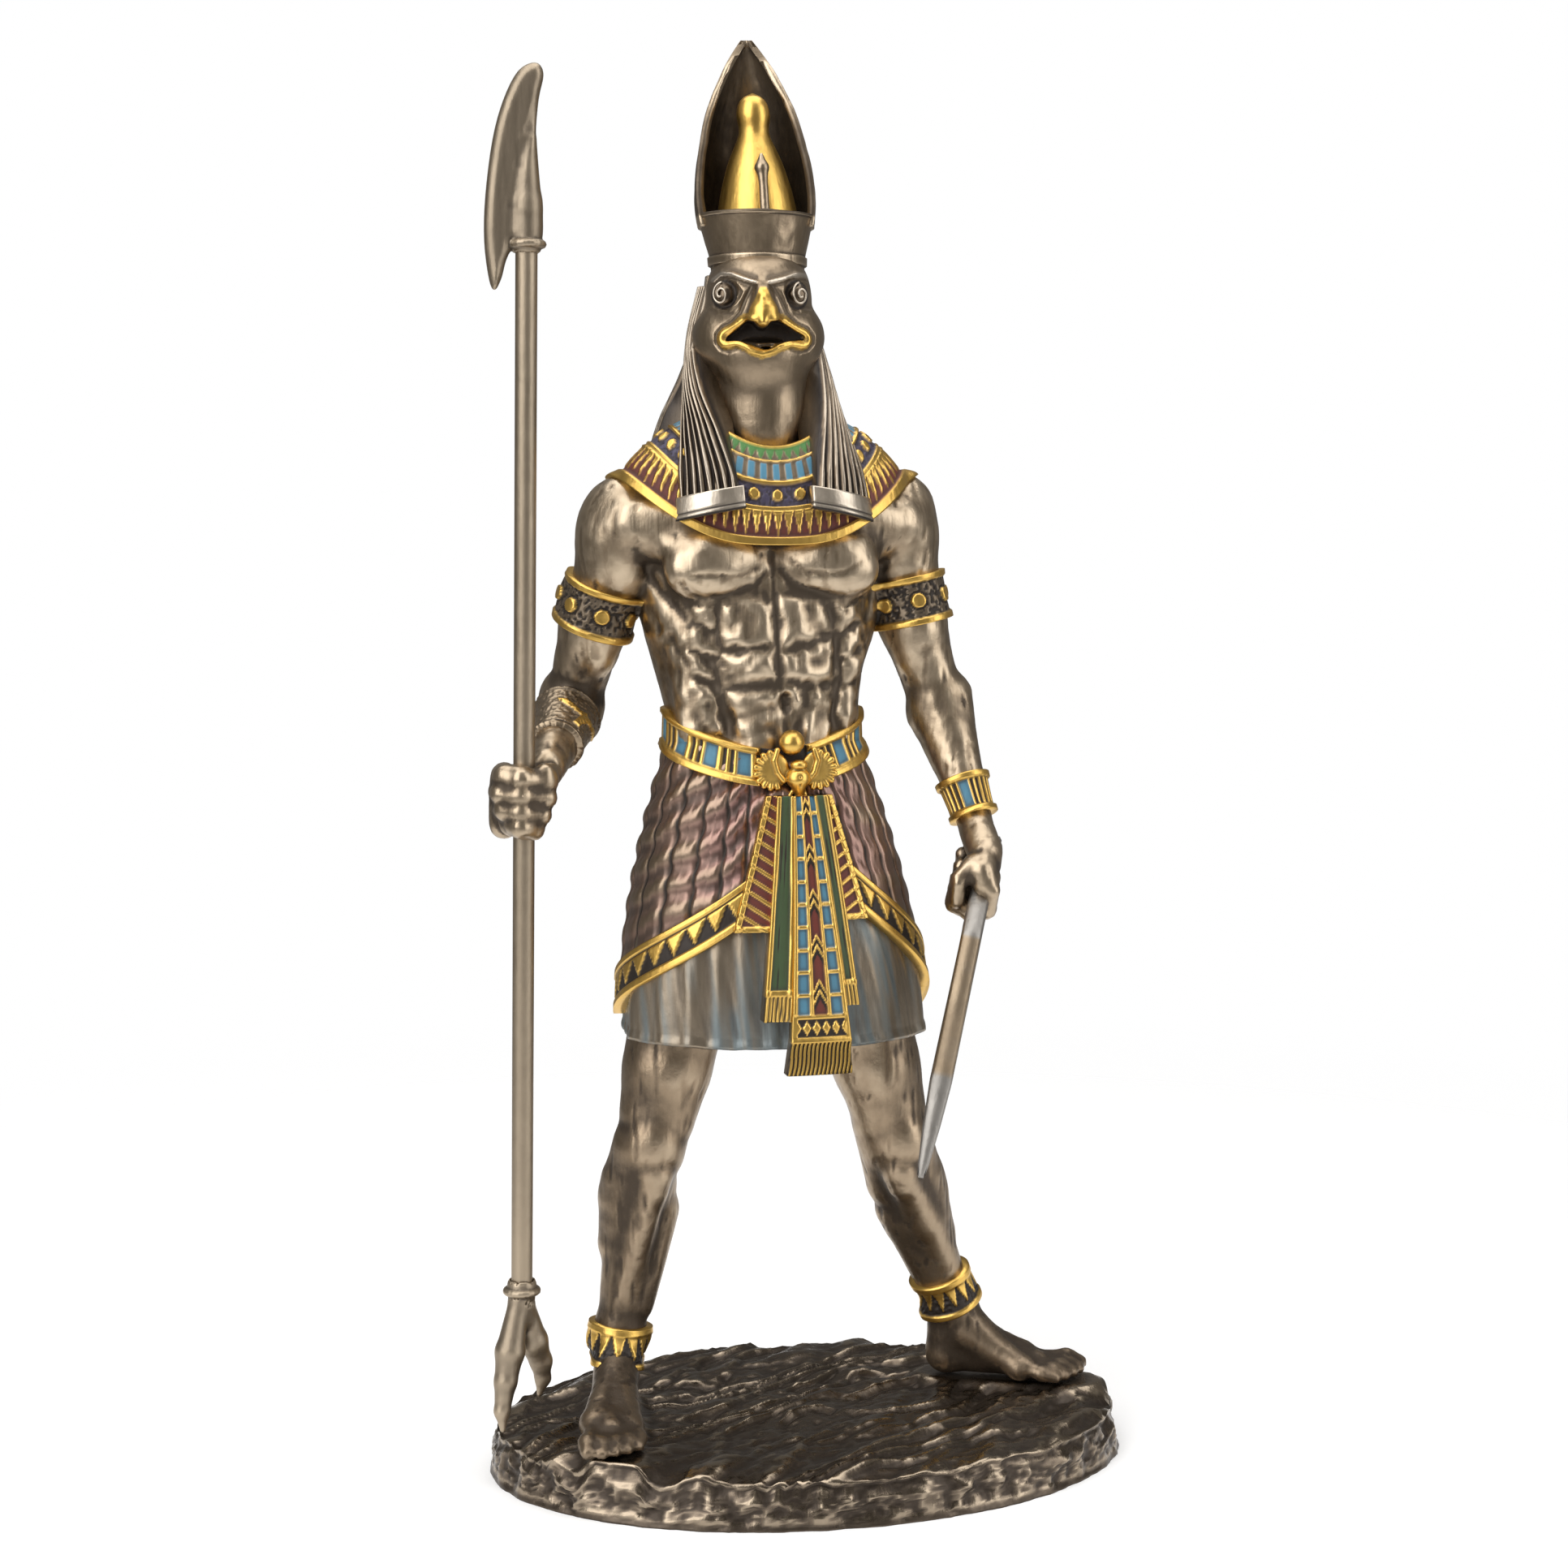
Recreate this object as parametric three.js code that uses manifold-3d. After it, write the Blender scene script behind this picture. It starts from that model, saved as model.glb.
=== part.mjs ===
import * as THREE from 'three';
import { mergeVertices } from 'three/addons/utils/BufferGeometryUtils.js';
import { edgeTable, triTable } from 'three/addons/objects/MarchingCubes.js';
import Module from 'manifold-3d';

const wasm = await Module();
wasm.setup();

// Driving dimensions in millimetres. The figure stands on the plinth, faces -Y
// and keeps its pose and carving as shares of its own height.
const figureHeight = 289.4;
const baseLength = 139.5;
const baseWidth = 94.6;
const baseHeight = 12;
const shaftDiameter = 4.4;
const staffHeight = 278.3;
const staffHeadLength = 31.1;
const forkLength = 24;
const bladeThickness = 3.9;
const bladeReach = 63;
const clearance = 0.3;

// How finely the faceted pieces are cut.
const bodyTriangles = 4000;
const faceTriangles = 1400;
const figureTriangles = 7900;
const forkTriangles = 360;
const staffHeadTriangles = 300;

// Proportions were taken from a figure of this height.
const modelHeight = 289.4;
const unit = figureHeight / modelHeight;
const midline = -9.5;

const at = (x, y, z) => new THREE.Vector3(x, y, z).multiplyScalar(unit);
const degrees = THREE.MathUtils.degToRad;
const mix = THREE.MathUtils.lerp;
const clamp = THREE.MathUtils.clamp;
const ease = THREE.MathUtils.smoothstep;

// Solids: a closed mesh is kept as flat vertices and triangles.

function signedVolume(vertices, triangles) {
  const p = (n) => new THREE.Vector3().fromArray(vertices, triangles[n] * 3);
  let sum = 0;
  for (let i = 0; i < triangles.length; i += 3) sum += p(i).dot(p(i + 1).cross(p(i + 2)));
  return sum / 6;
}

// The faces are turned outwards whichever way round they were listed.
function solidOf(vertices, triangles) {
  const facing = [...triangles];
  if (signedVolume(vertices, facing) < 0) facing.reverse();
  const mesh = new wasm.Mesh({
    numProp: 3,
    vertProperties: new Float32Array(vertices),
    triVerts: new Uint32Array(facing),
  });
  return new wasm.Manifold(mesh);
}

function solidFromGeometry(geometry) {
  const bare = geometry.clone();
  bare.deleteAttribute('normal');
  bare.deleteAttribute('uv');
  const merged = mergeVertices(bare, 1e-4);
  return solidOf(merged.attributes.position.array, merged.index.array);
}

function placed(geometry, position, quaternion = new THREE.Quaternion()) {
  const matrix = new THREE.Matrix4().compose(position, quaternion, new THREE.Vector3(1, 1, 1));
  return solidFromGeometry(geometry.clone().applyMatrix4(matrix));
}

function geometryOf(vertices, triangles) {
  const geometry = new THREE.BufferGeometry();
  geometry.setAttribute('position', new THREE.Float32BufferAttribute(vertices, 3));
  geometry.setIndex([...triangles]);
  return geometry;
}

function joined(solids) {
  return solids.reduce((whole, piece) => whole.add(piece));
}

function finished(solid, name, look) {
  const mesh = solid.getMesh();
  const geometry = geometryOf(mesh.vertProperties, mesh.triVerts);
  const node = new THREE.Mesh(geometry, new THREE.MeshStandardMaterial(look));
  node.name = name;
  return node;
}

// A closed grid: rows of points, each row a ring, with the first and last ring
// closed by a fan to its centre. Rings run anticlockwise seen from the last row.
function ringSolid(rings) {
  const count = rings[0].length;
  const vertices = [];
  const triangles = [];
  rings.flat().forEach((p) => vertices.push(p.x, p.y, p.z));
  for (let row = 0; row + 1 < rings.length; row += 1) {
    for (let i = 0; i < count; i += 1) {
      const a = row * count + i;
      const b = row * count + ((i + 1) % count);
      triangles.push(a, b, b + count, a, b + count, a + count);
    }
  }
  [0, rings.length - 1].forEach((row) => {
    const centre = rings[row].reduce((sum, p) => sum.add(p), new THREE.Vector3());
    centre.divideScalar(count);
    const hub = vertices.length / 3;
    vertices.push(centre.x, centre.y, centre.z);
    for (let i = 0; i < count; i += 1) {
      const a = row * count + i;
      const b = row * count + ((i + 1) % count);
      triangles.push(...(row === 0 ? [b, a, hub] : [a, b, hub]));
    }
  });
  return solidOf(vertices, triangles);
}

// A grid closed both ways, such as a band with a section of its own.
function torusSolid(rings) {
  const rows = rings.length;
  const count = rings[0].length;
  const vertices = [];
  const triangles = [];
  rings.flat().forEach((p) => vertices.push(p.x, p.y, p.z));
  for (let row = 0; row < rows; row += 1) {
    for (let i = 0; i < count; i += 1) {
      const next = (i + 1) % count;
      const a = row * count + i;
      const b = row * count + next;
      const c = ((row + 1) % rows) * count + next;
      const d = ((row + 1) % rows) * count + i;
      triangles.push(a, b, c, a, c, d);
    }
  }
  return solidOf(vertices, triangles);
}

// Soft shapes: each one gives a distance and the box it can reach.

function limb(from, to, fromRadius, toRadius = fromRadius) {
  const along = to.clone().sub(from);
  const length2 = along.lengthSq();
  const a = fromRadius * unit;
  const b = toRadius * unit;
  const box = new THREE.Box3().setFromPoints([from, to]).expandByScalar(Math.max(a, b));
  const distance = (x, y, z) => {
    const px = x - from.x;
    const py = y - from.y;
    const pz = z - from.z;
    const t = clamp((px * along.x + py * along.y + pz * along.z) / length2, 0, 1);
    const away = Math.hypot(px - t * along.x, py - t * along.y, pz - t * along.z);
    return away - mix(a, b, t);
  };
  return { box, distance };
}

function egg(centre, rx, ry, rz, tilt = 0, turn = 0, roll = 0) {
  const euler = new THREE.Euler(degrees(tilt), degrees(roll), degrees(turn), 'ZYX');
  const inverse = new THREE.Matrix4().makeRotationFromEuler(euler).invert().elements;
  const [a, b, c] = [rx * unit, ry * unit, rz * unit];
  const reach = Math.max(a, b, c);
  const box = new THREE.Box3(centre.clone(), centre.clone()).expandByScalar(reach);
  const distance = (x, y, z) => {
    const px = x - centre.x;
    const py = y - centre.y;
    const pz = z - centre.z;
    const u = (inverse[0] * px + inverse[4] * py + inverse[8] * pz) / a;
    const v = (inverse[1] * px + inverse[5] * py + inverse[9] * pz) / b;
    const w = (inverse[2] * px + inverse[6] * py + inverse[10] * pz) / c;
    const near = Math.hypot(u, v, w);
    const slope = Math.hypot(u / a, v / b, w / c);
    return slope > 0 ? (near * (near - 1)) / slope : -Math.min(a, b, c);
  };
  return { box, distance };
}

function softMin(a, b, k) {
  const h = Math.max(k - Math.abs(a - b), 0) / k;
  return Math.min(a, b) - h * h * k * 0.25;
}

// A block of space that holds the distance to a body blended from soft shapes.
class Clay {
  constructor(box, cell) {
    this.cell = cell;
    this.min = box.min;
    this.size = box.getSize(new THREE.Vector3()).divideScalar(cell).ceil().addScalar(1);
    this.values = new Float32Array(this.size.x * this.size.y * this.size.z).fill(20);
  }

  visit(shape, margin, change) {
    const { cell, min, size, values } = this;
    const low = shape.box.min.clone().subScalar(margin).sub(min).divideScalar(cell).floor();
    const high = shape.box.max.clone().addScalar(margin).sub(min).divideScalar(cell).ceil();
    low.max(new THREE.Vector3());
    high.min(size.clone().subScalar(1));
    for (let k = low.z; k <= high.z; k += 1) {
      for (let j = low.y; j <= high.y; j += 1) {
        for (let i = low.x; i <= high.x; i += 1) {
          const spot = (k * size.y + j) * size.x + i;
          const d = shape.distance(min.x + i * cell, min.y + j * cell, min.z + k * cell);
          values[spot] = change(values[spot], d);
        }
      }
    }
  }

  blend(shapes, softness) {
    const k = softness * unit;
    shapes.forEach((shape) => this.visit(shape, k + 3, (old, d) => softMin(old, d, k)));
  }

  carve(shapes, softness) {
    const k = softness * unit;
    shapes.forEach((shape) => this.visit(shape, k + 1, (old, d) => -softMin(-old, d, k)));
  }

  sample(p) {
    const { cell, min, size, values } = this;
    const x = clamp((p.x - min.x) / cell, 0, size.x - 1.001);
    const y = clamp((p.y - min.y) / cell, 0, size.y - 1.001);
    const z = clamp((p.z - min.z) / cell, 0, size.z - 1.001);
    const i = Math.floor(x);
    const j = Math.floor(y);
    const k = Math.floor(z);
    const row = (dj, dk) => {
      const spot = ((k + dk) * size.y + j + dj) * size.x + i;
      return mix(values[spot], values[spot + 1], x - i);
    };
    return mix(mix(row(0, 0), row(1, 0), y - j), mix(row(0, 1), row(1, 1), y - j), z - k);
  }

  // Distance from an inner point to the skin along a direction.
  reach(from, direction, furthest) {
    const step = 0.4 * unit;
    let away = 0;
    while (away < furthest) {
      const p = from.clone().addScaledVector(direction, away);
      if (this.sample(p) > 0) return away;
      away += step;
    }
    return furthest;
  }

  mesh() {
    const { cell, min, size, values } = this;
    const corners = [0, 1].flatMap((z) => [[0, 0, z], [1, 0, z], [1, 1, z], [0, 1, z]]);
    const ringEdges = [0, 4].flatMap((s) => [0, 1, 2, 3].map((n) => [s + n, s + ((n + 1) % 4)]));
    const edges = [...ringEdges, ...[0, 1, 2, 3].map((n) => [n, n + 4])];
    const offsets = corners.map(([x, y, z]) => (z * size.y + y) * size.x + x);
    const known = new Map();
    const vertices = [];
    const triangles = [];
    const vertexOn = (spot, i, j, k, edge) => {
      const [a, b] = edges[edge];
      const low = Math.min(spot + offsets[a], spot + offsets[b]);
      const axis = corners[a].findIndex((value, n) => value !== corners[b][n]);
      const key = low * 3 + axis;
      if (!known.has(key)) {
        const va = values[spot + offsets[a]];
        const vb = values[spot + offsets[b]];
        const t = clamp(va / (va - vb), 0.06, 0.94);
        known.set(key, vertices.length / 3);
        [i, j, k].forEach((start, n) => {
          const place = start + mix(corners[a][n], corners[b][n], t);
          vertices.push(min.getComponent(n) + place * cell);
        });
      }
      return known.get(key);
    };
    for (let k = 0; k + 1 < size.z; k += 1) {
      for (let j = 0; j + 1 < size.y; j += 1) {
        for (let i = 0; i + 1 < size.x; i += 1) {
          const spot = (k * size.y + j) * size.x + i;
          let code = 0;
          for (let n = 0; n < 8; n += 1) if (values[spot + offsets[n]] < 0) code |= 1 << n;
          if (edgeTable[code] === 0) continue;
          for (let n = code * 16; triTable[n] !== -1; n += 3) {
            triangles.push(
              vertexOn(spot, i, j, k, triTable[n]),
              vertexOn(spot, i, j, k, triTable[n + 2]),
              vertexOn(spot, i, j, k, triTable[n + 1]),
            );
          }
        }
      }
    }
    return { vertices, triangles };
  }
}

// Edge collapse with plane quadrics: thins a closed mesh to a number of
// triangles and keeps it closed, with creases where the shape has them.
function reduce({ vertices, triangles }, target) {
  const count = vertices.length / 3;
  const spots = Array.from({ length: count }, (_, i) => new THREE.Vector3().fromArray(vertices, i * 3));
  const faces = [];
  const around = spots.map(() => new Set());
  const quadrics = spots.map(() => new Float64Array(10));
  const stamps = new Uint32Array(count);
  const normal = new THREE.Vector3();
  const side = new THREE.Vector3();
  const facing = (a, b, c, out) => out.subVectors(b, a).cross(side.subVectors(c, a));
  for (let i = 0; i < triangles.length; i += 3) {
    const face = [triangles[i], triangles[i + 1], triangles[i + 2]];
    const [a, b, c] = face.map((v) => spots[v]);
    facing(a, b, c, normal);
    const area = normal.length();
    normal.divideScalar(area || 1);
    const w = -normal.dot(a);
    const n = [normal.x, normal.y, normal.z, w];
    let term = 0;
    for (let r = 0; r < 4; r += 1) {
      for (let s = r; s < 4; s += 1) {
        face.forEach((v) => { quadrics[v][term] += area * n[r] * n[s]; });
        term += 1;
      }
    }
    face.forEach((v) => around[v].add(faces.length));
    faces.push(face);
  }
  const error = (q, x, y, z) => q[0] * x * x + q[4] * y * y + q[7] * z * z + q[9]
    + 2 * (q[1] * x * y + q[2] * x * z + q[5] * y * z + q[3] * x + q[6] * y + q[8] * z);
  const best = (u, v) => {
    const q = quadrics[u].map((value, n) => value + quadrics[v][n]);
    const middle = spots[u].clone().lerp(spots[v], 0.5);
    const choices = [spots[u], spots[v], middle];
    const matrix = new THREE.Matrix3().set(q[0], q[1], q[2], q[1], q[4], q[5], q[2], q[5], q[7]);
    const size = Math.max(q[0], q[4], q[7]);
    if (Math.abs(matrix.determinant()) > 1e-4 * size ** 3) {
      const point = new THREE.Vector3(-q[3], -q[6], -q[8]).applyMatrix3(matrix.invert());
      if (point.distanceTo(middle) < 2 * spots[u].distanceTo(spots[v])) choices.push(point);
    }
    const costs = choices.map((p) => error(q, p.x, p.y, p.z));
    const pick = costs.indexOf(Math.min(...costs));
    const length = spots[u].distanceToSquared(spots[v]);
    return { cost: Math.max(costs[pick], 0) + 1e-5 * length, point: choices[pick].clone(), q };
  };
  const heap = [];
  const push = (u, v) => {
    const entry = { u, v, stamp: stamps[u] + stamps[v], ...best(u, v) };
    let i = heap.length;
    heap.push(entry);
    while (i > 0 && heap[(i - 1) >> 1].cost > entry.cost) {
      heap[i] = heap[(i - 1) >> 1];
      i = (i - 1) >> 1;
    }
    heap[i] = entry;
  };
  const pop = () => {
    const top = heap[0];
    const last = heap.pop();
    if (heap.length === 0) return top;
    let i = 0;
    for (;;) {
      let child = 2 * i + 1;
      if (child >= heap.length) break;
      if (child + 1 < heap.length && heap[child + 1].cost < heap[child].cost) child += 1;
      if (heap[child].cost >= last.cost) break;
      heap[i] = heap[child];
      i = child;
    }
    heap[i] = last;
    return top;
  };
  const neighbours = (v) => {
    const found = new Set();
    around[v].forEach((f) => faces[f].forEach((w) => found.add(w)));
    found.delete(v);
    return found;
  };
  const flips = (v, other, point) => [...around[v]].some((f) => {
    if (faces[f].includes(other)) return false;
    const before = facing(...faces[f].map((w) => spots[w]), new THREE.Vector3()).normalize();
    const after = facing(...faces[f].map((w) => (w === v ? point : spots[w])), new THREE.Vector3());
    return before.dot(after) < 0.2 * after.length() || after.length() < 1e-4;
  });
  faces.forEach((face) => face.forEach((a, n) => {
    const b = face[(n + 1) % 3];
    if (a < b) push(a, b);
  }));
  let left = faces.length;
  while (left > target && heap.length > 0) {
    const { u, v, stamp, point, q } = pop();
    if (around[u].size === 0 || around[v].size === 0 || stamp !== stamps[u] + stamps[v]) continue;
    const shared = [...neighbours(u)].filter((w) => neighbours(v).has(w));
    if (shared.length !== 2 || flips(u, v, point) || flips(v, u, point)) continue;
    around[v].forEach((f) => {
      const face = faces[f];
      if (face.includes(u)) {
        face.forEach((w) => { if (w !== v) around[w].delete(f); });
        faces[f] = null;
        left -= 1;
      } else {
        face[face.indexOf(v)] = u;
        around[u].add(f);
      }
    });
    around[v].clear();
    spots[u].copy(point);
    quadrics[u] = q;
    stamps[u] += 1;
    neighbours(u).forEach((w) => push(u, w));
  }
  const renumbered = new Map();
  const kept = [];
  const outTriangles = [];
  faces.filter((face) => face !== null).forEach((face) => face.forEach((v) => {
    if (!renumbered.has(v)) {
      renumbered.set(v, kept.length / 3);
      kept.push(...spots[v].toArray());
    }
    outTriangles.push(renumbered.get(v));
  }));
  return { vertices: kept, triangles: outTriangles };
}

// The outer skin of a joined solid: pockets shut inside it are filled.
function outerSkin({ vertices, triangles }) {
  const parent = Array.from({ length: vertices.length / 3 }, (_, i) => i);
  const root = (v) => {
    let top = v;
    while (parent[top] !== top) {
      parent[top] = parent[parent[top]];
      top = parent[top];
    }
    return top;
  };
  for (let i = 0; i < triangles.length; i += 3) {
    parent[root(triangles[i + 1])] = root(triangles[i]);
    parent[root(triangles[i + 2])] = root(triangles[i]);
  }
  const skins = new Map();
  for (let i = 0; i < triangles.length; i += 3) {
    const key = root(triangles[i]);
    if (!skins.has(key)) skins.set(key, []);
    skins.get(key).push(triangles[i], triangles[i + 1], triangles[i + 2]);
  }
  const bySize = [...skins.values()].sort((a, b) => b.length - a.length);
  return { vertices, triangles: bySize[0] };
}

function thinned(solid, target) {
  const mesh = solid.getMesh();
  const skin = outerSkin({ vertices: mesh.vertProperties, triangles: mesh.triVerts });
  const thin = reduce(skin, target);
  return solidOf(thin.vertices, thin.triangles);
}

// Pose: the main joints of the figure, with heights above the soles.
const pose = {
  shoulder: { right: at(-39.5, 5, 185), left: at(20.5, 5, 185) },
  upperArm: { right: at(-44.4, 10.5, 167), left: at(24.2, 5, 167) },
  elbow: { right: at(-48.2, 16, 150), left: at(29.6, 4, 149.5) },
  wrist: { right: at(-56.6, -7, 138.8), left: at(34.8, -5.5, 127) },
  grip: { right: at(-62.1, -13.5, 132), left: at(34.9, -13.6, 114) },
  hip: { right: at(-22, 3, 112), left: at(5, 3, 112) },
  knee: { right: at(-34.4, -1, 57), left: at(19.6, 0, 55) },
  calf: { right: at(-37.6, 3.5, 41), left: at(26, 5.5, 38) },
  ankle: { right: at(-40.9, 3, 17), left: at(34.6, 9.5, 18) },
};
const headTurn = degrees(-8);
const headCentre = at(-10.6, 1, 232);

// A point of the trunk: across from the midline, deep towards the back, high.
const trunk = (across, deep, high) => at(midline + across, deep, high);

function bothSides(make) {
  return [-1, 1].flatMap((side) => make(side));
}

function trunkShapes() {
  return {
    core: [
      egg(trunk(0, 3, 172), 24.5, 13, 26),
      egg(trunk(0, 3, 150), 19.4, 11, 20),
      egg(trunk(0, 3, 131), 22, 13.5, 15),
      ...bothSides((s) => [
        limb(trunk(s * 4, 5, 203), trunk(s * 27, 5.5, 191.5), 6.4, 7),
        limb(trunk(s * 20, 8, 179), trunk(s * 14, 8.5, 152), 7, 4.5),
      ]),
    ],
    muscle: bothSides((s) => [
      egg(trunk(s * 10.6, -5.6, 180.5), 12.6, 7, 8.8, 0, s * -14, s * 8),
      limb(trunk(s * 19, -5, 184), trunk(s * 29, 1, 187), 4.4, 4.6),
      limb(trunk(s * 20.5, 1, 172), trunk(s * 15.5, -5.5, 167), 2.6, 1.8),
      limb(trunk(s * 20, 0, 166), trunk(s * 15, -6, 161.5), 2.6, 1.8),
      limb(trunk(s * 19, 0, 160), trunk(s * 14.4, -6, 156.5), 2.6, 1.8),
      limb(trunk(s * 15.6, -1, 154), trunk(s * 13.5, -4, 142), 4.4, 4.6),
    ]),
    belly: bothSides((s) => [
      egg(trunk(s * 5.6 + 0.4, -8.4, 168.4), 5, 3.4, 4.6),
      egg(trunk(s * 5.4 + 0.8, -7.7, 160.2), 4.8, 3.3, 3.6),
      egg(trunk(s * 5 + 1.4, -7.2, 152.8), 4.6, 3.2, 3.7),
      egg(trunk(s * 3.8 + 1.8, -7.2, 143.5), 4.4, 3.6, 6.2),
    ]),
    back: bothSides((s) => [
      egg(trunk(s * 11.5, 11.5, 183), 8.5, 4.4, 9.5, 0, 0, s * 14),
      limb(trunk(s * 3.6, 12.6, 176), trunk(s * 4, 12.6, 140), 3, 3.4),
      egg(trunk(s * 8.5, 11.5, 124), 9.5, 8.5, 9.5),
    ]),
    grooves: [
      limb(trunk(0, -13.6, 186), trunk(0.4, -12.6, 166), 1, 0.7),
      limb(trunk(0.4, -12.2, 166), trunk(2, -11.2, 141), 0.6, 0.5),
      egg(trunk(2.1, -11.2, 151.6), 1, 1.4, 1.5),
      limb(trunk(0, 17.4, 190), trunk(0, 15.4, 136), 1.3, 1),
    ],
  };
}

// Arms: deltoid, biceps, triceps and the two swells of the forearm.
function armShapes(side) {
  const out = side === 'right' ? -1 : 1;
  const { [side]: shoulder } = pose.shoulder;
  const { [side]: upperArm } = pose.upperArm;
  const { [side]: elbow } = pose.elbow;
  const { [side]: wrist } = pose.wrist;
  const along = (t) => elbow.clone().lerp(wrist, t);
  const shifted = (p, x, y, z) => p.clone().add(at(x, y, z));
  return [
    limb(shoulder, upperArm, 7.8, 7),
    limb(upperArm, elbow, 7, 5.4),
    egg(shifted(shoulder, out * 1.4, 0.2, -0.5), 8.4, 9.2, 12.4, 0, 0, out * 8),
    limb(trunk(out * 20, 4, 193), trunk(out * 32.5, 4, 191), 6.5, 7.6),
    egg(shifted(upperArm, 0, -3.2, -1), 5.2, 4.6, 9.4, 8, 0, out * 8),
    egg(shifted(upperArm, out * 1.6, 3, 1), 5, 4.4, 11, 10, 0, out * 6),
    limb(elbow, wrist, 6.4, 3.9),
    limb(shifted(along(-0.04), out * 2.2, 0, 1.4), along(0.66), 5.4, 3.4),
    limb(shifted(along(0.06), -out * 2, 0.4, -0.6), shifted(along(0.62), -out * 0.6, 0, 0), 4.8, 3),
  ];
}

// Legs: thigh, kneecap, the two heads of the calf, shin and ankle bones.
function legShapes(side) {
  const out = side === 'right' ? -1 : 1;
  const hip = pose.hip[side];
  const knee = pose.knee[side];
  const calf = pose.calf[side];
  const ankle = pose.ankle[side];
  const thigh = (t) => hip.clone().lerp(knee, t);
  const upper = (t) => knee.clone().lerp(calf, t);
  const lower = (t) => calf.clone().lerp(ankle, t);
  const shifted = (p, x, y, z) => p.clone().add(at(x, y, z));
  const heel = { right: at(-41, 6.5, 4.4), left: at(34, 10.6, 4.4) }[side];
  const ball = { right: at(-46.4, -22, 3), left: at(52.6, 4, 2.6) }[side];
  const instep = ankle.clone().lerp(ball, 0.42).add(at(0, 0, 0.5));
  const swell = side === 'right' ? -4.9 : -3.6;
  return [
    limb(hip, thigh(0.7), 13, 9.2),
    limb(thigh(0.7), knee, 9.2, 7.2),
    limb(shifted(thigh(0.3), out * 3.4, -2.4, 0), shifted(thigh(0.86), out * 3, -1.2, 0), 7, 4.4),
    limb(shifted(thigh(0.5), -out * 3.4, -2.8, 0), shifted(thigh(0.9), -out * 3.4, -1.4, 0), 5.6, 4.2),
    egg(shifted(knee, 0.4 * out, -5.4, 1.4), 4.4, 3.4, 5.2),
    limb(shifted(knee, 0, -4.6, -5), shifted(knee, 0, -4, -9), 2.6, 2.2),
    limb(knee, calf, 6.8, 6.4),
    limb(shifted(upper(0.5), out * 2.6, 1.6, 0), shifted(lower(0.24), out * 2.4, 1.4, 0), 5.6, 4.4),
    limb(shifted(upper(0.6), -out * 2.8, 2, 0), shifted(lower(0.1), -out * 2.8, 2, 0), 5.4, 4.6),
    limb(shifted(calf, out * swell, 1.6, 1), shifted(lower(0.78), out * swell * 0.45, 0.6, 0), 5.4, 4.8),
    limb(shifted(knee, 0, 1, 2), shifted(calf, 0, 3, 0), 5.6, 5.4),
    limb(calf, ankle, 6, 4.6),
    limb(shifted(knee, 0, -3.6, -6), shifted(ankle, 0, -1.4, 4), 3.4, 2.6),
    egg(shifted(ankle, 4.2, 0, -1.5), 1.9, 2.2, 2.4),
    egg(shifted(ankle, -4.2, 0, -2.5), 1.9, 2.2, 2.4),
    limb(ankle, heel, 4.8, 4.4),
    limb(heel, ball, 4.2, 2.9),
    limb(ankle, heel.clone().lerp(ball, 0.4), 4.6, 4),
    limb(ankle, instep, 4.6, 3.6),
    limb(instep, ball, 3.6, 2.9),
    ...toeShapes(heel, ball, side),
  ];
}

// Five toes fan out from the ball of the foot, the big one on the inside.
function toeShapes(heel, ball, side) {
  const forward = ball.clone().sub(heel).setZ(0).normalize();
  const inward = new THREE.Vector3(-forward.y, forward.x, 0);
  if (side === 'left') inward.negate();
  inward.negate();
  const place = (across, ahead, high) => ball.clone()
    .addScaledVector(inward, across * unit)
    .addScaledVector(forward, ahead * unit)
    .setZ(high * unit);
  const shapes = [limb(place(3.4, -3, 3), place(-4.4, -3.4, 2.4), 3, 2.2)];
  const spread = [4.3, 1.2, -1.5, -4, -6.2];
  spread.forEach((across, n) => {
    const radius = n === 0 ? 1.9 : 1.6 - 0.1 * n;
    const reach = [10, 10, 8.6, 7, 4.8][n];
    const root = place(across * 0.8, -1, 3);
    const joint = place(across, reach - 3, radius + 0.8);
    shapes.push(limb(root, joint, radius * 1.05, radius * 0.92));
    shapes.push(limb(joint, place(across, reach, radius), radius, radius * 0.85));
  });
  return shapes;
}

// The right fist closes round the upright shaft.
const shaftAxis = at(1.8, -9, 211).normalize();

function rightHand() {
  const grip = pose.grip.right;
  const wrist = pose.wrist.right;
  const near = (x, y, z) => grip.clone().add(at(x, y, z));
  const shapes = [
    limb(wrist, near(1.5, 5.5, 2), 3.7, 4.4),
    limb(near(-3.6, 4.6, 5), near(-3.6, 4.6, -4.6), 3, 3),
    limb(near(1.2, 5.4, 4.2), near(1.4, 5.4, -3.6), 3.2, 3),
    limb(near(3.4, 4.4, 3.6), near(5.4, 0.4, 5.6), 2.6, 2.2),
    limb(near(5.4, 0.4, 5.6), near(3.8, -3.6, 6.4), 2.2, 1.9),
  ];
  [5.7, 2, -1.7, -5.2].forEach((high, n) => {
    const r = 2 - 0.1 * n;
    const back = near(-4.9, 3, high);
    const front = [near(-4.9, -2.9, high), near(-0.4, -5.2, high - 0.3), near(4.2, -2.9, high - 0.6)];
    const bend = [back, ...front];
    const tip = near(4.6, 0.4, high - 0.8);
    bend.slice(1).forEach((p, i) => shapes.push(limb(bend[i], p, r, r)));
    shapes.push(limb(bend[3], tip, r, r * 0.9));
  });
  return shapes;
}

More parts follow.
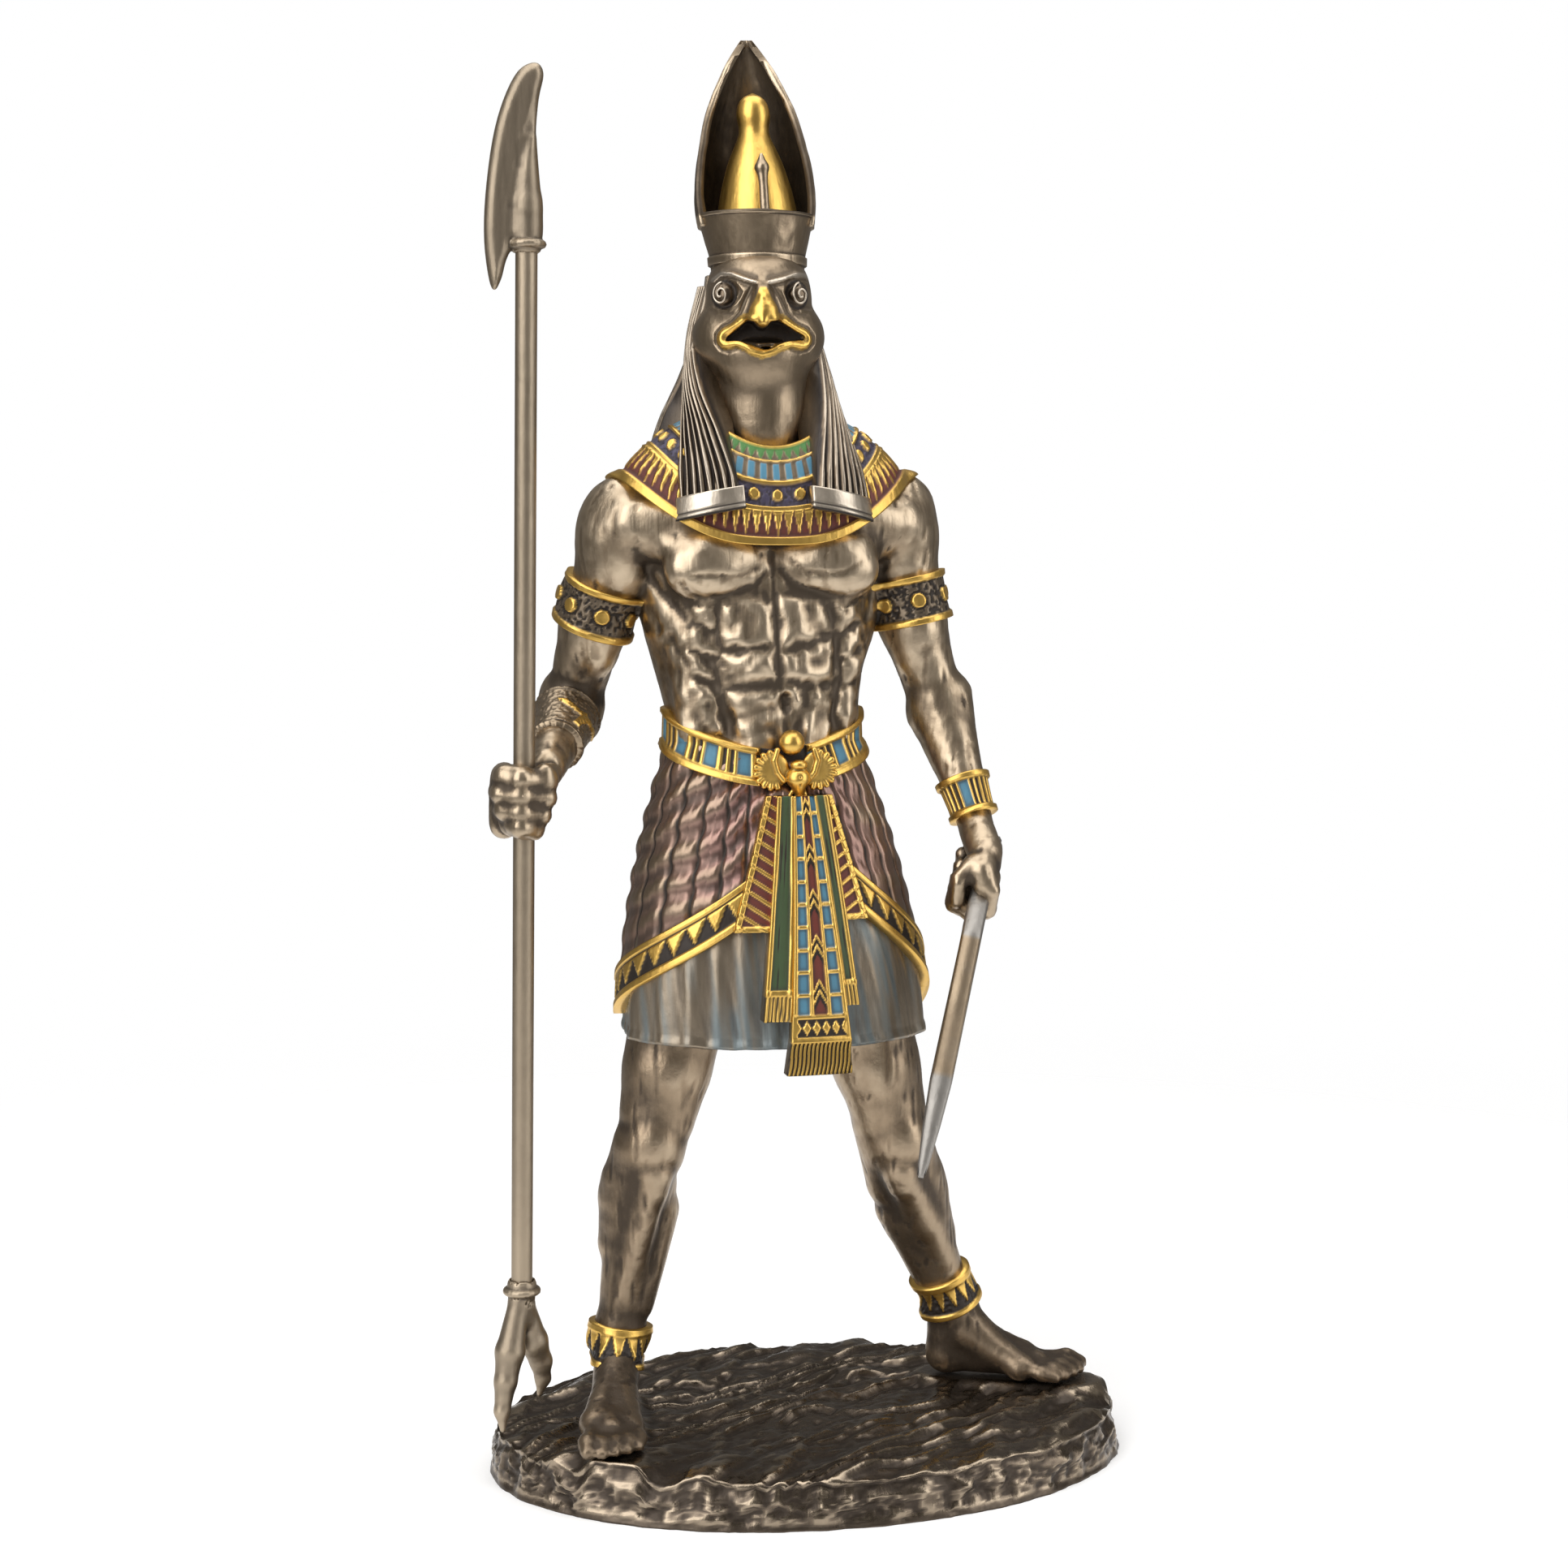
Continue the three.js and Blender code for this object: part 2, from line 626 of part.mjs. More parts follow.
// The sword lies in one plane: ahead runs to the front, down to its point.
const bladeAhead = new THREE.Vector3(-0.3128, -0.9498, 0).normalize();
const bladeDown = new THREE.Vector3(-0.1855, 0.0611, -0.9808).normalize();
const bladeFlat = bladeAhead.clone().cross(bladeDown).normalize();
const hiltAxis = bladeAhead.clone().multiplyScalar(0.81).addScaledVector(bladeDown, 0.59).normalize();

function leftHand() {
  const grip = pose.grip.left;
  const wrist = pose.wrist.left;
  const under = hiltAxis.clone().cross(bladeFlat).normalize();
  if (under.z > 0) under.negate();
  const outer = bladeFlat.x > 0 ? bladeFlat : bladeFlat.clone().negate();
  const near = (across, low, ahead) => grip.clone()
    .addScaledVector(outer, (across - 1.2) * unit)
    .addScaledVector(under, low * unit)
    .addScaledVector(hiltAxis, ahead * unit);
  const shapes = [
    limb(wrist, near(0.5, -4.6, -2), 3.9, 3.7),
    limb(near(1.6, -3.2, 4.6), near(0.9, -2.8, -4.6), 3, 2.8),
    limb(near(0.4, -5, 3.4), near(0.6, -5, -4), 3, 3),
    limb(near(-1.5, -5.4, 2.6), near(-4, -3.2, 6), 2.4, 2),
    limb(near(-4, -3.2, 6), near(-3.2, 0.6, 7.6), 2, 1.7),
  ];
  [5.8, 2, -1.8, -5.4].forEach((ahead, n) => {
    const r = 2.1 - 0.08 * n;
    const out = 3.2 - 0.35 * n;
    const bend = [near(out, -2.4, ahead), near(out, 3, ahead), near(-0.1, 4.7, ahead), near(-3.8, 3, ahead)];
    bend.slice(1).forEach((p, i) => shapes.push(limb(bend[i], p, r, r)));
    shapes.push(limb(bend[3], near(-4.2, -0.4, ahead), r, r * 0.9));
  });
  return shapes;
}

function bodyClay() {
  const box = new THREE.Box3(at(-76, -36, -3), at(68, 28, 228));
  const clay = new Clay(box, 1.55 * unit);
  const { core, muscle, belly, back, grooves } = trunkShapes();
  clay.blend(core, 7);
  clay.blend(muscle, 2);
  clay.blend(belly, 1.6);
  clay.blend(back, 2.4);
  clay.carve(grooves, 1.6);
  ['right', 'left'].forEach((side) => {
    clay.blend(armShapes(side), 2.2);
    clay.blend(legShapes(side), 2);
  });
  clay.blend([limb(trunk(-0.6, 3.6, 197), trunk(-1.2, 2.4, 216), 9, 8.6)], 4);
  clay.blend(rightHand(), 1);
  clay.blend(leftHand(), 1);
  return clay;
}

// Head, in its own turned frame: across, deep towards the back, high.
const headAxis = new THREE.Vector3(0, 0, 1);
const turned = (across, deep, high) => at(across, deep, high).applyAxisAngle(headAxis, headTurn);
const head = (...spot) => turned(...spot).add(headCentre);

function headClay() {
  const box = new THREE.Box3(at(-30, -24, 199), at(8, 20, 250));
  const clay = new Clay(box, 0.8 * unit);
  const turn = THREE.MathUtils.radToDeg(headTurn);
  clay.blend([
    egg(head(0, 1, 5), 11, 12, 9.5, 0, turn),
    egg(head(0, 0, -3), 11.6, 10.5, 12, 0, turn),
    limb(head(0, -0.6, -8), head(0.7, 0.4, -21.4), 11.4, 9),
  ], 4);
  clay.blend(bothSides((s) => [
    egg(head(s * 8, -0.6, -4.2), 6, 7.8, 8, 0, turn),
    egg(head(s * 4.6, -6.6, -10), 5.4, 4.4, 5, 0, turn),
  ]), 3);
  clay.carve(bothSides((s) => [egg(head(s * 6.9, -10.6, 3.8), 3.9, 3, 3.3, 0, turn + s * 28)]), 1.2);
  clay.blend([
    limb(head(0, -8.4, 6.4), head(0, -12.6, 2.8), 3, 2.9),
    limb(head(0, -12.6, 2.8), head(0, -15.4, -2), 2.9, 2),
    limb(head(0, -15.4, -2), head(0, -15.6, -4.2), 1.9, 0.9),
    ...bothSides((s) => [
      limb(head(s * 2, -10.4, 7), head(s * 9.2, -6, 8), 1.5, 1.4),
      limb(head(s * 2.6, -11.6, -1), head(s * 9.4, -8.6, -4.4), 1.7, 1.3),
    ]),
  ], 1.4);
  clay.carve([
    egg(head(0, -10.4, -5.4), 8, 4.6, 1.9, 0, turn),
    egg(head(0, -12, -6.4), 4.4, 4.4, 2.2, 0, turn),
  ], 0.6);
  clay.blend(bothSides((s) => [
    limb(head(s * 9.4, -8.6, -4.6), head(s * 5.6, -10.8, -7.2), 0.9, 1),
    limb(head(s * 5.6, -10.8, -7.2), head(0, -12.9, -9), 1, 1.1),
    egg(head(s * 7, -7.4, 3.8), 2.4, 2, 2.4, 0, turn + s * 28),
  ]), 0.5);
  return clay;
}

// Crown: a low flared band, a tall pointed shell open at the front, and the
// inner bulb with its rearing cobra. All are measured up from the crown foot.
const crownFoot = head(0, 2.4, 10.6);
const crownSway = 0.043;
const crown = (across, deep, high) => turned(across - crownSway * high, deep, high).add(crownFoot);
const crownHeight = 47;
const openingHeight = 9.4;
const shellWall = 1.2;

function crownRadius(high) {
  const profile = [[0, 10.5], [4.5, 11.6], [9, 12.5], [13, 12.8], [17, 12.5], [21, 11.9], [25, 11],
    [29.5, 9.8], [34, 8.2], [38, 6.3], [42, 4.2], [45, 2.3], [47, 0.9]];
  const above = profile.findIndex(([h]) => h > high);
  const i = above < 0 ? profile.length - 1 : Math.max(above, 1);
  const [[h0, r0], [h1, r1]] = [profile[i - 1], profile[i]];
  return mix(r0, r1, clamp((high - h0) / (h1 - h0), 0, 1));
}

function crownSolids() {
  const around = 24;
  const ring = (radius, high) => Array.from({ length: around }, (_, i) => {
    const a = (i / around) * Math.PI * 2;
    return crown(radius * Math.cos(a), radius * Math.sin(a), high);
  });
  const mouth = openingHeight + 0.3;
  const bandProfile = [[10, -4], [10.3, -0.6], [10.8, -0.4], [10.9, 1.2], [10.5, 1.5], [11.2, 5],
    [12.2, openingHeight], [12.4, mouth], [11.4, mouth], [11.1, openingHeight - 1.5]];
  const band = ringSolid(bandProfile.map(([radius, high]) => ring(radius, high)));
  // The shell leans back as it rises and each level is an arc open to the front.
  const levels = 12;
  const arcSteps = 14;
  const lean = (t) => 5.4 * t * t;
  const sections = Array.from({ length: levels + 1 }, (_, level) => {
    const t = level / levels;
    const high = mix(openingHeight - 2, crownHeight, t);
    const outer = crownRadius(high);
    const half = degrees(mix(112, 96, t));
    const arc = (radius, from, to) => Array.from({ length: arcSteps + 1 }, (_, i) => {
      const a = mix(from, to, i / arcSteps);
      return crown(radius * Math.sin(a), lean(t) + radius * Math.cos(a), high);
    });
    const inner = Math.max(outer - shellWall, outer * 0.35);
    return [...arc(outer, half, -half), ...arc(inner, -half, half)];
  });
  const shell = ringSolid(sections);
  const bulbProfile = [[0, -0.5], [8.6, -0.5], [8.5, 3], [7.5, 8], [5.5, 12.3], [3.9, 15.2], [3.1, 17.6],
    [3.5, 20], [3.5, 22.8], [2.5, 25.4], [0, 26.9]];
  const points = bulbProfile.map(([r, h]) => new THREE.Vector2(r, h).multiplyScalar(unit));
  const bulb = new THREE.LatheGeometry(points, 18).rotateX(Math.PI / 2);
  const lip = (across, deep, above) => crown(across, deep, openingHeight + above);
  const cobra = limbSolid(lip(1.4, -9.3, -1), lip(1.2, -8, 7.5), 0.9, 0.9);
  const hoodShape = new THREE.SphereGeometry(1.5 * unit, 10, 8).scale(1, 0.8, 1.6);
  const hood = placed(hoodShape, lip(1.2, -7.6, 9.6));
  const cord = limbSolid(lip(1.2, -7.6, 9), lip(0.4, -1, 9), 0.7, 1);
  return [band, shell, placed(bulb, lip(0.4, -0.6, -1)), cobra, hood, cord];
}

// A tapered rod with flat ends, from one point to another.
function limbSolid(from, to, fromRadius, toRadius, sides = 10) {
  const along = to.clone().sub(from);
  const rod = new THREE.CylinderGeometry(toRadius * unit, fromRadius * unit, along.length(), sides);
  const spin = new THREE.Quaternion().setFromUnitVectors(new THREE.Vector3(0, 1, 0), along.normalize());
  return placed(rod, from.clone().lerp(to, 0.5), spin);
}

// Bands: a ring round a limb whose section is a row of [along, lift] pairs.
function bandSolid(clay, centre, axis, section, sides = 18) {
  const w = axis.clone().normalize();
  const u = new THREE.Vector3(0, 1, 0).cross(w).normalize();
  const v = w.clone().cross(u);
  const rings = Array.from({ length: sides }, (_, i) => {
    const a = (i / sides) * Math.PI * 2;
    const out = u.clone().multiplyScalar(Math.cos(a)).addScaledVector(v, Math.sin(a));
    return section.map(([along, lift]) => {
      const start = centre.clone().addScaledVector(w, along * unit);
      const skin = Math.min(clay.reach(start, out, 13 * unit), 11 * unit);
      return start.addScaledVector(out, skin + lift * unit);
    });
  });
  return torusSolid(rings);
}

function rimmedSection(width, rim, lift) {
  const half = width / 2;
  return [[-half, -2], [-half, lift + 0.5], [rim - half, lift + 0.5], [rim - half + 0.3, lift],
    [half - rim - 0.3, lift], [half - rim, lift + 0.5], [half, lift + 0.5], [half, -2]];
}

function limbBands(clay) {
  const between = (a, b, t) => a.clone().lerp(b, t);
  const { shoulder, upperArm, elbow, wrist, calf, ankle, knee } = pose;
  const bands = ['right', 'left'].flatMap((side) => [
    bandSolid(
      clay,
      between(shoulder[side], upperArm[side], side === 'right' ? 0.76 : 0.7),
      upperArm[side].clone().sub(shoulder[side]),
      rimmedSection(11.6, 1.3, 0.9),
      20,
    ),
    bandSolid(
      clay,
      between(calf[side], ankle[side], side === 'right' ? 1.13 : 0.92),
      ankle[side].clone().sub(calf[side]),
      rimmedSection(8.2, 1.3, 0.7),
    ),
  ]);
  const cuff = bandSolid(
    clay,
    between(elbow.left, wrist.left, 0.86),
    wrist.left.clone().sub(elbow.left),
    rimmedSection(8.6, 1.2, 0.9),
  );
  const gauntlet = bandSolid(
    clay,
    between(elbow.right, wrist.right, 0.42),
    wrist.right.clone().sub(elbow.right),
    [[-6, -2], [-6, 0.8], [5.4, 0.6], [6, 1.1], [7, 1.1], [7, -2]],
  );
  return [...bands, cuff, gauntlet];
}

// Collar: rings round the neck, laid on the chest along rays from its centre.
const collarCentre = trunk(0, 2, 184);

function collarSolid(clay) {
  const sides = 36;
  const section = [[-0.04, -4], [0, 1], [0.1, 1.4], [0.13, 0.9], [0.66, 0.9], [0.69, 1.3], [0.72, 0.9],
    [0.9, 0.8], [0.92, 1.5], [1, 1.4], [1, -5]];
  const rings = Array.from({ length: sides }, (_, i) => {
    const a = (i / sides) * Math.PI * 2;
    const lowest = mix(mix(0, 14, (1 - Math.cos(a)) / 2), 24, Math.abs(Math.sin(a)) ** 5);
    return section.map(([t, lift]) => {
      const rise = degrees(mix(64.5 - 4.5 * Math.cos(a), lowest, t));
      const flat = Math.cos(rise);
      const ray = new THREE.Vector3(Math.sin(a) * flat, -Math.cos(a) * flat, Math.sin(rise));
      const fair = unit / Math.hypot(ray.x / 34, ray.y / 15.4, ray.z / 29);
      const skin = Math.max(clay.reach(collarCentre, ray, 40 * unit), fair);
      return collarCentre.clone().addScaledVector(ray, skin + lift * unit);
    });
  });
  return torusSolid(rings);
}

// Wig: two grooved lappets in front and a grooved fall of hair behind.
function lockedLoft(stations, locks, depth) {
  const steps = locks * 2;
  return ringSolid(stations.map(({ left, right, bulge, thick }) => {
    const across = right.clone().sub(left);
    const front = new THREE.Vector3().crossVectors(across, new THREE.Vector3(0, 0, 1)).normalize();
    const outer = Array.from({ length: steps + 1 }, (_, i) => {
      const t = i / steps;
      const lock = i % 2 === 1 ? depth : 0;
      return left.clone().lerp(right, t).addScaledVector(front, (bulge * 4 * t * (1 - t) + lock) * unit);
    });
    const inner = [0.85, 0.5, 0.15].map((t) => left.clone().lerp(right, t)
      .addScaledVector(front, (bulge * 4 * t * (1 - t) - thick) * unit));
    return [...outer, ...inner];
  }));
}

function lappetSolids() {
  return bothSides((s) => {
    const edge = (a, b) => (s < 0 ? { left: a, right: b } : { left: b, right: a });
    const middle = (high) => mix(-9.4, -10.8, clamp((high - 190) / 30, 0, 1));
    const hang = (across, deep, high) => at(middle(high) + s * across, deep, high);
    const stations = [
      { ...edge(hang(10, 7, 238), hang(9.2, -1, 238)), bulge: 1, thick: 5 },
      { ...edge(hang(11.6, 6, 229), hang(11.6, -3.6, 227)), bulge: 1.4, thick: 6 },
      { ...edge(hang(14.4, 1.5, 219), hang(11.4, -7.4, 217)), bulge: 1.8, thick: 6 },
      { ...edge(hang(17.2, -3, 209), hang(10, -10.4, 208)), bulge: 1.6, thick: 6 },
      { ...edge(hang(19.2, -7.4, 200), hang(8.6, -13, 200)), bulge: 1.5, thick: 6 },
      { ...edge(hang(20, -9.8, 192.6), hang(7.9, -14.4, 195)), bulge: 1.5, thick: 6 },
    ];
    const band = [
      { ...edge(hang(20.6, -9.4, 193.2), hang(7.2, -14.8, 195.8)), bulge: 2, thick: 6 },
      { ...edge(hang(20.9, -10.8, 189.2), hang(7.1, -15.6, 192.2)), bulge: 2, thick: 5 },
    ];
    return [lockedLoft(stations.reverse(), 7, 0.8), lockedLoft(band.reverse(), 4, 0.05)];
  });
}

function backHairSolid() {
  const locks = 16;
  const levels = [[240, 9.6, 11.8, 3], [232, 10.4, 12.6, 3], [226, 11.7, 13.4, 3], [219, 14.2, 14, 3.5],
    [211, 18, 15, 4], [202, 21.4, 16, 4.5], [187, 22.4, 16.6, 4.5]];
  const rings = levels.map(([high, wide, deep, back]) => {
    const middle = -10.6 - 1.2 * ease(high, 196, 212) * ease(-high, -240, -226);
    const outer = Array.from({ length: locks * 2 + 1 }, (_, i) => {
      const a = degrees(mix(96, -96, i / (locks * 2)));
      const lock = i % 2 === 1 ? 0.8 : 0;
      return at(middle + (wide + lock) * Math.sin(a), back + (deep + lock) * Math.cos(a), high);
    });
    const inner = [-60, 0, 60].map((angle) => at(middle + 5 * Math.sin(degrees(angle)), back - 2, high));
    return [...outer, ...inner];
  });
  return ringSolid(rings.reverse());
}

// Kilt: an oval skirt with diagonal pleats over a softly folded underskirt.
const waist = 143;
const hem = 80.5;
const kiltAxis = (high) => at(mix(-6.9, midline, clamp((high - hem) / (waist - hem), 0, 1)), 2.5, high);

function kiltOval(angle, high) {
  const t = clamp((waist - high) / (waist - hem), 0, 1);
  const wide = mix(19.8, 32.8, 1 - (1 - t) ** 1.75);
  const deep = mix(13, 23, 1 - (1 - t) ** 1.75);
  const c = Math.abs(Math.cos(angle)) ** 2.2;
  const s = Math.abs(Math.sin(angle)) ** 2.2;
  return (c / deep ** 2.2 + s / wide ** 2.2) ** (-1 / 2.2);
}

function kiltPoint(angle, high, lift) {
  const radius = (kiltOval(angle, high) + lift) * unit;
  return kiltAxis(high).add(new THREE.Vector3(Math.sin(angle) * radius, -Math.cos(angle) * radius, 0));
}

// The overskirt's lower edge rises from both sides to the front.
function wrapEdge(angle) {
  const turn = THREE.MathUtils.radToDeg(Math.atan2(Math.sin(angle), Math.cos(angle)));
  if (turn < 0) return mix(84, 109, clamp((100 + turn) / 84, 0, 1));
  return mix(84, 116, clamp((98 - turn) / 76, 0, 1));
}

const underFolds = (angle) => 0.9 * Math.sin(angle * 15 + 0.5) + 0.35 * Math.sin(angle * 37);
// Swags fall from the apron to the sides, crossed by incised pleat lines.
function pleat(angle, high) {
  const turn = Math.abs(Math.atan2(Math.sin(angle), Math.cos(angle)));
  const swag = Math.sin((high + 10.5 * turn) * 0.9);
  const line = Math.cos(turn * 15 + high * 0.035) ** 12;
  return 0.75 * swag - 0.7 * line;
}

function skirtSolids() {
  const around = 84;
  const ring = (highOf, liftOf) => Array.from({ length: around }, (_, i) => {
    const angle = (i / around) * Math.PI * 2 - Math.PI;
    const high = highOf(angle);
    return kiltPoint(angle, high, liftOf(angle, high));
  });
  const flat = (high) => () => high;
  const fold = (amount) => (angle) => amount * underFolds(angle) - 0.4;
  const under = ringSolid([
    ring((angle) => beltHeight(angle) - 2, () => -2),
    ring(flat(112), fold(0.3)),
    ring(flat(94), fold(0.8)),
    ring((angle) => hem + 0.4 * underFolds(angle), fold(1.1)),
    ring((angle) => hem + 0.4 * underFolds(angle), (angle) => 1.1 * underFolds(angle) - 2.2),
    ring(flat(hem + 5), () => -5),
  ]);
  const rows = 15;
  const levels = Array.from({ length: rows + 1 }, (_, i) => i / rows);
  const edgeBand = 8.5;
  const drop = (t) => (angle) => mix(beltHeight(angle) + 1, wrapEdge(angle) + edgeBand, t);
  const over = ringSolid([
    ring((angle) => beltHeight(angle) + 1, () => -4),
    ...levels.map((t) => ring(drop(t), (angle, high) => 0.7 + pleat(angle, high) * Math.min(1, 0.5 + t))),
    ring((angle) => wrapEdge(angle) + edgeBand - 0.2, () => 1.8),
    ring((angle) => wrapEdge(angle) + edgeBand - 1.5, () => 1.8),
    ring((angle) => wrapEdge(angle) + 1.6, () => 1.2),
    ring(wrapEdge, () => 1.8),
    ring(wrapEdge, () => -3.5),
  ]);
  return [under, over];
}

// Belt: low at the front, with raised edges.
function beltHeight(angle) {
  const c = Math.cos(angle);
  return 138.9 + 5.4 * Math.min(1, 1 - c) + 1.2 * Math.max(0, -c);
}

function beltSolid() {
  const around = 40;
  const section = [[-3.9, -3], [-3.9, 2.3], [-2.8, 2.3], [-2.5, 1.7], [2.3, 1.5], [2.6, 2], [3.7, 2],
    [3.7, -3]];
  const rings = Array.from({ length: around }, (_, i) => {
    const angle = (i / around) * Math.PI * 2;
    return section.map(([along, lift]) => kiltPoint(angle, beltHeight(angle) + along, lift));
  });
  return torusSolid(rings);
}

// A sheet with a thickness, from points given across (u) and down (v).
function sheetSolid(pointAt, columns, rows, thickness) {
  const vertices = [];
  const triangles = [];
  const wide = columns + 1;
  const layer = wide * (rows + 1);
  [0, thickness].forEach((depth) => {
    for (let row = 0; row <= rows; row += 1) {
      for (let column = 0; column <= columns; column += 1) {
        vertices.push(...pointAt(column / columns, row / rows, depth).toArray());
      }
    }
  });
  const quad = (a, b, c, d) => triangles.push(a, b, c, a, c, d);
  for (let row = 0; row < rows; row += 1) {
    for (let column = 0; column < columns; column += 1) {
      const a = row * wide + column;
      quad(a, a + wide, a + wide + 1, a + 1);
      quad(layer + a, layer + a + 1, layer + a + wide + 1, layer + a + wide);
    }
    const left = row * wide;
    const right = left + columns;
    quad(left, layer + left, layer + left + wide, left + wide);
    quad(right, right + wide, layer + right + wide, layer + right);
  }
  for (let column = 0; column < columns; column += 1) {
    const bottom = rows * wide + column;
    quad(column, column + 1, layer + column + 1, layer + column);
    quad(bottom, layer + bottom, layer + bottom + 1, bottom + 1);
  }
  return solidOf(vertices, triangles);
}

// Apron panels hang from the buckle in front of the skirt. Each has its left
// and right edge at the top and at the bottom, and its distance off the skirt.
const apronPanels = [
  { top: [-7.9, -1.6, 135], bottom: [-8.6, 5.6, 82.4], lift: 4.4 },
  { top: [-8, -1.4, 82.6], bottom: [-8.2, 5.6, 75.6], lift: 3.8 },
  { top: [-3, 0.8, 134], bottom: [3, 6.6, 93], lift: 3.4 },
  { top: [-10.8, -5, 134], bottom: [-13, -8, 87], lift: 3.4 },
  { top: [-13.4, -6, 134], bottom: [-20, -12, 103.5], lift: 2.5 },
  { top: [-2, 2.4, 134], bottom: [3, 9.4, 107.5], lift: 2.5 },
];

function apronSolids() {
  return apronPanels.map(({ top, bottom, lift }) => sheetSolid((u, v, depth) => {
    const x = mix(mix(top[0], top[1], u), mix(bottom[0], bottom[1], u), v);
    const high = mix(top[2], bottom[2], v);
    const flatHigh = Math.max(high, hem + 2);
    const across = x - kiltAxis(flatHigh).x / unit;
    const angle = Math.asin(clamp(across / kiltOval(0, flatHigh), -0.9, 0.9));
    const p = kiltPoint(angle, flatHigh, lift - depth);
    return p.setZ(high * unit);
  }, 3, 6, 3.4));
}

function buckleSolids() {
  const spot = (across, out, high) => kiltPoint(degrees(4), 141, 0).add(at(across, -out, high));
  const ball = placed(new THREE.SphereGeometry(2.5 * unit, 12, 9), spot(0, 3, 2.4));
  const shield = new THREE.SphereGeometry(3.2 * unit, 12, 8).scale(0.85, 0.8, 1.35);
  const beetle = placed(shield, spot(0.8, 3.4, -4));
  const tail = placed(new THREE.SphereGeometry(2 * unit, 8, 6).scale(1, 0.9, 1.2), spot(1.2, 3, -9.6));
  const wing = new THREE.Shape();
  wing.moveTo(0, -2.4);
  wing.quadraticCurveTo(5, -4.6, 8.2, -0.6);
  wing.quadraticCurveTo(9.4, 2.6, 6.6, 4.6);
  wing.quadraticCurveTo(5.6, 1.6, 0, 1.6);
  const plate = new THREE.ExtrudeGeometry(wing, { depth: 3.4, bevelEnabled: false, curveSegments: 3 });
  plate.rotateX(Math.PI / 2).scale(unit, unit, unit);
  const wings = bothSides((s) => {
    const geometry = plate.clone();
    if (s < 0) geometry.rotateZ(Math.PI).rotateX(Math.PI);
    return placed(geometry, spot(0.8, s < 0 ? 1.2 : 4.4, -4));
  });
  return [ball, beetle, tail, ...wings];
}

// Plinth: an oval rock with slanting strata, flat under the feet.
function ripple(x, y) {
  const along = x * 0.86 + y * 0.5;
  const across = y * 0.86 - x * 0.5;
  const strata = 0.5 * Math.sin(across * 0.55 + 1.6 * Math.sin(along * 0.09));
  return strata + 0.3 * Math.sin(across * 1.13 + along * 0.21) + 0.2 * Math.sin(along * 0.37 - across * 0.3);
}

const footprints = [
  { from: [-41, 8], to: [-46.5, -31], reach: 9 },
  { from: [33, 12], to: [62, 0], reach: 9 },
];

function footDistance(x, y) {
  const spot = new THREE.Vector3(x, y, 0);
  return Math.min(...footprints.map(({ from, to, reach }) => {
    const line = new THREE.Line3(at(...from, 0), at(...to, 0));
    return line.closestPointToPoint(spot, true, new THREE.Vector3()).distanceTo(spot) - reach * unit;
  }));
}

function rockTop(x, y) {
  const rim = Math.hypot(x / (baseLength / 2), y / (baseWidth / 2));
  const rough = 1.3 - 1.3 * ripple(x, y) + 1.6 * ease(rim, 0.85, 1);
  return baseHeight - Math.max(0, rough) * ease(footDistance(x, y), -1, 6);
}

function baseSolid() {
  const around = 48;
  const spot = (i, share, wobble) => {
    const a = (i / around) * Math.PI * 2;
    const reach = share * (1 + wobble * (Math.sin(a * 13 + 1) + 0.7 * Math.sin(a * 22 + share * 9)));
    return [baseLength / 2 * reach * Math.cos(a), baseWidth / 2 * reach * Math.sin(a)];
  };
  const ring = (share, highOf, wobble = 0) => Array.from({ length: around }, (_, i) => {
    const [x, y] = spot(i, share, wobble);
    return new THREE.Vector3(x, y, highOf(x, y, i));
  });
  const top = [0.1, 0.28, 0.44, 0.58, 0.7, 0.8, 0.9].map((share) => ring(share, rockTop));
  return ringSolid([
    ring(0.99, () => 0),
    ring(1, () => 1.1),
    ring(0.99, (x, y, i) => baseHeight * (0.34 + 0.05 * Math.sin(i * 1.7)), 0.008),
    ring(0.99, (x, y, i) => baseHeight * (0.55 + 0.05 * Math.sin(i * 2.3)), 0.008),
    ring(0.97, (x, y) => rockTop(x, y) - 0.9, 0.006),
    ...top.reverse(),
  ]);
}

// Staff: a plain rod held in the fist, with a beast's head and a fork.
const shaftRadius = shaftDiameter / 2;
const staffAt = (high) => {
  const drop = (high - pose.grip.right.z) / shaftAxis.z;
  return pose.grip.right.clone().addScaledVector(shaftAxis, drop);
};
const staffFoot = 1.6;
const shaftBottom = staffFoot + forkLength;
const shaftTop = staffHeight - staffHeadLength;
const socketDepth = 5;

function shaftSolid(from, to, radius, sides = 16) {
  const start = staffAt(from);
  const end = staffAt(to);
  return limbSolid(start, end, radius / unit, radius / unit, sides);
}

// Each prong bends at a knee: sideways, deep and height above the plinth.
const forkProngs = [
  { knee: [-2.7, -2.6, 17], mid: [-4.1, -4.2, 8.5], tip: [-4.4, -5, staffFoot] },
  { knee: [2.8, 2.4, 17.5], mid: [4.9, 4.2, 11], tip: [4.3, 4.4, staffFoot + 4] },
];

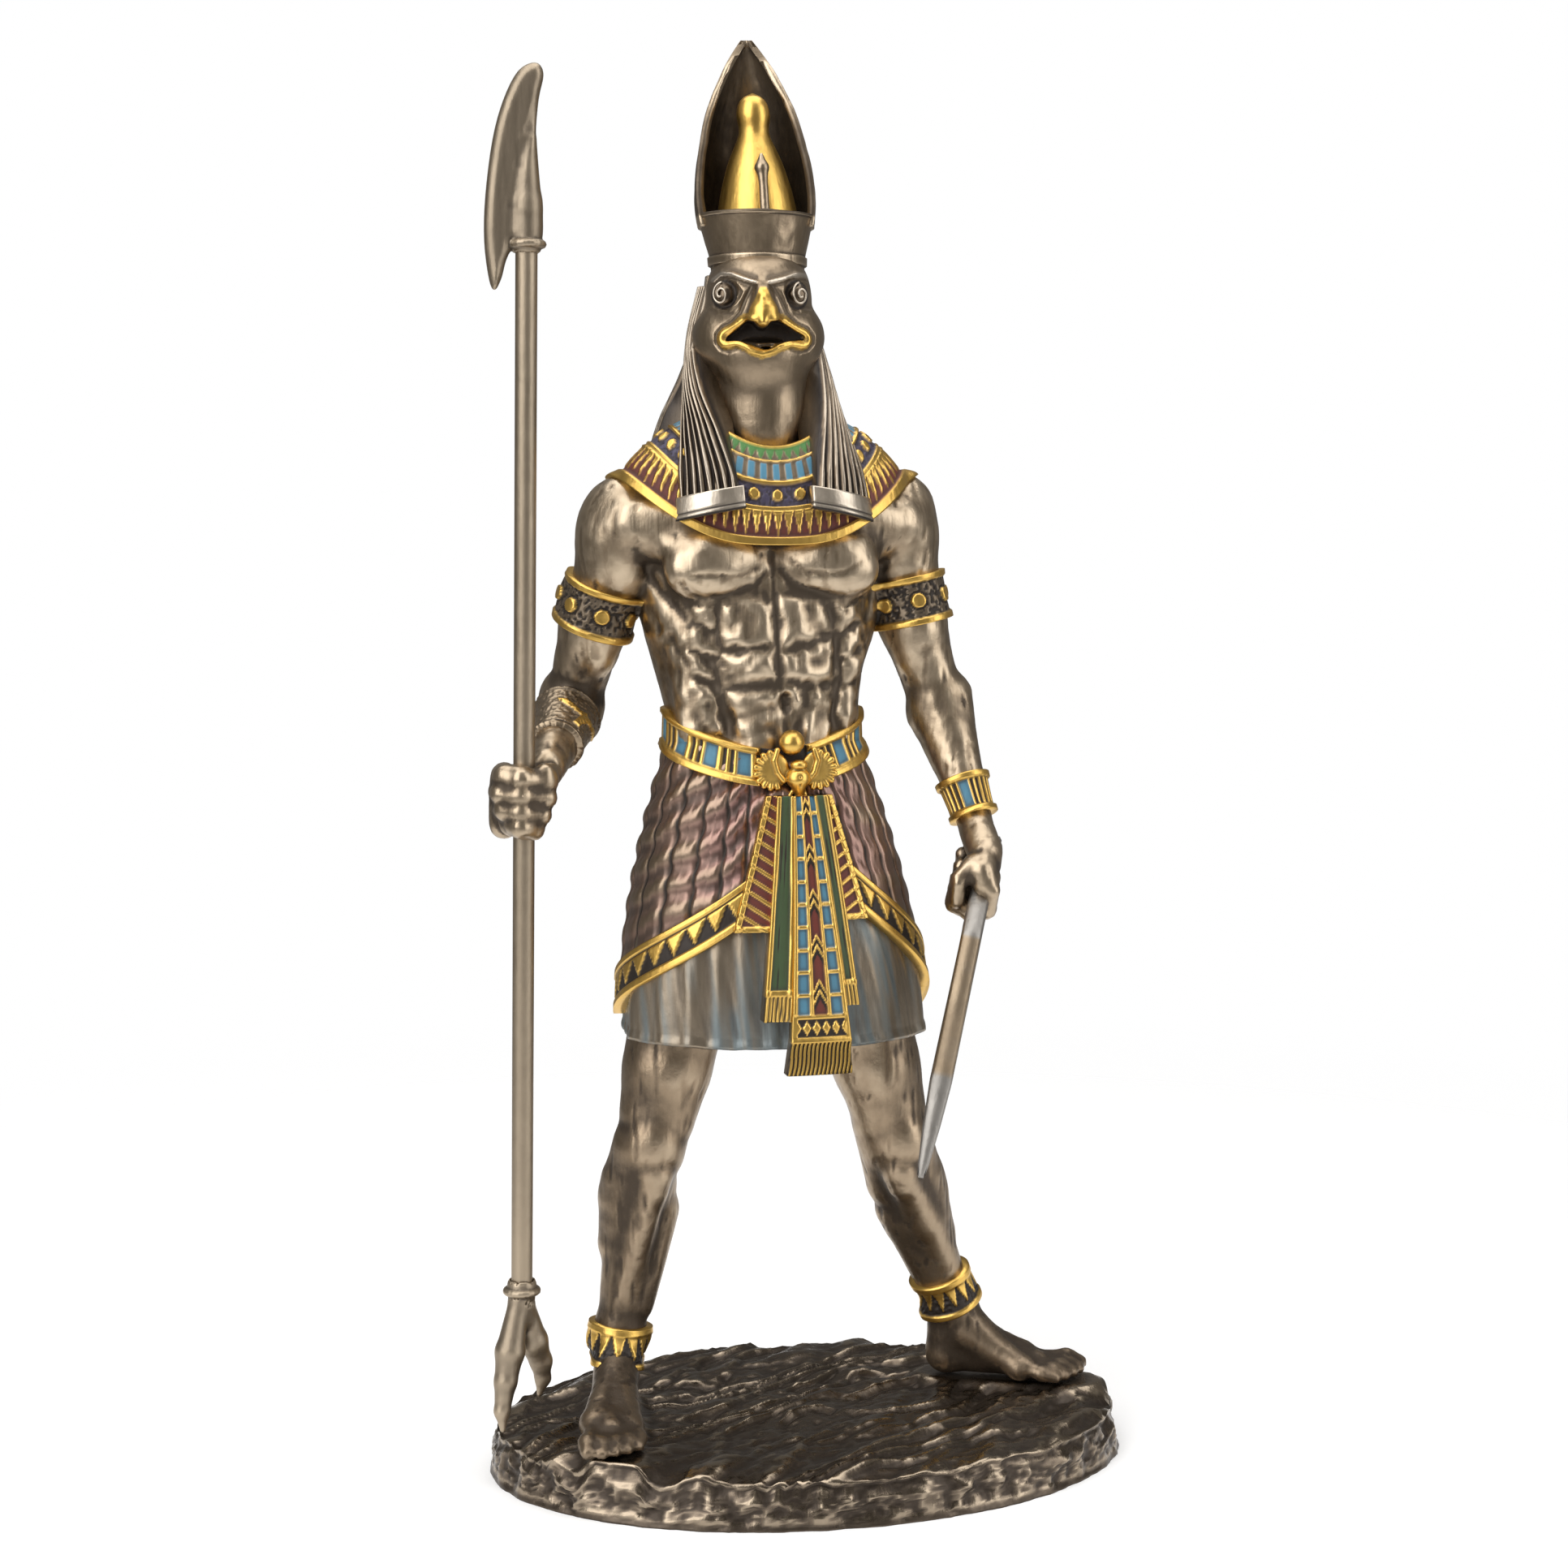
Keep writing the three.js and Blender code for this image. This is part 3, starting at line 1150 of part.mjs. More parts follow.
function forkSolid() {
  const top = shaftBottom + socketDepth;
  const centre = (high) => staffAt(high);
  const stem = limbSolid(centre(shaftBottom - 7), centre(top), 2.7, shaftRadius / unit + 1, 12);
  const rim = shaftRadius / unit + 1.5;
  const collar = limbSolid(centre(top - 1.6), centre(top - 0.2), rim, rim, 16);
  const prongs = forkProngs.flatMap(({ knee, mid, tip }) => {
    const [a, b, c] = [knee, mid, tip].map(([x, y, share]) => centre(share).add(at(x, y, 0)));
    const root = limbSolid(centre(shaftBottom), a, 2.2, 2.4, 8);
    return [root, limbSolid(a, b, 2.4, 1.6, 8), limbSolid(b, c, 1.6, 0.5, 8)];
  });
  const knot = placed(new THREE.SphereGeometry(2.8 * unit, 10, 7), centre(shaftBottom - 6));
  const fork = joined([stem, collar, ...prongs, knot]);
  const socket = shaftSolid(shaftBottom, top + 1, shaftRadius + clearance);
  return thinned(fork.subtract(socket), forkTriangles);
}

function staffHeadSolid() {
  const low = shaftTop - socketDepth;
  const share = staffHeadLength / 31.1;
  const stem = limbSolid(staffAt(low), staffAt(shaftTop + 9), shaftRadius / unit + 1, 2.6, 12);
  const rim = shaftRadius / unit + 1.5;
  const collar = limbSolid(staffAt(low + 0.2), staffAt(low + 1.6), rim, rim, 16);
  const spots = [[-2.2, -3.4], [-3.3, -5.6], [-4.2, -7.7], [-5.1, -11], [-6.4, -13.2], [-7.5, -11.2],
    [-8.4, -3.7], [-8.1, 5], [-6.6, 15.9], [-4.4, 23.7], [-1.4, 29.4], [2, 31.1], [3.6, 29], [2.6, 24],
    [2, 17], [2.4, 9], [3, 2], [2.4, -3]];
  const route = spots.map(([x, z]) => new THREE.Vector3(x, z, 0));
  const curve = new THREE.CatmullRomCurve3(route, true, 'centripetal');
  const outline = new THREE.Shape(curve.getPoints(30).slice(0, -1).map((p) => new THREE.Vector2(p.x, p.y)));
  const blade = new THREE.ExtrudeGeometry(outline, {
    depth: 2.4, bevelThickness: 1.2, bevelSize: 0.5, bevelOffset: -0.5, bevelSegments: 1,
  });
  blade.translate(0, 0, -1.2).rotateX(Math.PI / 2).scale(unit, unit, unit * share);
  const solid = joined([stem, collar, placed(blade, staffAt(shaftTop))]);
  const socket = shaftSolid(low - 1, shaftTop, shaftRadius + clearance);
  return thinned(solid.subtract(socket), staffHeadTriangles);
}

// Sword: a flat sickle blade; ahead and down are measured from the grip.
const tipStart = 40;

function swordSolid(play = 0) {
  const share = bladeReach / 63;
  const spots = [[-9.5, -6], [-7.6, -9], [8.6, 4.4], [14, 10.3], [17, 25], [17.3, 41.4], [22.2, 61.9],
    [13.6, 52], [9.2, 41], [8.4, 27], [9.6, 16], [5.6, 9.4]];
  const stretched = (down) => down * (down > 9 ? share : 1);
  const outline = new THREE.Shape(spots.map(([ahead, down]) => new THREE.Vector2(ahead, stretched(down))));
  const depth = bladeThickness - 1.6 + 2 * play;
  const blade = new THREE.ExtrudeGeometry(outline, {
    depth, bevelThickness: 0.8, bevelSize: 1, bevelOffset: play - 1, bevelSegments: 1,
  });
  blade.translate(0, 0, -depth / 2).scale(unit, unit, 1);
  const spot = blade.attributes.position;
  for (let i = 0; i < spot.count; i += 1) {
    const taper = ease(spot.getY(i) / unit, tipStart * share, 63 * share);
    spot.setZ(i, spot.getZ(i) * mix(1, 0.3, taper));
  }
  const basis = new THREE.Matrix4().makeBasis(bladeAhead, bladeDown, bladeFlat);
  blade.applyMatrix4(basis);
  return placed(blade, pose.grip.left);
}

function figureSolid() {
  const clay = bodyClay();
  const body = reduce(clay.mesh(), bodyTriangles);
  const face = reduce(headClay().mesh(), faceTriangles);
  const shaftChannel = shaftSolid(110, 160, shaftRadius + clearance);
  const pieces = [
    solidOf(body.vertices, body.triangles),
    solidOf(face.vertices, face.triangles),
    ...crownSolids(),
    ...limbBands(clay),
    collarSolid(clay),
    ...lappetSolids(),
    backHairSolid(),
    ...skirtSolids(),
    beltSolid(),
    ...apronSolids(),
    ...buckleSolids(),
  ];
  const ground = placed(new THREE.BoxGeometry(300 * unit, 200 * unit, 20 * unit), at(0, 0, -10));
  const swordChannel = swordSolid(clearance);
  const whole = joined(pieces).subtract(shaftChannel).subtract(ground).subtract(swordChannel);
  return thinned(whole, figureTriangles);
}

const bronze = { color: 0x8a7460, roughness: 0.36, metalness: 1 };
const darkBronze = { color: 0x4a3c30, roughness: 0.45, metalness: 1 };
const steel = { color: 0xa39a90, roughness: 0.3, metalness: 1 };

const standing = new THREE.Group();
standing.position.z = baseHeight + clearance;
standing.add(finished(figureSolid(), 'figure', bronze));
const shaft = shaftSolid(shaftBottom + clearance, shaftTop - clearance, shaftRadius);
standing.add(finished(shaft, 'staff_shaft', bronze));
standing.add(finished(forkSolid(), 'staff_fork', bronze));
standing.add(finished(staffHeadSolid(), 'staff_head', bronze));
standing.add(finished(swordSolid(), 'khopesh', steel));

const group = new THREE.Group();
group.add(finished(baseSolid(), 'base', darkBronze), standing);

export default group;
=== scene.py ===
import math
import bpy
import numpy as np
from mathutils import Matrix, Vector


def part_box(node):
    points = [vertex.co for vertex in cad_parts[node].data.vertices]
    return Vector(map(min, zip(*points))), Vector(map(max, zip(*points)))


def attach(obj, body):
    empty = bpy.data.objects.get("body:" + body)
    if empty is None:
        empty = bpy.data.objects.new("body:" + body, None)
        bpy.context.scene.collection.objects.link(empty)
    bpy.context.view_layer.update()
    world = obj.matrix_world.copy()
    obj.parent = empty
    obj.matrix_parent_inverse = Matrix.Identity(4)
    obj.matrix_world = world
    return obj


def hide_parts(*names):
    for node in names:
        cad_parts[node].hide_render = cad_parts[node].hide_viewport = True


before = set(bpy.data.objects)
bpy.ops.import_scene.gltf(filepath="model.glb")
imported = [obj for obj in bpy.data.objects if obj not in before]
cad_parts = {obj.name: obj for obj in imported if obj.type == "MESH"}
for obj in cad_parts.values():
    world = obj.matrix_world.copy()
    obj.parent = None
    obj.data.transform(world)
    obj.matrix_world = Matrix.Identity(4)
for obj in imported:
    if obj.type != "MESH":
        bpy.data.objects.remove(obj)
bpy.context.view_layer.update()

# Everything is worked out in millimetres and written to the meshes in metres.
mm = 0.001
clearance = 0.3
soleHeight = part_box("base")[1].z / mm + clearance
midline = -9.5


def shift(x, y, z):
    return np.array([x, y, z], float)


def at(x, y, z):
    return shift(x, y, z + soleHeight)  # z counts up from the soles


def grid(x, y, z):
    return np.stack(np.broadcast_arrays(x, y, z), -1)


def turnsRound(count):
    return np.arange(count) / count * 2 * math.pi


def mix(a, b, t):
    return a + (b - a) * t


def ease(x, low, high):
    t = np.clip((x - low) / (high - low), 0, 1)
    return t * t * (3 - 2 * t)


def unit(v):
    return v / np.linalg.norm(v, axis=-1, keepdims=True)


def spin(tilt, roll, turn):
    ca, cb, cc = (math.cos(math.radians(a)) for a in (tilt, roll, turn))
    sa, sb, sc = (math.sin(math.radians(a)) for a in (tilt, roll, turn))
    aboutX = np.array([[1, 0, 0], [0, ca, -sa], [0, sa, ca]])
    aboutY = np.array([[cb, 0, sb], [0, 1, 0], [-sb, 0, cb]])
    aboutZ = np.array([[cc, -sc, 0], [sc, cc, 0], [0, 0, 1]])
    return aboutZ @ aboutY @ aboutX


noiseTable = np.random.default_rng(7).random((32, 32, 32))
corners = np.array([[c & 1, c >> 1 & 1, c >> 2 & 1] for c in range(8)])


def amongCells(table, cell, f):
    # Blends the eight cells round each place; f is the share of the way across.
    total = 0
    for step in corners:
        i, j, k = np.moveaxis((cell + step) % table.shape, -1, 0)
        total = total + np.prod(np.where(step, f, 1 - f), axis=-1) * table[i, j, k]
    return total


def noise(points, scale, seed=0):
    # Smooth value noise from 0 to 1 on a table that repeats.
    q = points / scale + seed * 7.31
    cell = np.floor(q).astype(int)
    f = q - cell
    return amongCells(noiseTable, cell, f * f * (3 - 2 * f))


# Soft shapes: the box each one reaches and the distance to its skin.
def limb(start, end, startRadius, endRadius=None):
    endRadius = startRadius if endRadius is None else endRadius
    reach = max(startRadius, endRadius)
    along = end - start
    length2 = along @ along

    def distance(x, y, z):
        px, py, pz = x - start[0], y - start[1], z - start[2]
        t = np.clip((px * along[0] + py * along[1] + pz * along[2]) / length2, 0, 1)
        px, py, pz = px - t * along[0], py - t * along[1], pz - t * along[2]
        return np.sqrt(px ** 2 + py ** 2 + pz ** 2) - mix(startRadius, endRadius, t)

    return np.minimum(start, end) - reach, np.maximum(start, end) + reach, distance


def chain(spots, radius):
    return [limb(a, b, radius) for a, b in zip(spots, spots[1:])]


def egg(centre, rx, ry, rz, tilt=0, turn=0, roll=0):
    m = spin(tilt, roll, turn)
    reach = max(rx, ry, rz)

    def distance(x, y, z):
        px, py, pz = x - centre[0], y - centre[1], z - centre[2]
        u = (m[0, 0] * px + m[1, 0] * py + m[2, 0] * pz) / rx
        v = (m[0, 1] * px + m[1, 1] * py + m[2, 1] * pz) / ry
        w = (m[0, 2] * px + m[1, 2] * py + m[2, 2] * pz) / rz
        near = np.sqrt(u * u + v * v + w * w)
        slope = np.sqrt((u / rx) ** 2 + (v / ry) ** 2 + (w / rz) ** 2)
        return near * (near - 1) / np.maximum(slope, 1e-6)

    return centre - reach, centre + reach, distance


def softMin(a, b, k):
    h = np.maximum(k - np.abs(a - b), 0) / k
    return np.minimum(a, b) - h * h * k * 0.25


def distanceTo(shapes, points):
    x, y, z = points[..., 0], points[..., 1], points[..., 2]
    return np.min([shape[2](x, y, z) for shape in shapes], axis=0)


def wayTo(a, b, x, z):
    # The way in the x, z plane from the nearest spot of a straight line.
    ex, ez = b[0] - a[0], b[1] - a[1]
    t = np.clip(((x - a[0]) * ex + (z - a[1]) * ez) / (ex * ex + ez * ez), 0, 1)
    return x - a[0] - t * ex, z - a[1] - t * ez


def outlineDistance(outline, x, z):
    # Signed distance to a closed outline in the x, z plane, negative inside.
    corner = np.asarray(outline, float)
    best = np.full(np.broadcast(x, z).shape, 1e9)
    inside = np.zeros(best.shape, bool)
    for a, b in zip(corner, np.roll(corner, -1, 0)):
        px, pz = wayTo(a, b, x, z)
        best = np.minimum(best, px ** 2 + pz ** 2)
        if b[1] != a[1]:
            crosses = (a[1] > z) != (b[1] > z)
            inside ^= crosses & (x - a[0] < (b[0] - a[0]) * (z - a[1]) / (b[1] - a[1]))
    return np.where(inside, -1, 1) * np.sqrt(best)


def strokeDistance(path, x, z):
    # Distance in the x, z plane to an open line of spots.
    best = np.full(np.shape(x), 1e9)
    for a, b in zip(path, path[1:]):
        best = np.minimum(best, np.hypot(*wayTo(a, b, x, z)))
    return best


def pairs(make):
    return [shape for side in (-1, 1) for shape in make(side)]


class Clay:
    # A block of space that holds the distance to a body blended from soft shapes.
    def __init__(self, low, high, cell):
        self.low = np.array(low, float)
        self.cell = cell
        size = np.ceil((np.array(high) - self.low) / cell).astype(int) + 1
        self.values = np.full(size, 20.0, np.float32)

    def visit(self, shape, margin, change):
        shapeLow, shapeHigh, distance = shape
        size = np.array(self.values.shape)
        a = np.clip(np.floor((shapeLow - margin - self.low) / self.cell).astype(int), 0, size)
        b = np.clip(np.ceil((shapeHigh + margin - self.low) / self.cell).astype(int) + 1, 0, size)
        if (b <= a).any():
            return
        x, y, z = (self.low[n] + self.cell * np.arange(a[n], b[n]) for n in range(3))
        d = distance(x[:, None, None], y[None, :, None], z[None, None, :]).astype(np.float32)
        block = (slice(a[0], b[0]), slice(a[1], b[1]), slice(a[2], b[2]))
        self.values[block] = change(self.values[block], d)

    def blend(self, shapes, softness):
        for shape in shapes:
            self.visit(shape, softness + 3, lambda old, d: softMin(old, d, softness))

    def carve(self, shapes, softness):
        for shape in shapes:
            self.visit(shape, softness + 1, lambda old, d: -softMin(-old, d, softness))

    def sample(self, points):
        q = np.clip((points - self.low) / self.cell, 0, np.array(self.values.shape) - 1.001)
        cell = np.floor(q).astype(int)
        return amongCells(self.values, cell, q - cell)

    def reach(self, starts, directions, furthest, step=0.3):
        # Distance along each ray at which it leaves the body.
        starts, directions = np.broadcast_arrays(starts, directions)
        found = np.full(starts.shape[:-1], float(furthest))
        within = np.ones(found.shape, bool)
        before = self.sample(starts)
        for away in np.arange(step, furthest, step):
            value = self.sample(starts + directions * away)
            leaves = within & (value > 0)
            share = before / np.where(np.abs(before - value) < 1e-6, 1e-6, before - value)
            found[leaves] = (away - step + step * np.clip(share, 0, 1))[leaves]
            within &= ~leaves
            before = value
        return found

    def skin(self, top=None):
        # Surface nets: one point for each cell that the skin passes through.
        values = self.values
        if top is not None:
            values = values[:, :, :int((top + soleHeight - self.low[2]) / self.cell)].copy()
            values[:, :, [0, -1]] = np.maximum(values[:, :, [0, -1]], 0.2)
        inside = values < 0
        nx, ny, nz = (n - 1 for n in inside.shape)
        count = sum(inside[i:i + nx, j:j + ny, k:k + nz].astype(np.int8) for i, j, k in corners)
        active = (count > 0) & (count < 8)
        cells = np.argwhere(active)
        number = np.full(active.shape, -1, np.int64)
        number[active] = np.arange(len(cells))
        corner = [values[tuple((cells + c).T)] for c in corners]
        total = np.zeros((len(cells), 3))
        hits = np.zeros(len(cells))
        for m in range(8):
            for n in range(m + 1, 8):
                if np.abs(corners[m] - corners[n]).sum() != 1:
                    continue
                cross = (corner[m] < 0) != (corner[n] < 0)
                t = np.where(cross, corner[m] / np.where(cross, corner[m] - corner[n], 1), 0)
                total += cross[:, None] * (corners[m] + t[:, None] * (corners[n] - corners[m]))
                hits += cross
        points = self.low + self.cell * (cells + total / hits[:, None])
        quads = []
        for axis in range(3):
            solid = np.moveaxis(inside, axis, 0)
            named = np.moveaxis(number, axis, 0)
            a, b, c = np.nonzero((solid[:-1] != solid[1:])[:, 1:-1, 1:-1])
            b, c = b + 1, c + 1
            around = ((b - 1, c - 1), (b, c - 1), (b, c), (b - 1, c))
            ring = np.stack([named[a, row, column] for row, column in around], 1)
            back = solid[a, b, c] ^ (axis == 1)
            ring[~back] = ring[~back][:, ::-1]
            quads.append(ring)
        return points, np.concatenate(quads)


# Grids: rows of closed rings, open at both ends, closed by fans or joined up.
def wall(rows, count, joined=False):
    row, i = np.meshgrid(np.arange(rows if joined else rows - 1), np.arange(count), indexing="ij")
    after = (row + 1) % rows * count
    here = row * count
    nextOne = (i + 1) % count
    return np.stack([here + i, here + nextOne, after + nextOne, after + i], -1).reshape(-1, 4)


def loft(rings):
    rows, count = rings.shape[:2]
    points = rings.reshape(-1, 3)
    faces = [tuple(f) for f in wall(rows, count).tolist()]
    for row, flip in ((0, True), (rows - 1, False)):
        hub = len(points)
        points = np.vstack([points, rings[row].mean(0)])
        for i in range(count):
            a, b = row * count + i, row * count + (i + 1) % count
            faces.append((b, a, hub) if flip else (a, b, hub))
    return points, faces


def paintedLoft(rings, paint):
    # The two closing points take the paint of the first and the last point.
    flat = paint.reshape(-1, 4)
    return (*loft(rings), np.vstack([flat, flat[:1], flat[-1:]]))


def paintedBand(hidden, rings, paint):
    # Rows joined up behind by two hidden rows, which take the paint of the edges.
    rings = np.concatenate([hidden[:1], rings, hidden[1:]])
    rows, count = rings.shape[:2]
    paint = np.concatenate([paint[:1], paint, paint[-1:]])
    return rings.reshape(-1, 3), wall(rows, count, joined=True), paint.reshape(-1, 4)


def smoothGrid(values, times):
    # Evens out a grid down its rows (open) and round its columns (closed).
    for _ in range(times):
        down = np.pad(values, ((1, 1), (0, 0)), mode="edge")
        values = (down[:-2] + 2 * values + down[2:]) / 4
        values = (np.roll(values, 1, 1) + 2 * values + np.roll(values, -1, 1)) / 4
    return values


def trianglesOf(faces):
    out = []
    for size in (3, 4):
        rows = np.array([f for f in faces if len(f) == size])
        if len(rows):
            out += [rows[:, [0, n, n + 1]] for n in range(1, size - 1)]
    return np.concatenate(out)


def normalsOf(points, tri):
    cross = np.cross(points[tri[:, 1]] - points[tri[:, 0]], points[tri[:, 2]] - points[tri[:, 0]])
    n = len(points)
    normal = np.stack([sum(np.bincount(tri[:, c], cross[:, a], n) for c in range(3)) for a in range(3)], 1)
    return normal / (np.linalg.norm(normal, axis=1, keepdims=True) + 1e-12)


def hollowOf(points, tri, scales):
    # How deep each point lies below its surroundings, from -1 to 1, over a few spans.
    n = len(points)
    normal = normalsOf(points, tri)
    ends = np.concatenate([tri[:, [0, 1]], tri[:, [1, 2]], tri[:, [2, 0]]])
    degree = np.bincount(ends[:, 0], minlength=n) + np.bincount(ends[:, 1], minlength=n) + 1e-9
    even, hollow, done = points, 0, 0
    for rounds, depth in scales:
        for _ in range(rounds - done):
            total = np.stack([
                np.bincount(ends[:, 0], even[ends[:, 1], a], n)
                + np.bincount(ends[:, 1], even[ends[:, 0], a], n) for a in range(3)], 1)
            even = (even + total / degree[:, None]) / 2
        done = rounds
        hollow = hollow + np.clip(((even - points) * normal).sum(1) / depth, -1, 1)
    return np.clip(hollow, -1, 1)


def handWorked(points, faces, amounts, strokes=0.0):
    # Uneven, as modelled by hand: a few sizes of soft noise, and strokes that run down.
    normal = normalsOf(points, trianglesOf(faces))
    push = sum(depth * (noise(points, size, seed) - 0.5) for seed, (size, depth) in enumerate(amounts))
    drawn = noise(points * [1, 1, 0.22], 1.1, 17)
    push = push - strokes * ease(drawn, 0.62, 0.9)
    return points + normal * push[:, None]


def curve(x, spots):
    # A smooth curve through [x, y, ...] spots.
    table = np.array(spots, float)
    xs, ys = table[:, 0], table[:, 1:]
    slope = np.gradient(ys, xs, axis=0)
    x = np.clip(x, xs[0], xs[-1])
    i = np.clip(np.searchsorted(xs, x) - 1, 0, len(xs) - 2)
    h = (xs[i + 1] - xs[i])[..., None]
    t = (x - xs[i])[..., None] / h
    start = (2 * t ** 3 - 3 * t ** 2 + 1) * ys[i] + (t ** 3 - 2 * t ** 2 + t) * h * slope[i]
    end = (3 * t ** 2 - 2 * t ** 3) * ys[i + 1] + (t ** 3 - t ** 2) * h * slope[i + 1]
    return np.squeeze(start + end)


def shares(ring):
    # Share of the way round at which each point of a closed ring lies.
    steps = np.linalg.norm(np.roll(ring, -1, 0) - ring, axis=1)
    return np.concatenate([[0], np.cumsum(steps)])[:-1] / steps.sum(), steps.sum()


def evenTurns(ringAt, count, start=0.0):
    # Angles at which points round a ring lie evenly spaced.
    dense = np.linspace(0, 2 * math.pi, 2001)[:-1] + start
    share, length = shares(ringAt(dense))
    places, angles = np.append(share, 1), np.append(dense, start + 2 * math.pi)
    return np.interp(np.arange(count) / count, places, angles), length


def fromTo(low, high, step):
    return np.linspace(low, high, max(2, int(round(abs(high - low) / step)) + 1))


def tube(path, radius, sides=10):
    path = np.asarray(path, float)
    along = unit(np.gradient(path, axis=0))
    side = np.cross(along[0], [0.3, 0.9, 0.31])
    rings = []
    for p, w, r in zip(path, along, np.broadcast_to(radius, len(path))):
        side = unit(side - w * (side @ w))
        up = np.cross(w, side)
        a = turnsRound(sides)
        rings.append(p + r * (np.cos(a)[:, None] * side + np.sin(a)[:, None] * up))
    return loft(np.array(rings))


def together(parts):
    points, faces, start = [], [], 0
    for p, f in parts:
        points.append(p)
        faces += [tuple(i + start for i in face) for face in f]
        start += len(p)
    return np.concatenate(points), faces


def joined(parts):
    points, faces = together([part[:2] for part in parts])
    return points, faces, np.concatenate([part[2] for part in parts])


# Relief: a raised pattern and its paint on a grid, laid on in layers.
palette = {
    "bronze": (0.33, 0.255, 0.175),
    "gold": (0.74, 0.47, 0.12),
    "silver": (0.62, 0.54, 0.44),
    "dark": (0.035, 0.028, 0.024),
    "purple": (0.065, 0.055, 0.095),
    "blue": (0.08, 0.235, 0.34),
    "slate": (0.165, 0.192, 0.195),
    "green": (0.052, 0.09, 0.036),
    "leaf": (0.075, 0.21, 0.055),
    "red": (0.17, 0.036, 0.026),
    "plum": (0.27, 0.145, 0.135),
    "steel": (0.33, 0.31, 0.285),
    "umber": (0.15, 0.115, 0.082),
    "lock": (0.45, 0.38, 0.30),
}
# How metallic each enamel is; a colour that isn't named here is bare metal.
enamel = {
    "blue": 0.1, "green": 0.2, "leaf": 0.15, "red": 0.3, "purple": 0.3, "dark": 0.6, "slate": 0.5,
    "plum": 0.9,
}


class Relief:
    def __init__(self, shape, colour):
        self.lift = np.zeros(shape)
        self.paint = np.broadcast_to(self.mixed(colour), tuple(shape) + (4,)).copy()

    def mixed(self, colour):
        return np.array([*palette[colour], enamel.get(colour, 1.0)])

    def tint(self, share, colour):
        self.paint = mix(self.paint, self.mixed(colour), share[..., None])

    def lay(self, mask, colour=None, lift=0.0):
        self.lift = self.lift + lift * mask
        if colour is not None:
            self.tint(ease(mask, 0.3, 0.7), colour)

    def press(self, mask, colour, height):
        # Sets the height itself instead of adding to it.
        self.lift = mix(self.lift, height, np.clip(mask, 0, 1))
        self.lay(mask, colour)


def strip(v, low, high, soft=0.12):
    return ease(v, low - soft, low + soft) * (1 - ease(v, high - soft, high + soft))


def offCentre(u, pitch):
    return np.abs((u / pitch) % 1 - 0.5) * pitch  # distance to the middle of the nearest repeat


def bars(u, pitch, width, soft=0.12):
    return 1 - ease(offCentre(u, pitch), width / 2 - soft, width / 2 + soft)


def teeth(u, v, pitch, foot, tip, soft=0.12):
    half = (pitch / 2 - 0.1) * np.clip((tip - v) / (tip - foot), 0, 1)
    low, high = min(foot, tip), max(foot, tip)
    return (1 - ease(offCentre(u, pitch), half - soft, half + soft)) * strip(v, low, high, soft)


# Shader maths: a socket with the usual operators.
class Value:
    def __init__(self, shader, socket):
        self.shader = shader
        self.socket = socket

    def sum(self, operation, other, clamp=False):
        settings = {"operation": operation, "use_clamp": clamp}
        return self.shader.node("ShaderNodeMath", settings, {0: self, 1: other})

    def __add__(self, other):
        return self.sum("ADD", other)

    def __mul__(self, other):
        return self.sum("MULTIPLY", other)

    def __sub__(self, other):
        return self.sum("SUBTRACT", other)

    def __rsub__(self, other):
        return (self * -1) + other

    __radd__ = __add__
    __rmul__ = __mul__

    def clamped(self):
        return self.sum("ADD", 0, clamp=True)

    def between(self, low, high):
        # 0 below low, 1 above high, smooth between them
        settings = {"interpolation_type": "SMOOTHSTEP"}
        inputs = {"Value": self, "From Min": low, "From Max": high}
        return self.shader.node("ShaderNodeMapRange", settings, inputs)


class Shader:
    def __init__(self, owner):
        # The owner is a new material or world.
        owner.use_nodes = True
        self.owner = owner
        self.tree = owner.node_tree

    def node(self, kind, settings=None, inputs=None, output=0):
        made = self.tree.nodes.new(kind)
        for key, value in (settings or {}).items():
            setattr(made, key, value)
        for key, value in (inputs or {}).items():
            self.plug(made.inputs[key], value)
        return Value(self, made.outputs[output])

    def plug(self, socket, value):
        if isinstance(value, Value):
            self.tree.links.new(value.socket, socket)
        elif isinstance(value, tuple) and len(value) == 3 and socket.type == "RGBA":
            socket.default_value = (*value, 1)
        else:
            socket.default_value = value

    def set(self, **values):
        surface = self.tree.nodes["Principled BSDF"]
        for key, value in values.items():
            words = "".join(" " + c if c.isupper() else c for c in key).title()
            self.plug(surface.inputs[words], value)

    def attribute(self, name, output="Fac"):
        return self.node("ShaderNodeAttribute", {"attribute_name": name}, output=output)

    def place(self, scale=(1, 1, 1), turn=(0, 0, 0)):
        where = self.node("ShaderNodeTexCoord", output=3)
        return self.node("ShaderNodeMapping", {}, {0: where, 2: turn, 3: scale})

    def grain(self, scale, detail, roughness=0.5, at=None):
        inputs = {"Vector": at or self.place(), "Scale": scale, "Detail": detail, "Roughness": roughness}
        return self.node("ShaderNodeTexNoise", {}, inputs)

    def blend(self, share, a, b):
        return self.node("ShaderNodeMix", {"data_type": "RGBA"}, {0: share, 6: a, 7: b}, output=2)

    def bump(self, height, strength, distance):
        return self.node("ShaderNodeBump", {}, {"Height": height, "Strength": strength, "Distance": distance})


# Worn is how much the ridges shine; the shares say what carries the patina.
castLook = {
    "polished": (0.74, 0.605, 0.44), "patina": (0.030, 0.021, 0.015), "worn": 0.5, "dark": 0.5,
    "shine": 0.34, "dull": 0.5, "mottle": 260, "tone": 70, "scratch": 900,
    "hollowShare": 0.72, "darkeningShare": 0.8, "toneShare": 0.35, "mottleShare": 0.55, "scratchShare": 0.25,
    "bumpStrength": 0.4, "bumpDepth": 0.0003,
}


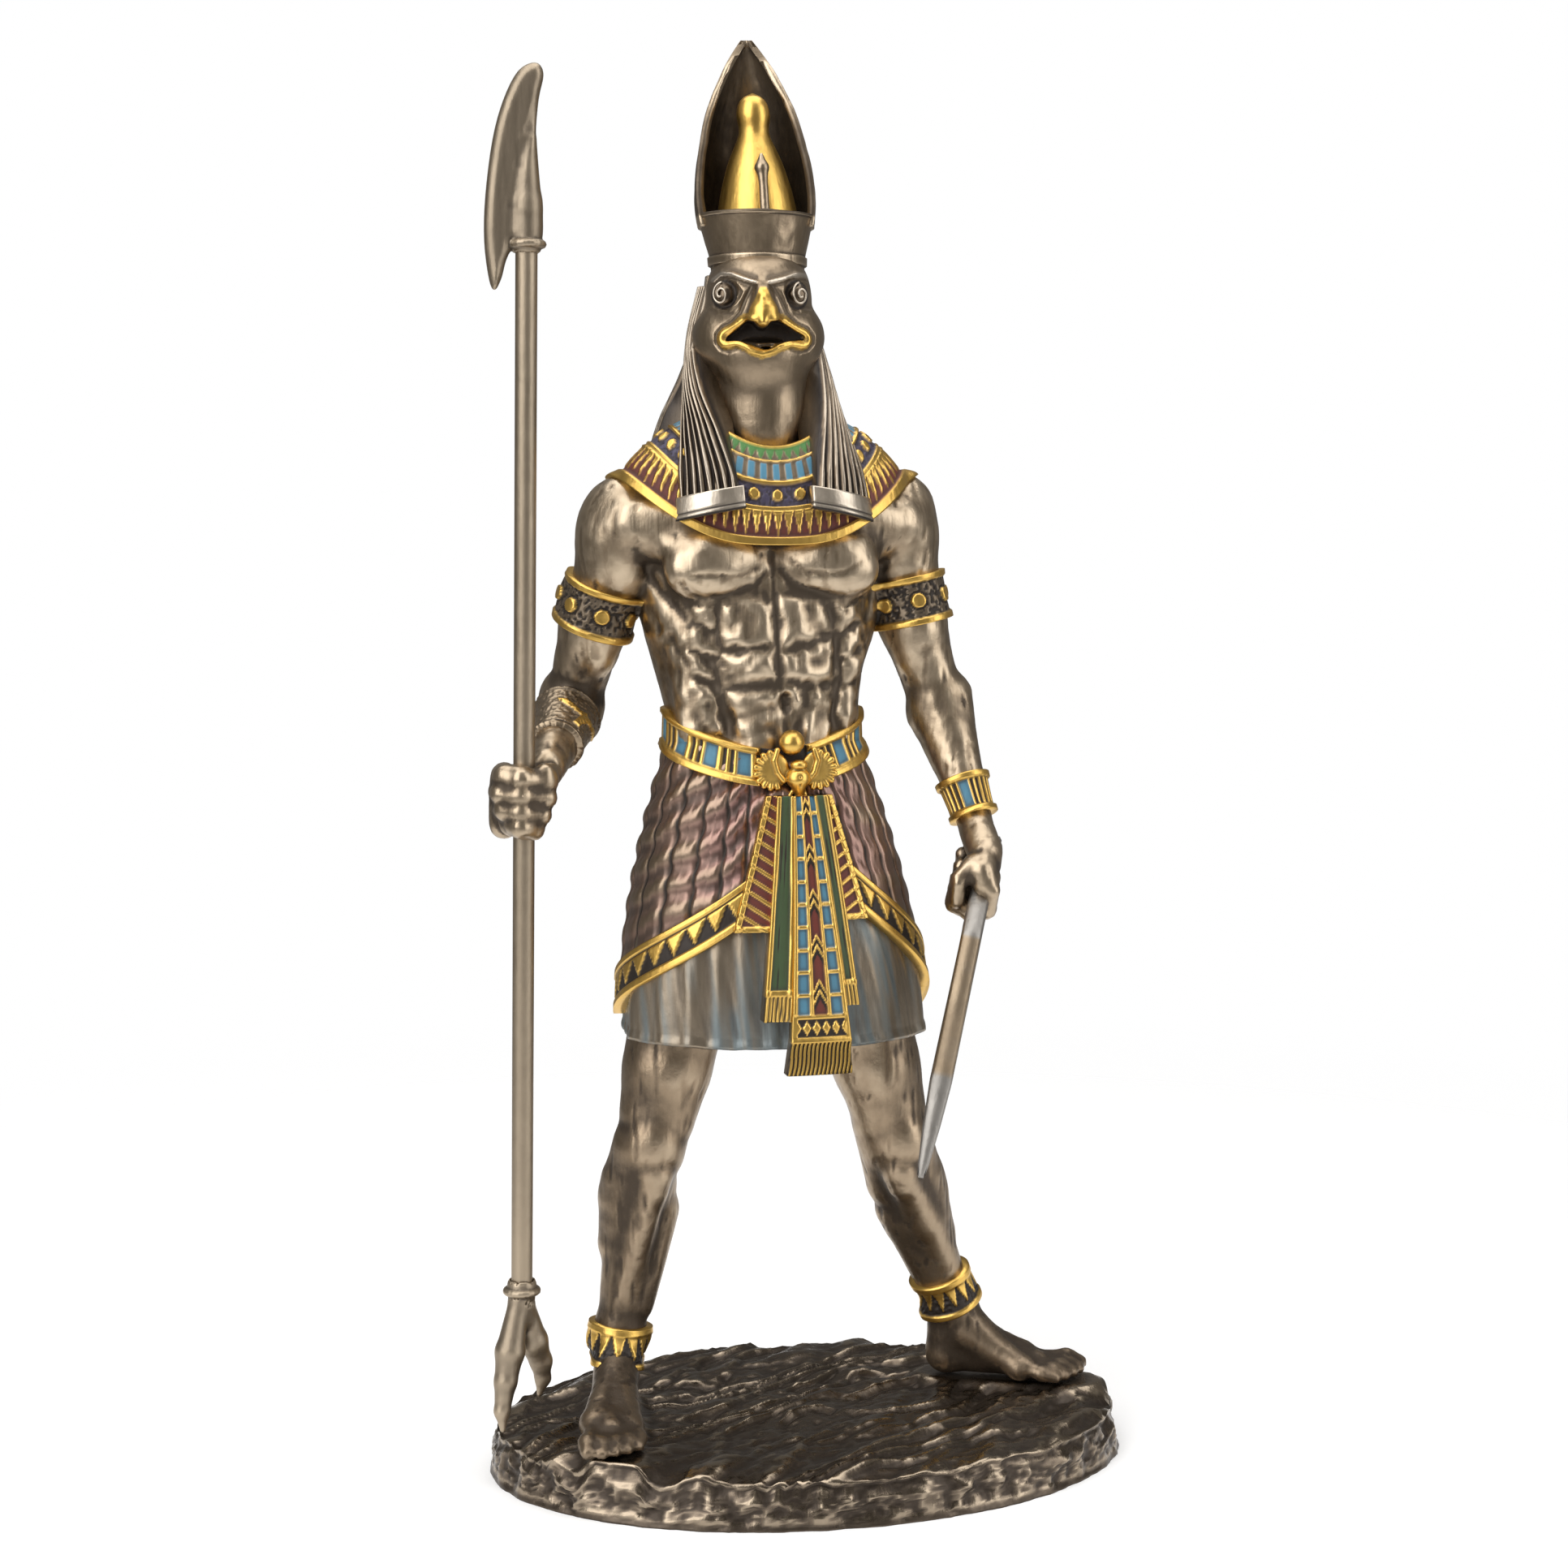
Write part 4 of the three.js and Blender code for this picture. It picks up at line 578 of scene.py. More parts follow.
def castBronze(name, painted=False, tint=palette["bronze"], **changes):
    # Cold-cast bronze: rubbed bright on the ridges, dark patina in the hollows.
    look = {**castLook, **changes}
    s = Shader(bpy.data.materials.new(name))
    hollow = s.attribute("hollow")
    darkening = s.attribute("darkening")
    broad = s.grain(look["tone"], 3.0)
    fine = s.grain(look["mottle"], 5.0, 0.6)
    rubbed = s.grain(look["scratch"], 2.0, at=s.place(scale=(1, 1, 0.12), turn=(0.2, 0.1, 0.4)))
    patina = hollow * look["hollowShare"] + darkening * look["darkeningShare"]
    for share, grain in (("toneShare", broad), ("mottleShare", fine), ("scratchShare", rubbed)):
        patina = patina + (grain - 0.5) * look[share]
    patina = (patina + look["dark"] - 0.16).between(0.05, 0.95)
    rough = patina * (look["dull"] - look["shine"]) + look["shine"] + (rubbed - 0.5) * 0.18
    if painted:
        metal = s.attribute("paint", "Alpha")
        colour = s.blend(patina * 0.6, s.attribute("paint", "Color"), look["patina"])
        rough = rough + (1 - metal) * 0.16
        metallic = metal * (1 - patina * 0.25)
    else:
        ridge = (hollow * -1 + (fine - 0.5) * 0.5 - darkening * 0.7).between(0.15, 0.95)
        worn = s.blend(ridge * look["worn"], tint, look["polished"])
        colour = s.blend(patina * 0.85, worn, look["patina"])
        metallic = 1 - patina * 0.3
    height = rubbed * 0.5 + fine * 0.9 + broad * 0.3
    normal = s.bump(height, look["bumpStrength"], look["bumpDepth"])
    s.set(baseColor=colour, roughness=rough.clamped(), metallic=metallic, normal=normal)
    return s.owner


materials = {
    "body": castBronze("handRubbedBronze"),
    "legs": castBronze("rubbedLegBronze", tint=(0.295, 0.222, 0.15), worn=0.3, mottle=420, dark=0.42),
    "painted": castBronze("goldAndEnamelOnBronze", painted=True),
    "satin": castBronze("satinBronze", tint=(0.28, 0.228, 0.168), shine=0.46, dull=0.56, worn=0.25, dark=0.3),
    "blade": castBronze("paleBlade", painted=True, shine=0.46, dull=0.56, dark=0.36, mottle=500),
    "rock": castBronze("darkRock", tint=(0.15, 0.118, 0.088), worn=0.42, shine=0.24, dull=0.4, dark=0.34),
}


def addPiece(name, points, faces, paint=None, material="painted", slot="bronze", node="figure",
             scales=((6, 0.16), (26, 0.6)), darkening=None):
    # Paint is one colour's name, or a colour for each point.
    mesh = bpy.data.meshes.new(name)
    faceList = faces.tolist() if isinstance(faces, np.ndarray) else faces
    tri = trianglesOf(faceList)
    a, b, c = (points[n] - points[0] for n in tri.T)
    if np.einsum("ij,ij->i", a, np.cross(b, c)).sum() < 0:
        faceList = [face[::-1] for face in faceList]
        tri = tri[:, ::-1]
    mesh.from_pydata((points * mm).tolist(), [], faceList)
    mesh.polygons.foreach_set("use_smooth", np.ones(len(mesh.polygons), bool))

    def note(label, kind, field, values):
        kept = mesh.attributes.new(label, kind, "POINT")
        kept.data.foreach_set(field, values.astype(np.float32).ravel())

    note("hollow", "FLOAT", "value", hollowOf(points, tri, scales))
    if darkening is not None:
        note("darkening", "FLOAT", "value", darkening)
    if isinstance(paint, str):
        paint = Relief((len(points),), paint).paint
    if paint is not None:
        note("paint", "FLOAT_COLOR", "color", paint)
    mesh.materials.append(materials[material])
    piece = bpy.data.objects.new(name, mesh)
    bpy.context.scene.collection.objects.link(piece)
    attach(piece, "root")
    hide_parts(node)
    print(f"{name}: {sum(len(f) - 2 for f in faceList)} triangles")


# Pose: the main joints of the figure.
pose = {
    "shoulder": {"right": at(-39.5, 5, 185), "left": at(20.5, 5, 185)},
    "upperArm": {"right": at(-44.4, 10.5, 167), "left": at(24.2, 5, 167)},
    "elbow": {"right": at(-48.2, 16, 150), "left": at(29.6, 4, 149.5)},
    "wrist": {"right": at(-56.6, -7, 138.8), "left": at(34.8, -5.5, 127)},
    "grip": {"right": at(-62.1, -13.5, 132), "left": at(34.9, -13.6, 114)},
    "hip": {"right": at(-22, 3, 112), "left": at(5, 3, 112)},
    "knee": {"right": at(-34.4, -1, 57), "left": at(19.6, 0, 55)},
    "calf": {"right": at(-37.6, 3.5, 41), "left": at(26, 5.5, 38)},
    "ankle": {"right": at(-40.9, 3, 17), "left": at(34.6, 9.5, 18)},
    "heel": {"right": at(-41, 6.5, 4.4), "left": at(34, 10.6, 4.4)},
    "ball": {"right": at(-46.4, -22, 3), "left": at(52.6, 4, 2.6)},
}
sides = {"right": -1, "left": 1}


def joints(side, *names):
    return [pose[name][side] for name in names]


def trunk(across, deep, high):
    return at(midline + across, deep, high)


def trunkShapes():
    core = [
        egg(trunk(0, 3, 172), 24.5, 13, 26),
        egg(trunk(0, 3, 150), 19.4, 11, 20),
        egg(trunk(0, 3, 131), 22, 13.5, 15),
        *pairs(lambda s: [
            limb(trunk(s * 4, 5, 203), trunk(s * 27, 5.5, 191.5), 6.4, 7),
            limb(trunk(s * 20, 8, 179), trunk(s * 14, 8.5, 152), 7, 4.5),
        ]),
    ]
    muscle = pairs(lambda s: [
        egg(trunk(s * 10.6, -5.6, 180.5), 12.6, 7, 8.8, 0, s * -14, s * 8),
        limb(trunk(s * 19, -5, 184), trunk(s * 29, 1, 187), 4.4, 4.6),
        limb(trunk(s * 13, -2.5, 190), trunk(s * 28, 0.5, 188.5), 7.4, 7),
        limb(trunk(s * 16.4, -1.6, 170), trunk(s * 14.8, -2.6, 144), 4.6, 4.6),
    ])
    belly = [
        egg(trunk(0.9, -4.4, 159), 13, 6.8, 19),
        egg(trunk(1.6, -4.2, 143), 12.6, 6.2, 11),
    ]
    back = pairs(lambda s: [
        egg(trunk(s * 11.5, 11.5, 183), 8.5, 4.4, 9.5, 0, 0, s * 14),
        limb(trunk(s * 3.6, 12.6, 176), trunk(s * 4, 12.6, 140), 3, 3.4),
        egg(trunk(s * 8.5, 11.5, 124), 9.5, 8.5, 9.5),
    ])
    grooves = [
        limb(trunk(0, -13.8, 187), trunk(-0.2, -13.2, 176), 0.9, 0.7),
        limb(trunk(0, 17.4, 190), trunk(0, 15.4, 136), 1.3, 1),
    ]
    return core, muscle, belly, back, grooves


def armShapes(side):
    out = sides[side]
    shoulder, upperArm, elbow, wrist = joints(side, "shoulder", "upperArm", "elbow", "wrist")
    along = lambda t: mix(elbow, wrist, t)
    collarbone = trunk(-28.6, 4, 191.8) if side == "right" else trunk(30.4, 4, 192.6)
    return [
        limb(shoulder, upperArm, 7.8, 7),
        limb(upperArm, elbow, 7, 5.4),
        egg(shoulder + shift(out, 0.2, -0.8), 8, 9, 12.4, 0, 0, out * 8),
        limb(trunk(out * 18, 4, 193), collarbone, 6.5, 7),
        egg(upperArm + shift(0, -3.2, -1), 5.2, 4.6, 9.4, 8, 0, out * 8),
        egg(upperArm + shift(out * 1.6, 3, 1), 5, 4.4, 11, 10, 0, out * 6),
        limb(elbow, wrist, 6.4, 3.9),
        limb(along(-0.04) + shift(out * 2.2, 0, 1.4), along(0.66), 5.4, 3.4),
        limb(along(0.06) + shift(-out * 2, 0.4, -0.6), along(0.62) + shift(-out * 0.6, 0, 0), 4.8, 3),
    ]


def legShapes(side):
    out = sides[side]
    hip, knee, calf, ankle, heel, ball = joints(side, "hip", "knee", "calf", "ankle", "heel", "ball")
    thigh = lambda t: mix(hip, knee, t)
    upper = lambda t: mix(knee, calf, t)
    lower = lambda t: mix(calf, ankle, t)
    place = toePlaces(heel, ball, side)
    instep = mix(ankle, ball, 0.2) + shift(0, 0, -5.5)
    swell = -4.9 if side == "right" else -3.6
    within = 1.2 if side == "right" else 3.6
    return [
        limb(hip, thigh(0.7), 13, 9.2),
        limb(thigh(0.7), knee, 9.2, 7.2),
        limb(thigh(0.3) + shift(out * 3.4, -2.4, 0), thigh(0.86) + shift(out * 3, -1.2, 0), 7, 4.4),
        limb(thigh(0.5) + shift(-out * 3.4, -2.8, 0), thigh(0.9) + shift(-out * 3.4, -1.4, 0), 5.6, 4.2),
        egg(knee + shift(0.4 * out, -4.6, 1.4), 4.6, 3.2, 5.6),
        limb(knee + shift(0, -4.6, -5), knee + shift(0, -4, -9), 2.6, 2.2),
        limb(knee, calf, 6.8, 6.4),
        limb(upper(0.5) + shift(out * 2.6, 1.6, 0), lower(0.24) + shift(out * 2.4, 1.4, 0), 5.6, 4.4),
        limb(upper(0.6) + shift(-out * 2.8, 2, 0), lower(0.1) + shift(-out * 2.8, 2, 0), 5.4, 4.6),
        limb(knee + shift(out * 2, 0.4, 0), upper(0.7) + shift(out * 2.6, 1.4, 0), 6, 5.6),
        limb(calf + shift(out * swell, 1.6, 1), lower(0.78) + shift(out * swell * 0.45, 0.6, 0), 5.4, 4.8),
        limb(knee + shift(0, 1, 2), calf + shift(0, 3, 0), 5.6, 5.4),
        limb(knee + shift(-out * within, 1, 4), upper(0.55) + shift(-out * within, 1.6, 0), 5.6, 5.4),
        limb(calf, ankle, 6, 4.6),
        limb(knee + shift(0, -3.6, -6), ankle + shift(0, -1.4, 4), 3.4, 2.6),
        egg(ankle + shift(4.2, 0, -1.5), 1.9, 2.2, 2.4),
        egg(ankle + shift(-4.2, 0, -2.5), 1.9, 2.2, 2.4),
        limb(ankle, heel, 5.1, 4.4),
        limb(heel, ball, 4.2, 2.9),
        limb(ankle + shift(0, 0, -2), mix(heel, ball, 0.45) + shift(0, 0, 2), 4.8, 4.2),
        limb(instep, place(3.4, -3, 3.6), 4.2, 2.9),
        limb(instep, place(-3.6, -3, 2.8), 4.2, 2.9),
        *toeShapes(place),
    ]


def toePlaces(heel, ball, side):
    forward = unit(shift(ball[0] - heel[0], ball[1] - heel[1], 0))
    inward = shift(forward[1], -forward[0], 0) * -sides[side]

    def place(across, ahead, high):
        spot = ball + inward * across + forward * ahead
        spot[2] = high + soleHeight
        return spot

    return place


def toeShapes(place):
    shapes = [limb(place(3.4, -3, 3), place(-4.4, -3.4, 2.4), 3, 2.2)]
    for n, (across, reach) in enumerate(zip((4.3, 1.2, -1.5, -4, -6.2), (10, 10, 8.6, 7, 4.8))):
        radius = 1.9 if n == 0 else 1.6 - 0.1 * n
        joint = place(across, reach - 3, radius + 0.8)
        shapes.append(limb(place(across * 0.85, -1, 2.8), joint, radius * 0.98, radius * 0.92))
        shapes.append(limb(joint, place(across, reach, radius), radius, radius * 0.85))
    return shapes


shaftAxis = unit(np.array([1.8, -9, 211]))


def rightHand():
    grip, wrist = joints("right", "grip", "wrist")
    near = lambda x, y, z: grip + shift(x, y, z)
    shapes = [
        limb(wrist, near(1.5, 5.5, 2), 3.7, 4.4),
        limb(near(-3.6, 4.6, 5), near(-3.6, 4.6, -4.6), 3, 3),
        limb(near(1.2, 5.4, 4.2), near(1.4, 5.4, -3.6), 3.2, 3),
        limb(near(3.4, 4.4, 3.6), near(5.4, 0.4, 5.6), 2.6, 2.2),
        limb(near(5.4, 0.4, 5.6), near(3.8, -3.6, 6.4), 2.2, 1.9),
        limb(near(-1.3, -3.5, 4.6), near(-0.6, -3.5, -4), 3.45, 3.2),
        limb(near(-3.4, 0, 4.6), near(-2.2, 0, -4), 3.2, 3),
        limb(near(2.5, -2.2, 3.8), near(0.8, -2.2, -4), 3.2, 2.9),
    ]
    for n, (high, back, tip) in enumerate(((5.3, 0.9, 4.1), (1.9, 0, 4), (-1.5, 0.6, 3.1), (-4.5, 2.3, 1.7))):
        r = 2.35 - 0.12 * n
        bend = [
            near(back - 4.7, 3, high + 0.3), near(back - 4.7, -2.7, high + 0.3), near(-1.2, -5.2, high),
            near(tip, -2.8, high - 0.8), near(tip + 0.3, 0.4, high - 0.9)]
        shapes += chain(bend, r)
    return shapes


bladeAhead = unit(np.array([-0.3128, -0.9498, 0]))
bladeDown = unit(np.array([-0.1855, 0.0611, -0.9808]))
bladeFlat = unit(np.cross(bladeAhead, bladeDown))
hiltAxis = unit(0.81 * bladeAhead + 0.59 * bladeDown)


def leftHand():
    grip, wrist = joints("left", "grip", "wrist")
    under = unit(np.cross(hiltAxis, bladeFlat))
    under = under * -np.sign(under[2])
    outer = bladeFlat * np.sign(bladeFlat[0])
    near = lambda across, low, ahead: grip + outer * (across - 1.2) + under * low + hiltAxis * ahead
    shapes = [
        limb(wrist, near(0.5, -4.6, -2), 3.9, 3.7),
        limb(near(1.6, -3.2, 4.6), near(0.9, -2.8, -4.6), 3, 2.8),
        limb(near(0.4, -5, 3.4), near(0.6, -5, -4), 3, 3),
        limb(near(-1.5, -5.4, 2.6), near(-4, -3.2, 6), 2.4, 2),
        limb(near(-4, -3.2, 6), near(-3.2, 0.6, 7.6), 2, 1.7),
    ]
    for n, ahead in enumerate((5.8, 2, -1.8, -5.4)):
        r = 2.1 - 0.08 * n
        out = 3.2 - 0.35 * n
        bend = [near(out, -2.4, ahead), near(out, 3, ahead), near(-0.1, 4.7, ahead), near(-3.8, 3, ahead)]
        shapes += chain(bend, r)
        shapes.append(limb(bend[3], near(-4.2, -0.4, ahead), r, r * 0.9))
    return shapes


bodyLook = {
    "cell": 0.71, "low": (-76, -36, -3), "high": (70, 28, 222), "chestFrom": 100, "neckCut": 210,
    "waistCut": 131, "hipCut": 99, "trunk": (-44, 27), "lumps": 0.7, "plateHeight": 1.05, "plateEdge": 1.7,
    "uneven": ((7.5, 0.55), (2.6, 0.17), (1.3, 0.07)), "legs": ((8, 0.4), (3, 0.1)), "strokes": 0.14,
    "scales": ((5, 0.17), (37, 0.8)), "legScales": ((5, 0.15), (37, 0.95)),
}
# Muscles drawn from the front as [across the midline, height above the soles].
torsoPlates = [
    [(-10.8, 171.9), (-7.3, 173), (-3.7, 173.2), (-0.9, 171.7), (-0.9, 163.9), (-5.2, 162.9), (-9.6, 163.4),
     (-10.8, 167.6)],
    [(1.5, 172.8), (6, 173.4), (11.4, 172.4), (12, 166), (7.6, 164.5), (1.6, 163.1)],
    [(-10.2, 161.2), (-5, 161.9), (-0.6, 162.3), (-0.3, 156.9), (-3.7, 155.6), (-7.7, 155.6), (-10.4, 157.1)],
    [(1.8, 161.5), (6.8, 162.8), (12, 164.1), (12.4, 156.6), (8.4, 155.5), (4.5, 155.9), (1.9, 157.2)],
    [(-9.5, 153.8), (-5.2, 154.2), (-0.9, 154.2), (-0.7, 149.4), (-0.3, 140), (-7.3, 140), (-9.1, 149.4)],
    [(7.4, 153.8), (12.2, 154.1), (12.9, 149.1), (11.4, 140), (4.8, 140), (6.2, 147)],
    [(-16.7, 171.2), (-12.4, 171.9), (-11.8, 169), (-12.6, 166.9), (-16, 168.3)],
    [(-18, 166.6), (-15, 167.4), (-12.4, 165.2), (-11.6, 161.8), (-12.9, 161.3), (-16.7, 162.8)],
    [(-17.7, 161.5), (-15.3, 161.2), (-12.5, 158.5), (-11.6, 156), (-13, 155.8), (-16.4, 157.7)],
    [(-16.7, 155.6), (-13, 155), (-11.2, 153.1), (-10.8, 149.4), (-9.8, 145), (-12.3, 143), (-15.4, 149.4)],
    [(13.4, 172.2), (18.8, 172.6), (19.3, 168.8), (14.9, 166.1), (13.4, 167.4)],
    [(14.3, 165), (18.9, 167.1), (19.8, 163.6), (16.6, 160.3), (13.9, 160.8)],
    [(14.3, 159.7), (20.3, 161.9), (18.9, 157), (15.4, 155)],
    [(14.7, 154), (17.1, 154.2), (18.9, 149.5), (15.8, 144), (13.9, 149)],
]
# Lines on the torso, each with its width and depth; a negative depth is a ridge.
torsoGrooves = [
    ([(-19.9, 175.9), (-17.7, 173.4), (-15, 172.9), (-10.8, 173.4), (-6.6, 174.8), (-3.7, 175.9),
      (-1.9, 178.1)], 0.7, 0.45),
    ([(1.5, 178.8), (3.4, 176.3), (6, 175), (10.8, 173.7), (15.3, 173.1), (19.8, 173.9), (23.6, 176.5)],
     0.7, 0.45),
    ([(-0.4, 182), (-0.4, 177), (0, 174), (0.4, 167.6), (0.6, 162), (0.8, 156.6), (1.2, 154.5), (2.4, 151.5),
      (2.3, 141)], 0.55, 0.35),
    ([(-17.7, 177.6), (-14.3, 177.9), (-10.1, 177.4), (-5.9, 178.1), (-3.3, 179.5), (-2.6, 182)], 0.5, 0.2),
    ([(3.4, 181), (6, 178.8), (10, 178.1), (14.5, 178.4), (17.9, 180.6)], 0.5, 0.2),
    ([(-25.5, 179.5), (-23, 174.8), (-20, 171.2), (-18.3, 169)], 0.8, 0.5),
    ([(25.2, 179.4), (23, 173.9), (21.3, 168.7)], 0.8, 0.5),
    ([(2.3, 152.3), (2.5, 150.2)], 1.05, 1.25),
    ([(-11.2, 171), (-11.2, 146)], 1.5, -0.45),
    ([(13.2, 171), (13, 146)], 1.5, -0.45),
    ([(0.2, 152.4), (1.6, 153.9), (3.6, 153.7), (4.9, 151.6)], 0.8, -0.5),
]


def drawTorso(points, faces):
    look = bodyLook
    normal = normalsOf(points, trianglesOf(faces))
    facing = ease(-normal[:, 1], 0.15, 0.5)
    x, z = points[:, 0] - midline, points[:, 2] - soleHeight
    near = (facing > 0) & (np.abs(x) < 28) & (z > 136) & (z < 186)
    spots, x, z = points[near], x[near], z[near]
    wobble = 1.5 * (noise(spots, 3.2, 21) - 0.5) + 0.5 * (noise(spots, 1.2, 22) - 0.5)
    within = [wobble - outlineDistance(plate, x, z) for plate in torsoPlates]
    lift = look["plateHeight"] * ease(np.max(within, axis=0), -1.2, look["plateEdge"])
    lift = lift + look["lumps"] * (noise(spots, 2.3, 23) - 0.5) * ease(176 - z, 0, 6)
    for path, wide, deep in torsoGrooves:
        lift = lift - deep * np.exp(-((strokeDistance(path, x, z) + 0.3 * wobble) / wide) ** 2)
    points = points.copy()
    points[near] += normal[near] * (facing[near] * lift)[:, None]
    return points


def darkeningOf(points):
    # Darker towards the neck, the forearms, the hands and the feet.
    z = points[:, 2] - soleHeight
    across = np.abs(points[:, 0] - midline)
    forearm = ease(across, 21, 27) * (1 - ease(z, 150, 172))
    away = [np.linalg.norm(points - grip, axis=1) for grip in pose["grip"].values()]
    hands = 1 - ease(np.min(away, axis=0), 9, 16)
    neck = ease(z, 191, 197) * (across < 16)
    lower = 1 - ease(z, 24, 100)
    feet = 1 - ease(z, 6, 24)
    return np.clip(0.5 * forearm + 0.1 * hands + 0.5 * neck + 0.22 * lower + 0.85 * feet, 0, 1.1)


def makeBody():
    look = bodyLook
    clay = Clay(at(*look["low"]), at(*look["high"]), look["cell"])
    core, muscle, belly, back, grooves = trunkShapes()
    clay.blend(core, 7)
    clay.blend(muscle, 2)
    clay.blend(belly, 1.8)
    clay.blend(back, 2.2)
    clay.carve(grooves, 1.2)
    for side in sides:
        clay.blend(armShapes(side), 2)
        clay.blend(legShapes(side), 1.8)
    clay.blend([limb(trunk(-0.6, 3.6, 197), trunk(-1.2, 2.6, 214), 8.4, 6.4)], 4)
    clay.blend(rightHand(), 0.7)
    clay.blend(leftHand(), 0.7)
    upper = Clay(at(*look["low"][:2], look["chestFrom"]), at(*look["high"]), look["cell"])
    start = int(round((look["chestFrom"] - look["low"][2]) / look["cell"]))
    upper.values = clay.values[:, :, start:].copy()
    upper.low = clay.low + [0, 0, start * clay.cell]
    between = slice(*(int((x - look["low"][0]) / clay.cell) for x in look["trunk"]))
    hidden = int((look["waistCut"] + soleHeight - upper.low[2]) / clay.cell)
    upper.values[between, :, :hidden] = np.maximum(upper.values[between, :, :hidden], 0.2)
    points, faces = upper.skin(top=look["neckCut"])
    points = handWorked(drawTorso(points, faces), faces, look["uneven"], look["strokes"])
    addPiece("torso_and_arms", points, faces, material="body",
             scales=look["scales"], darkening=darkeningOf(points))
    points, faces = clay.skin(top=look["hipCut"])
    points = handWorked(points, faces, look["legs"], look["strokes"])
    points[:, 2] = np.maximum(points[:, 2], soleHeight)
    addPiece("legs", points, faces, material="legs",
             scales=look["legScales"], darkening=darkeningOf(points))
    return clay


bodyClay = makeBody()
print("body done")

# Head, in its own turned frame: across, deep towards the back, high.
headTurn = -8
headCentre = at(-10.6, 1, 232)
headSpin = spin(0, 0, headTurn)


def head(across, deep, high):
    return headCentre + grid(across, deep, high) @ headSpin.T


headLook = {"cell": 0.345, "goldFrom": 3.2, "goldTo": 5.6, "lip": 0.56, "skew": 0.09}
# Lines drawn on the face as [across, high], one half where both are alike.
mouthLine = [
    (-7.3, -6.1), (-6.9, -5.4), (-5.6, -4.5), (-4.1, -3.3), (-3.1, -2.3), (-2, -2.3), (-1.4, -2.9),
    (-0.7, -3.6), (0.1, -3.9), (0.9, -3.6), (1.5, -2.9), (2, -2.1), (3.7, -2.1), (5.5, -2.9), (7.5, -4),
    (9, -5.1), (9.2, -5.8), (7.5, -5.9), (5.8, -6.2), (4.2, -6.7), (2.5, -7.6), (0.9, -8.1), (-0.7, -7.6),
    (-2.3, -6.9), (-4.4, -6.5), (-5.9, -6.5)]
goldLine = [
    (-2.4, -0.6), (-3.9, -2), (-5.6, -3.2), (-7.5, -3.9), (-8.5, -4.9), (-8.8, -6.4), (-7.9, -7.7),
    (-6.9, -8), (-5.3, -7.3), (-3.8, -7.6), (-2, -8.4), (-0.4, -9.2), (0.9, -9.6), (2.5, -8.9), (4.2, -7.7),
    (5.8, -6.9), (7.2, -6.9), (8.6, -7.6), (9.8, -7), (10.6, -5.3), (10.1, -4.1), (8.6, -3.3), (6.5, -2.8),
    (4.5, -1.9), (3, -0.6)]
upperLip = [(1.7, -2.2), (3.4, -1.8), (5.2, -2.8), (7, -3.8), (8.6, -4.7), (9.1, -6)]
lowerLip = [(9.1, -6), (8.2, -7), (6.8, -6.9), (5.2, -6.9), (3.3, -7.6), (1.8, -8.5), (0, -9)]
socketLine = [
    (10.7, 0.9), (10.3, 4.4), (9.1, 6), (7.3, 6.4), (5.7, 5.7), (4, 3.7), (5, 2), (6.3, 0.9), (8, 0.3),
    (9.6, 0.3)]
faceGrooves = [
    ([(2.4, 4.4), (3.6, 2.2), (4.8, -0.5), (6.8, -2.5), (8.8, -3.3), (10.1, -4.8), (10.1, -6.5), (9, -7.9),
      (7.4, -8.4), (5.6, -7.8)], 0.3, 0.5),
    ([(1.6, 4.9), (2.2, 3), (2.9, 0.6), (3.2, -0.6)], 0.35, 0.3),
    ([(2, 4.7), (4.4, 5.5), (6.6, 6.5), (8.8, 6.7), (10.2, 5.8)], 0.3, 0.35),
    ([(10.9, 0.6), (8.4, -0.5), (6.6, -0.7)], 0.4, 0.22),
]
faceRidges = [
    ([(1.6, 5.6), (4.4, 6.5), (6.7, 7.4), (8.8, 7.6), (10.6, 6.6)], 0.6, 1.15),
    ([(5.2, 1.2), (7.2, -0.2), (9.6, -0.3), (11.2, 0.8)], 0.35, 0.25),
]
eyeCentre = (7.5, 3.35)
eyeLook = {"ball": (2.4, 1.9, 2.8), "outward": 28, "turns": 1.6, "wide": 2.05, "tall": 2.5, "wire": 0.25}
eyeDepth = {}  # found on the finished head, one for each side


def facePath(spots, s):
    return [(x * (s + headLook["skew"]), z) for x, z in spots]


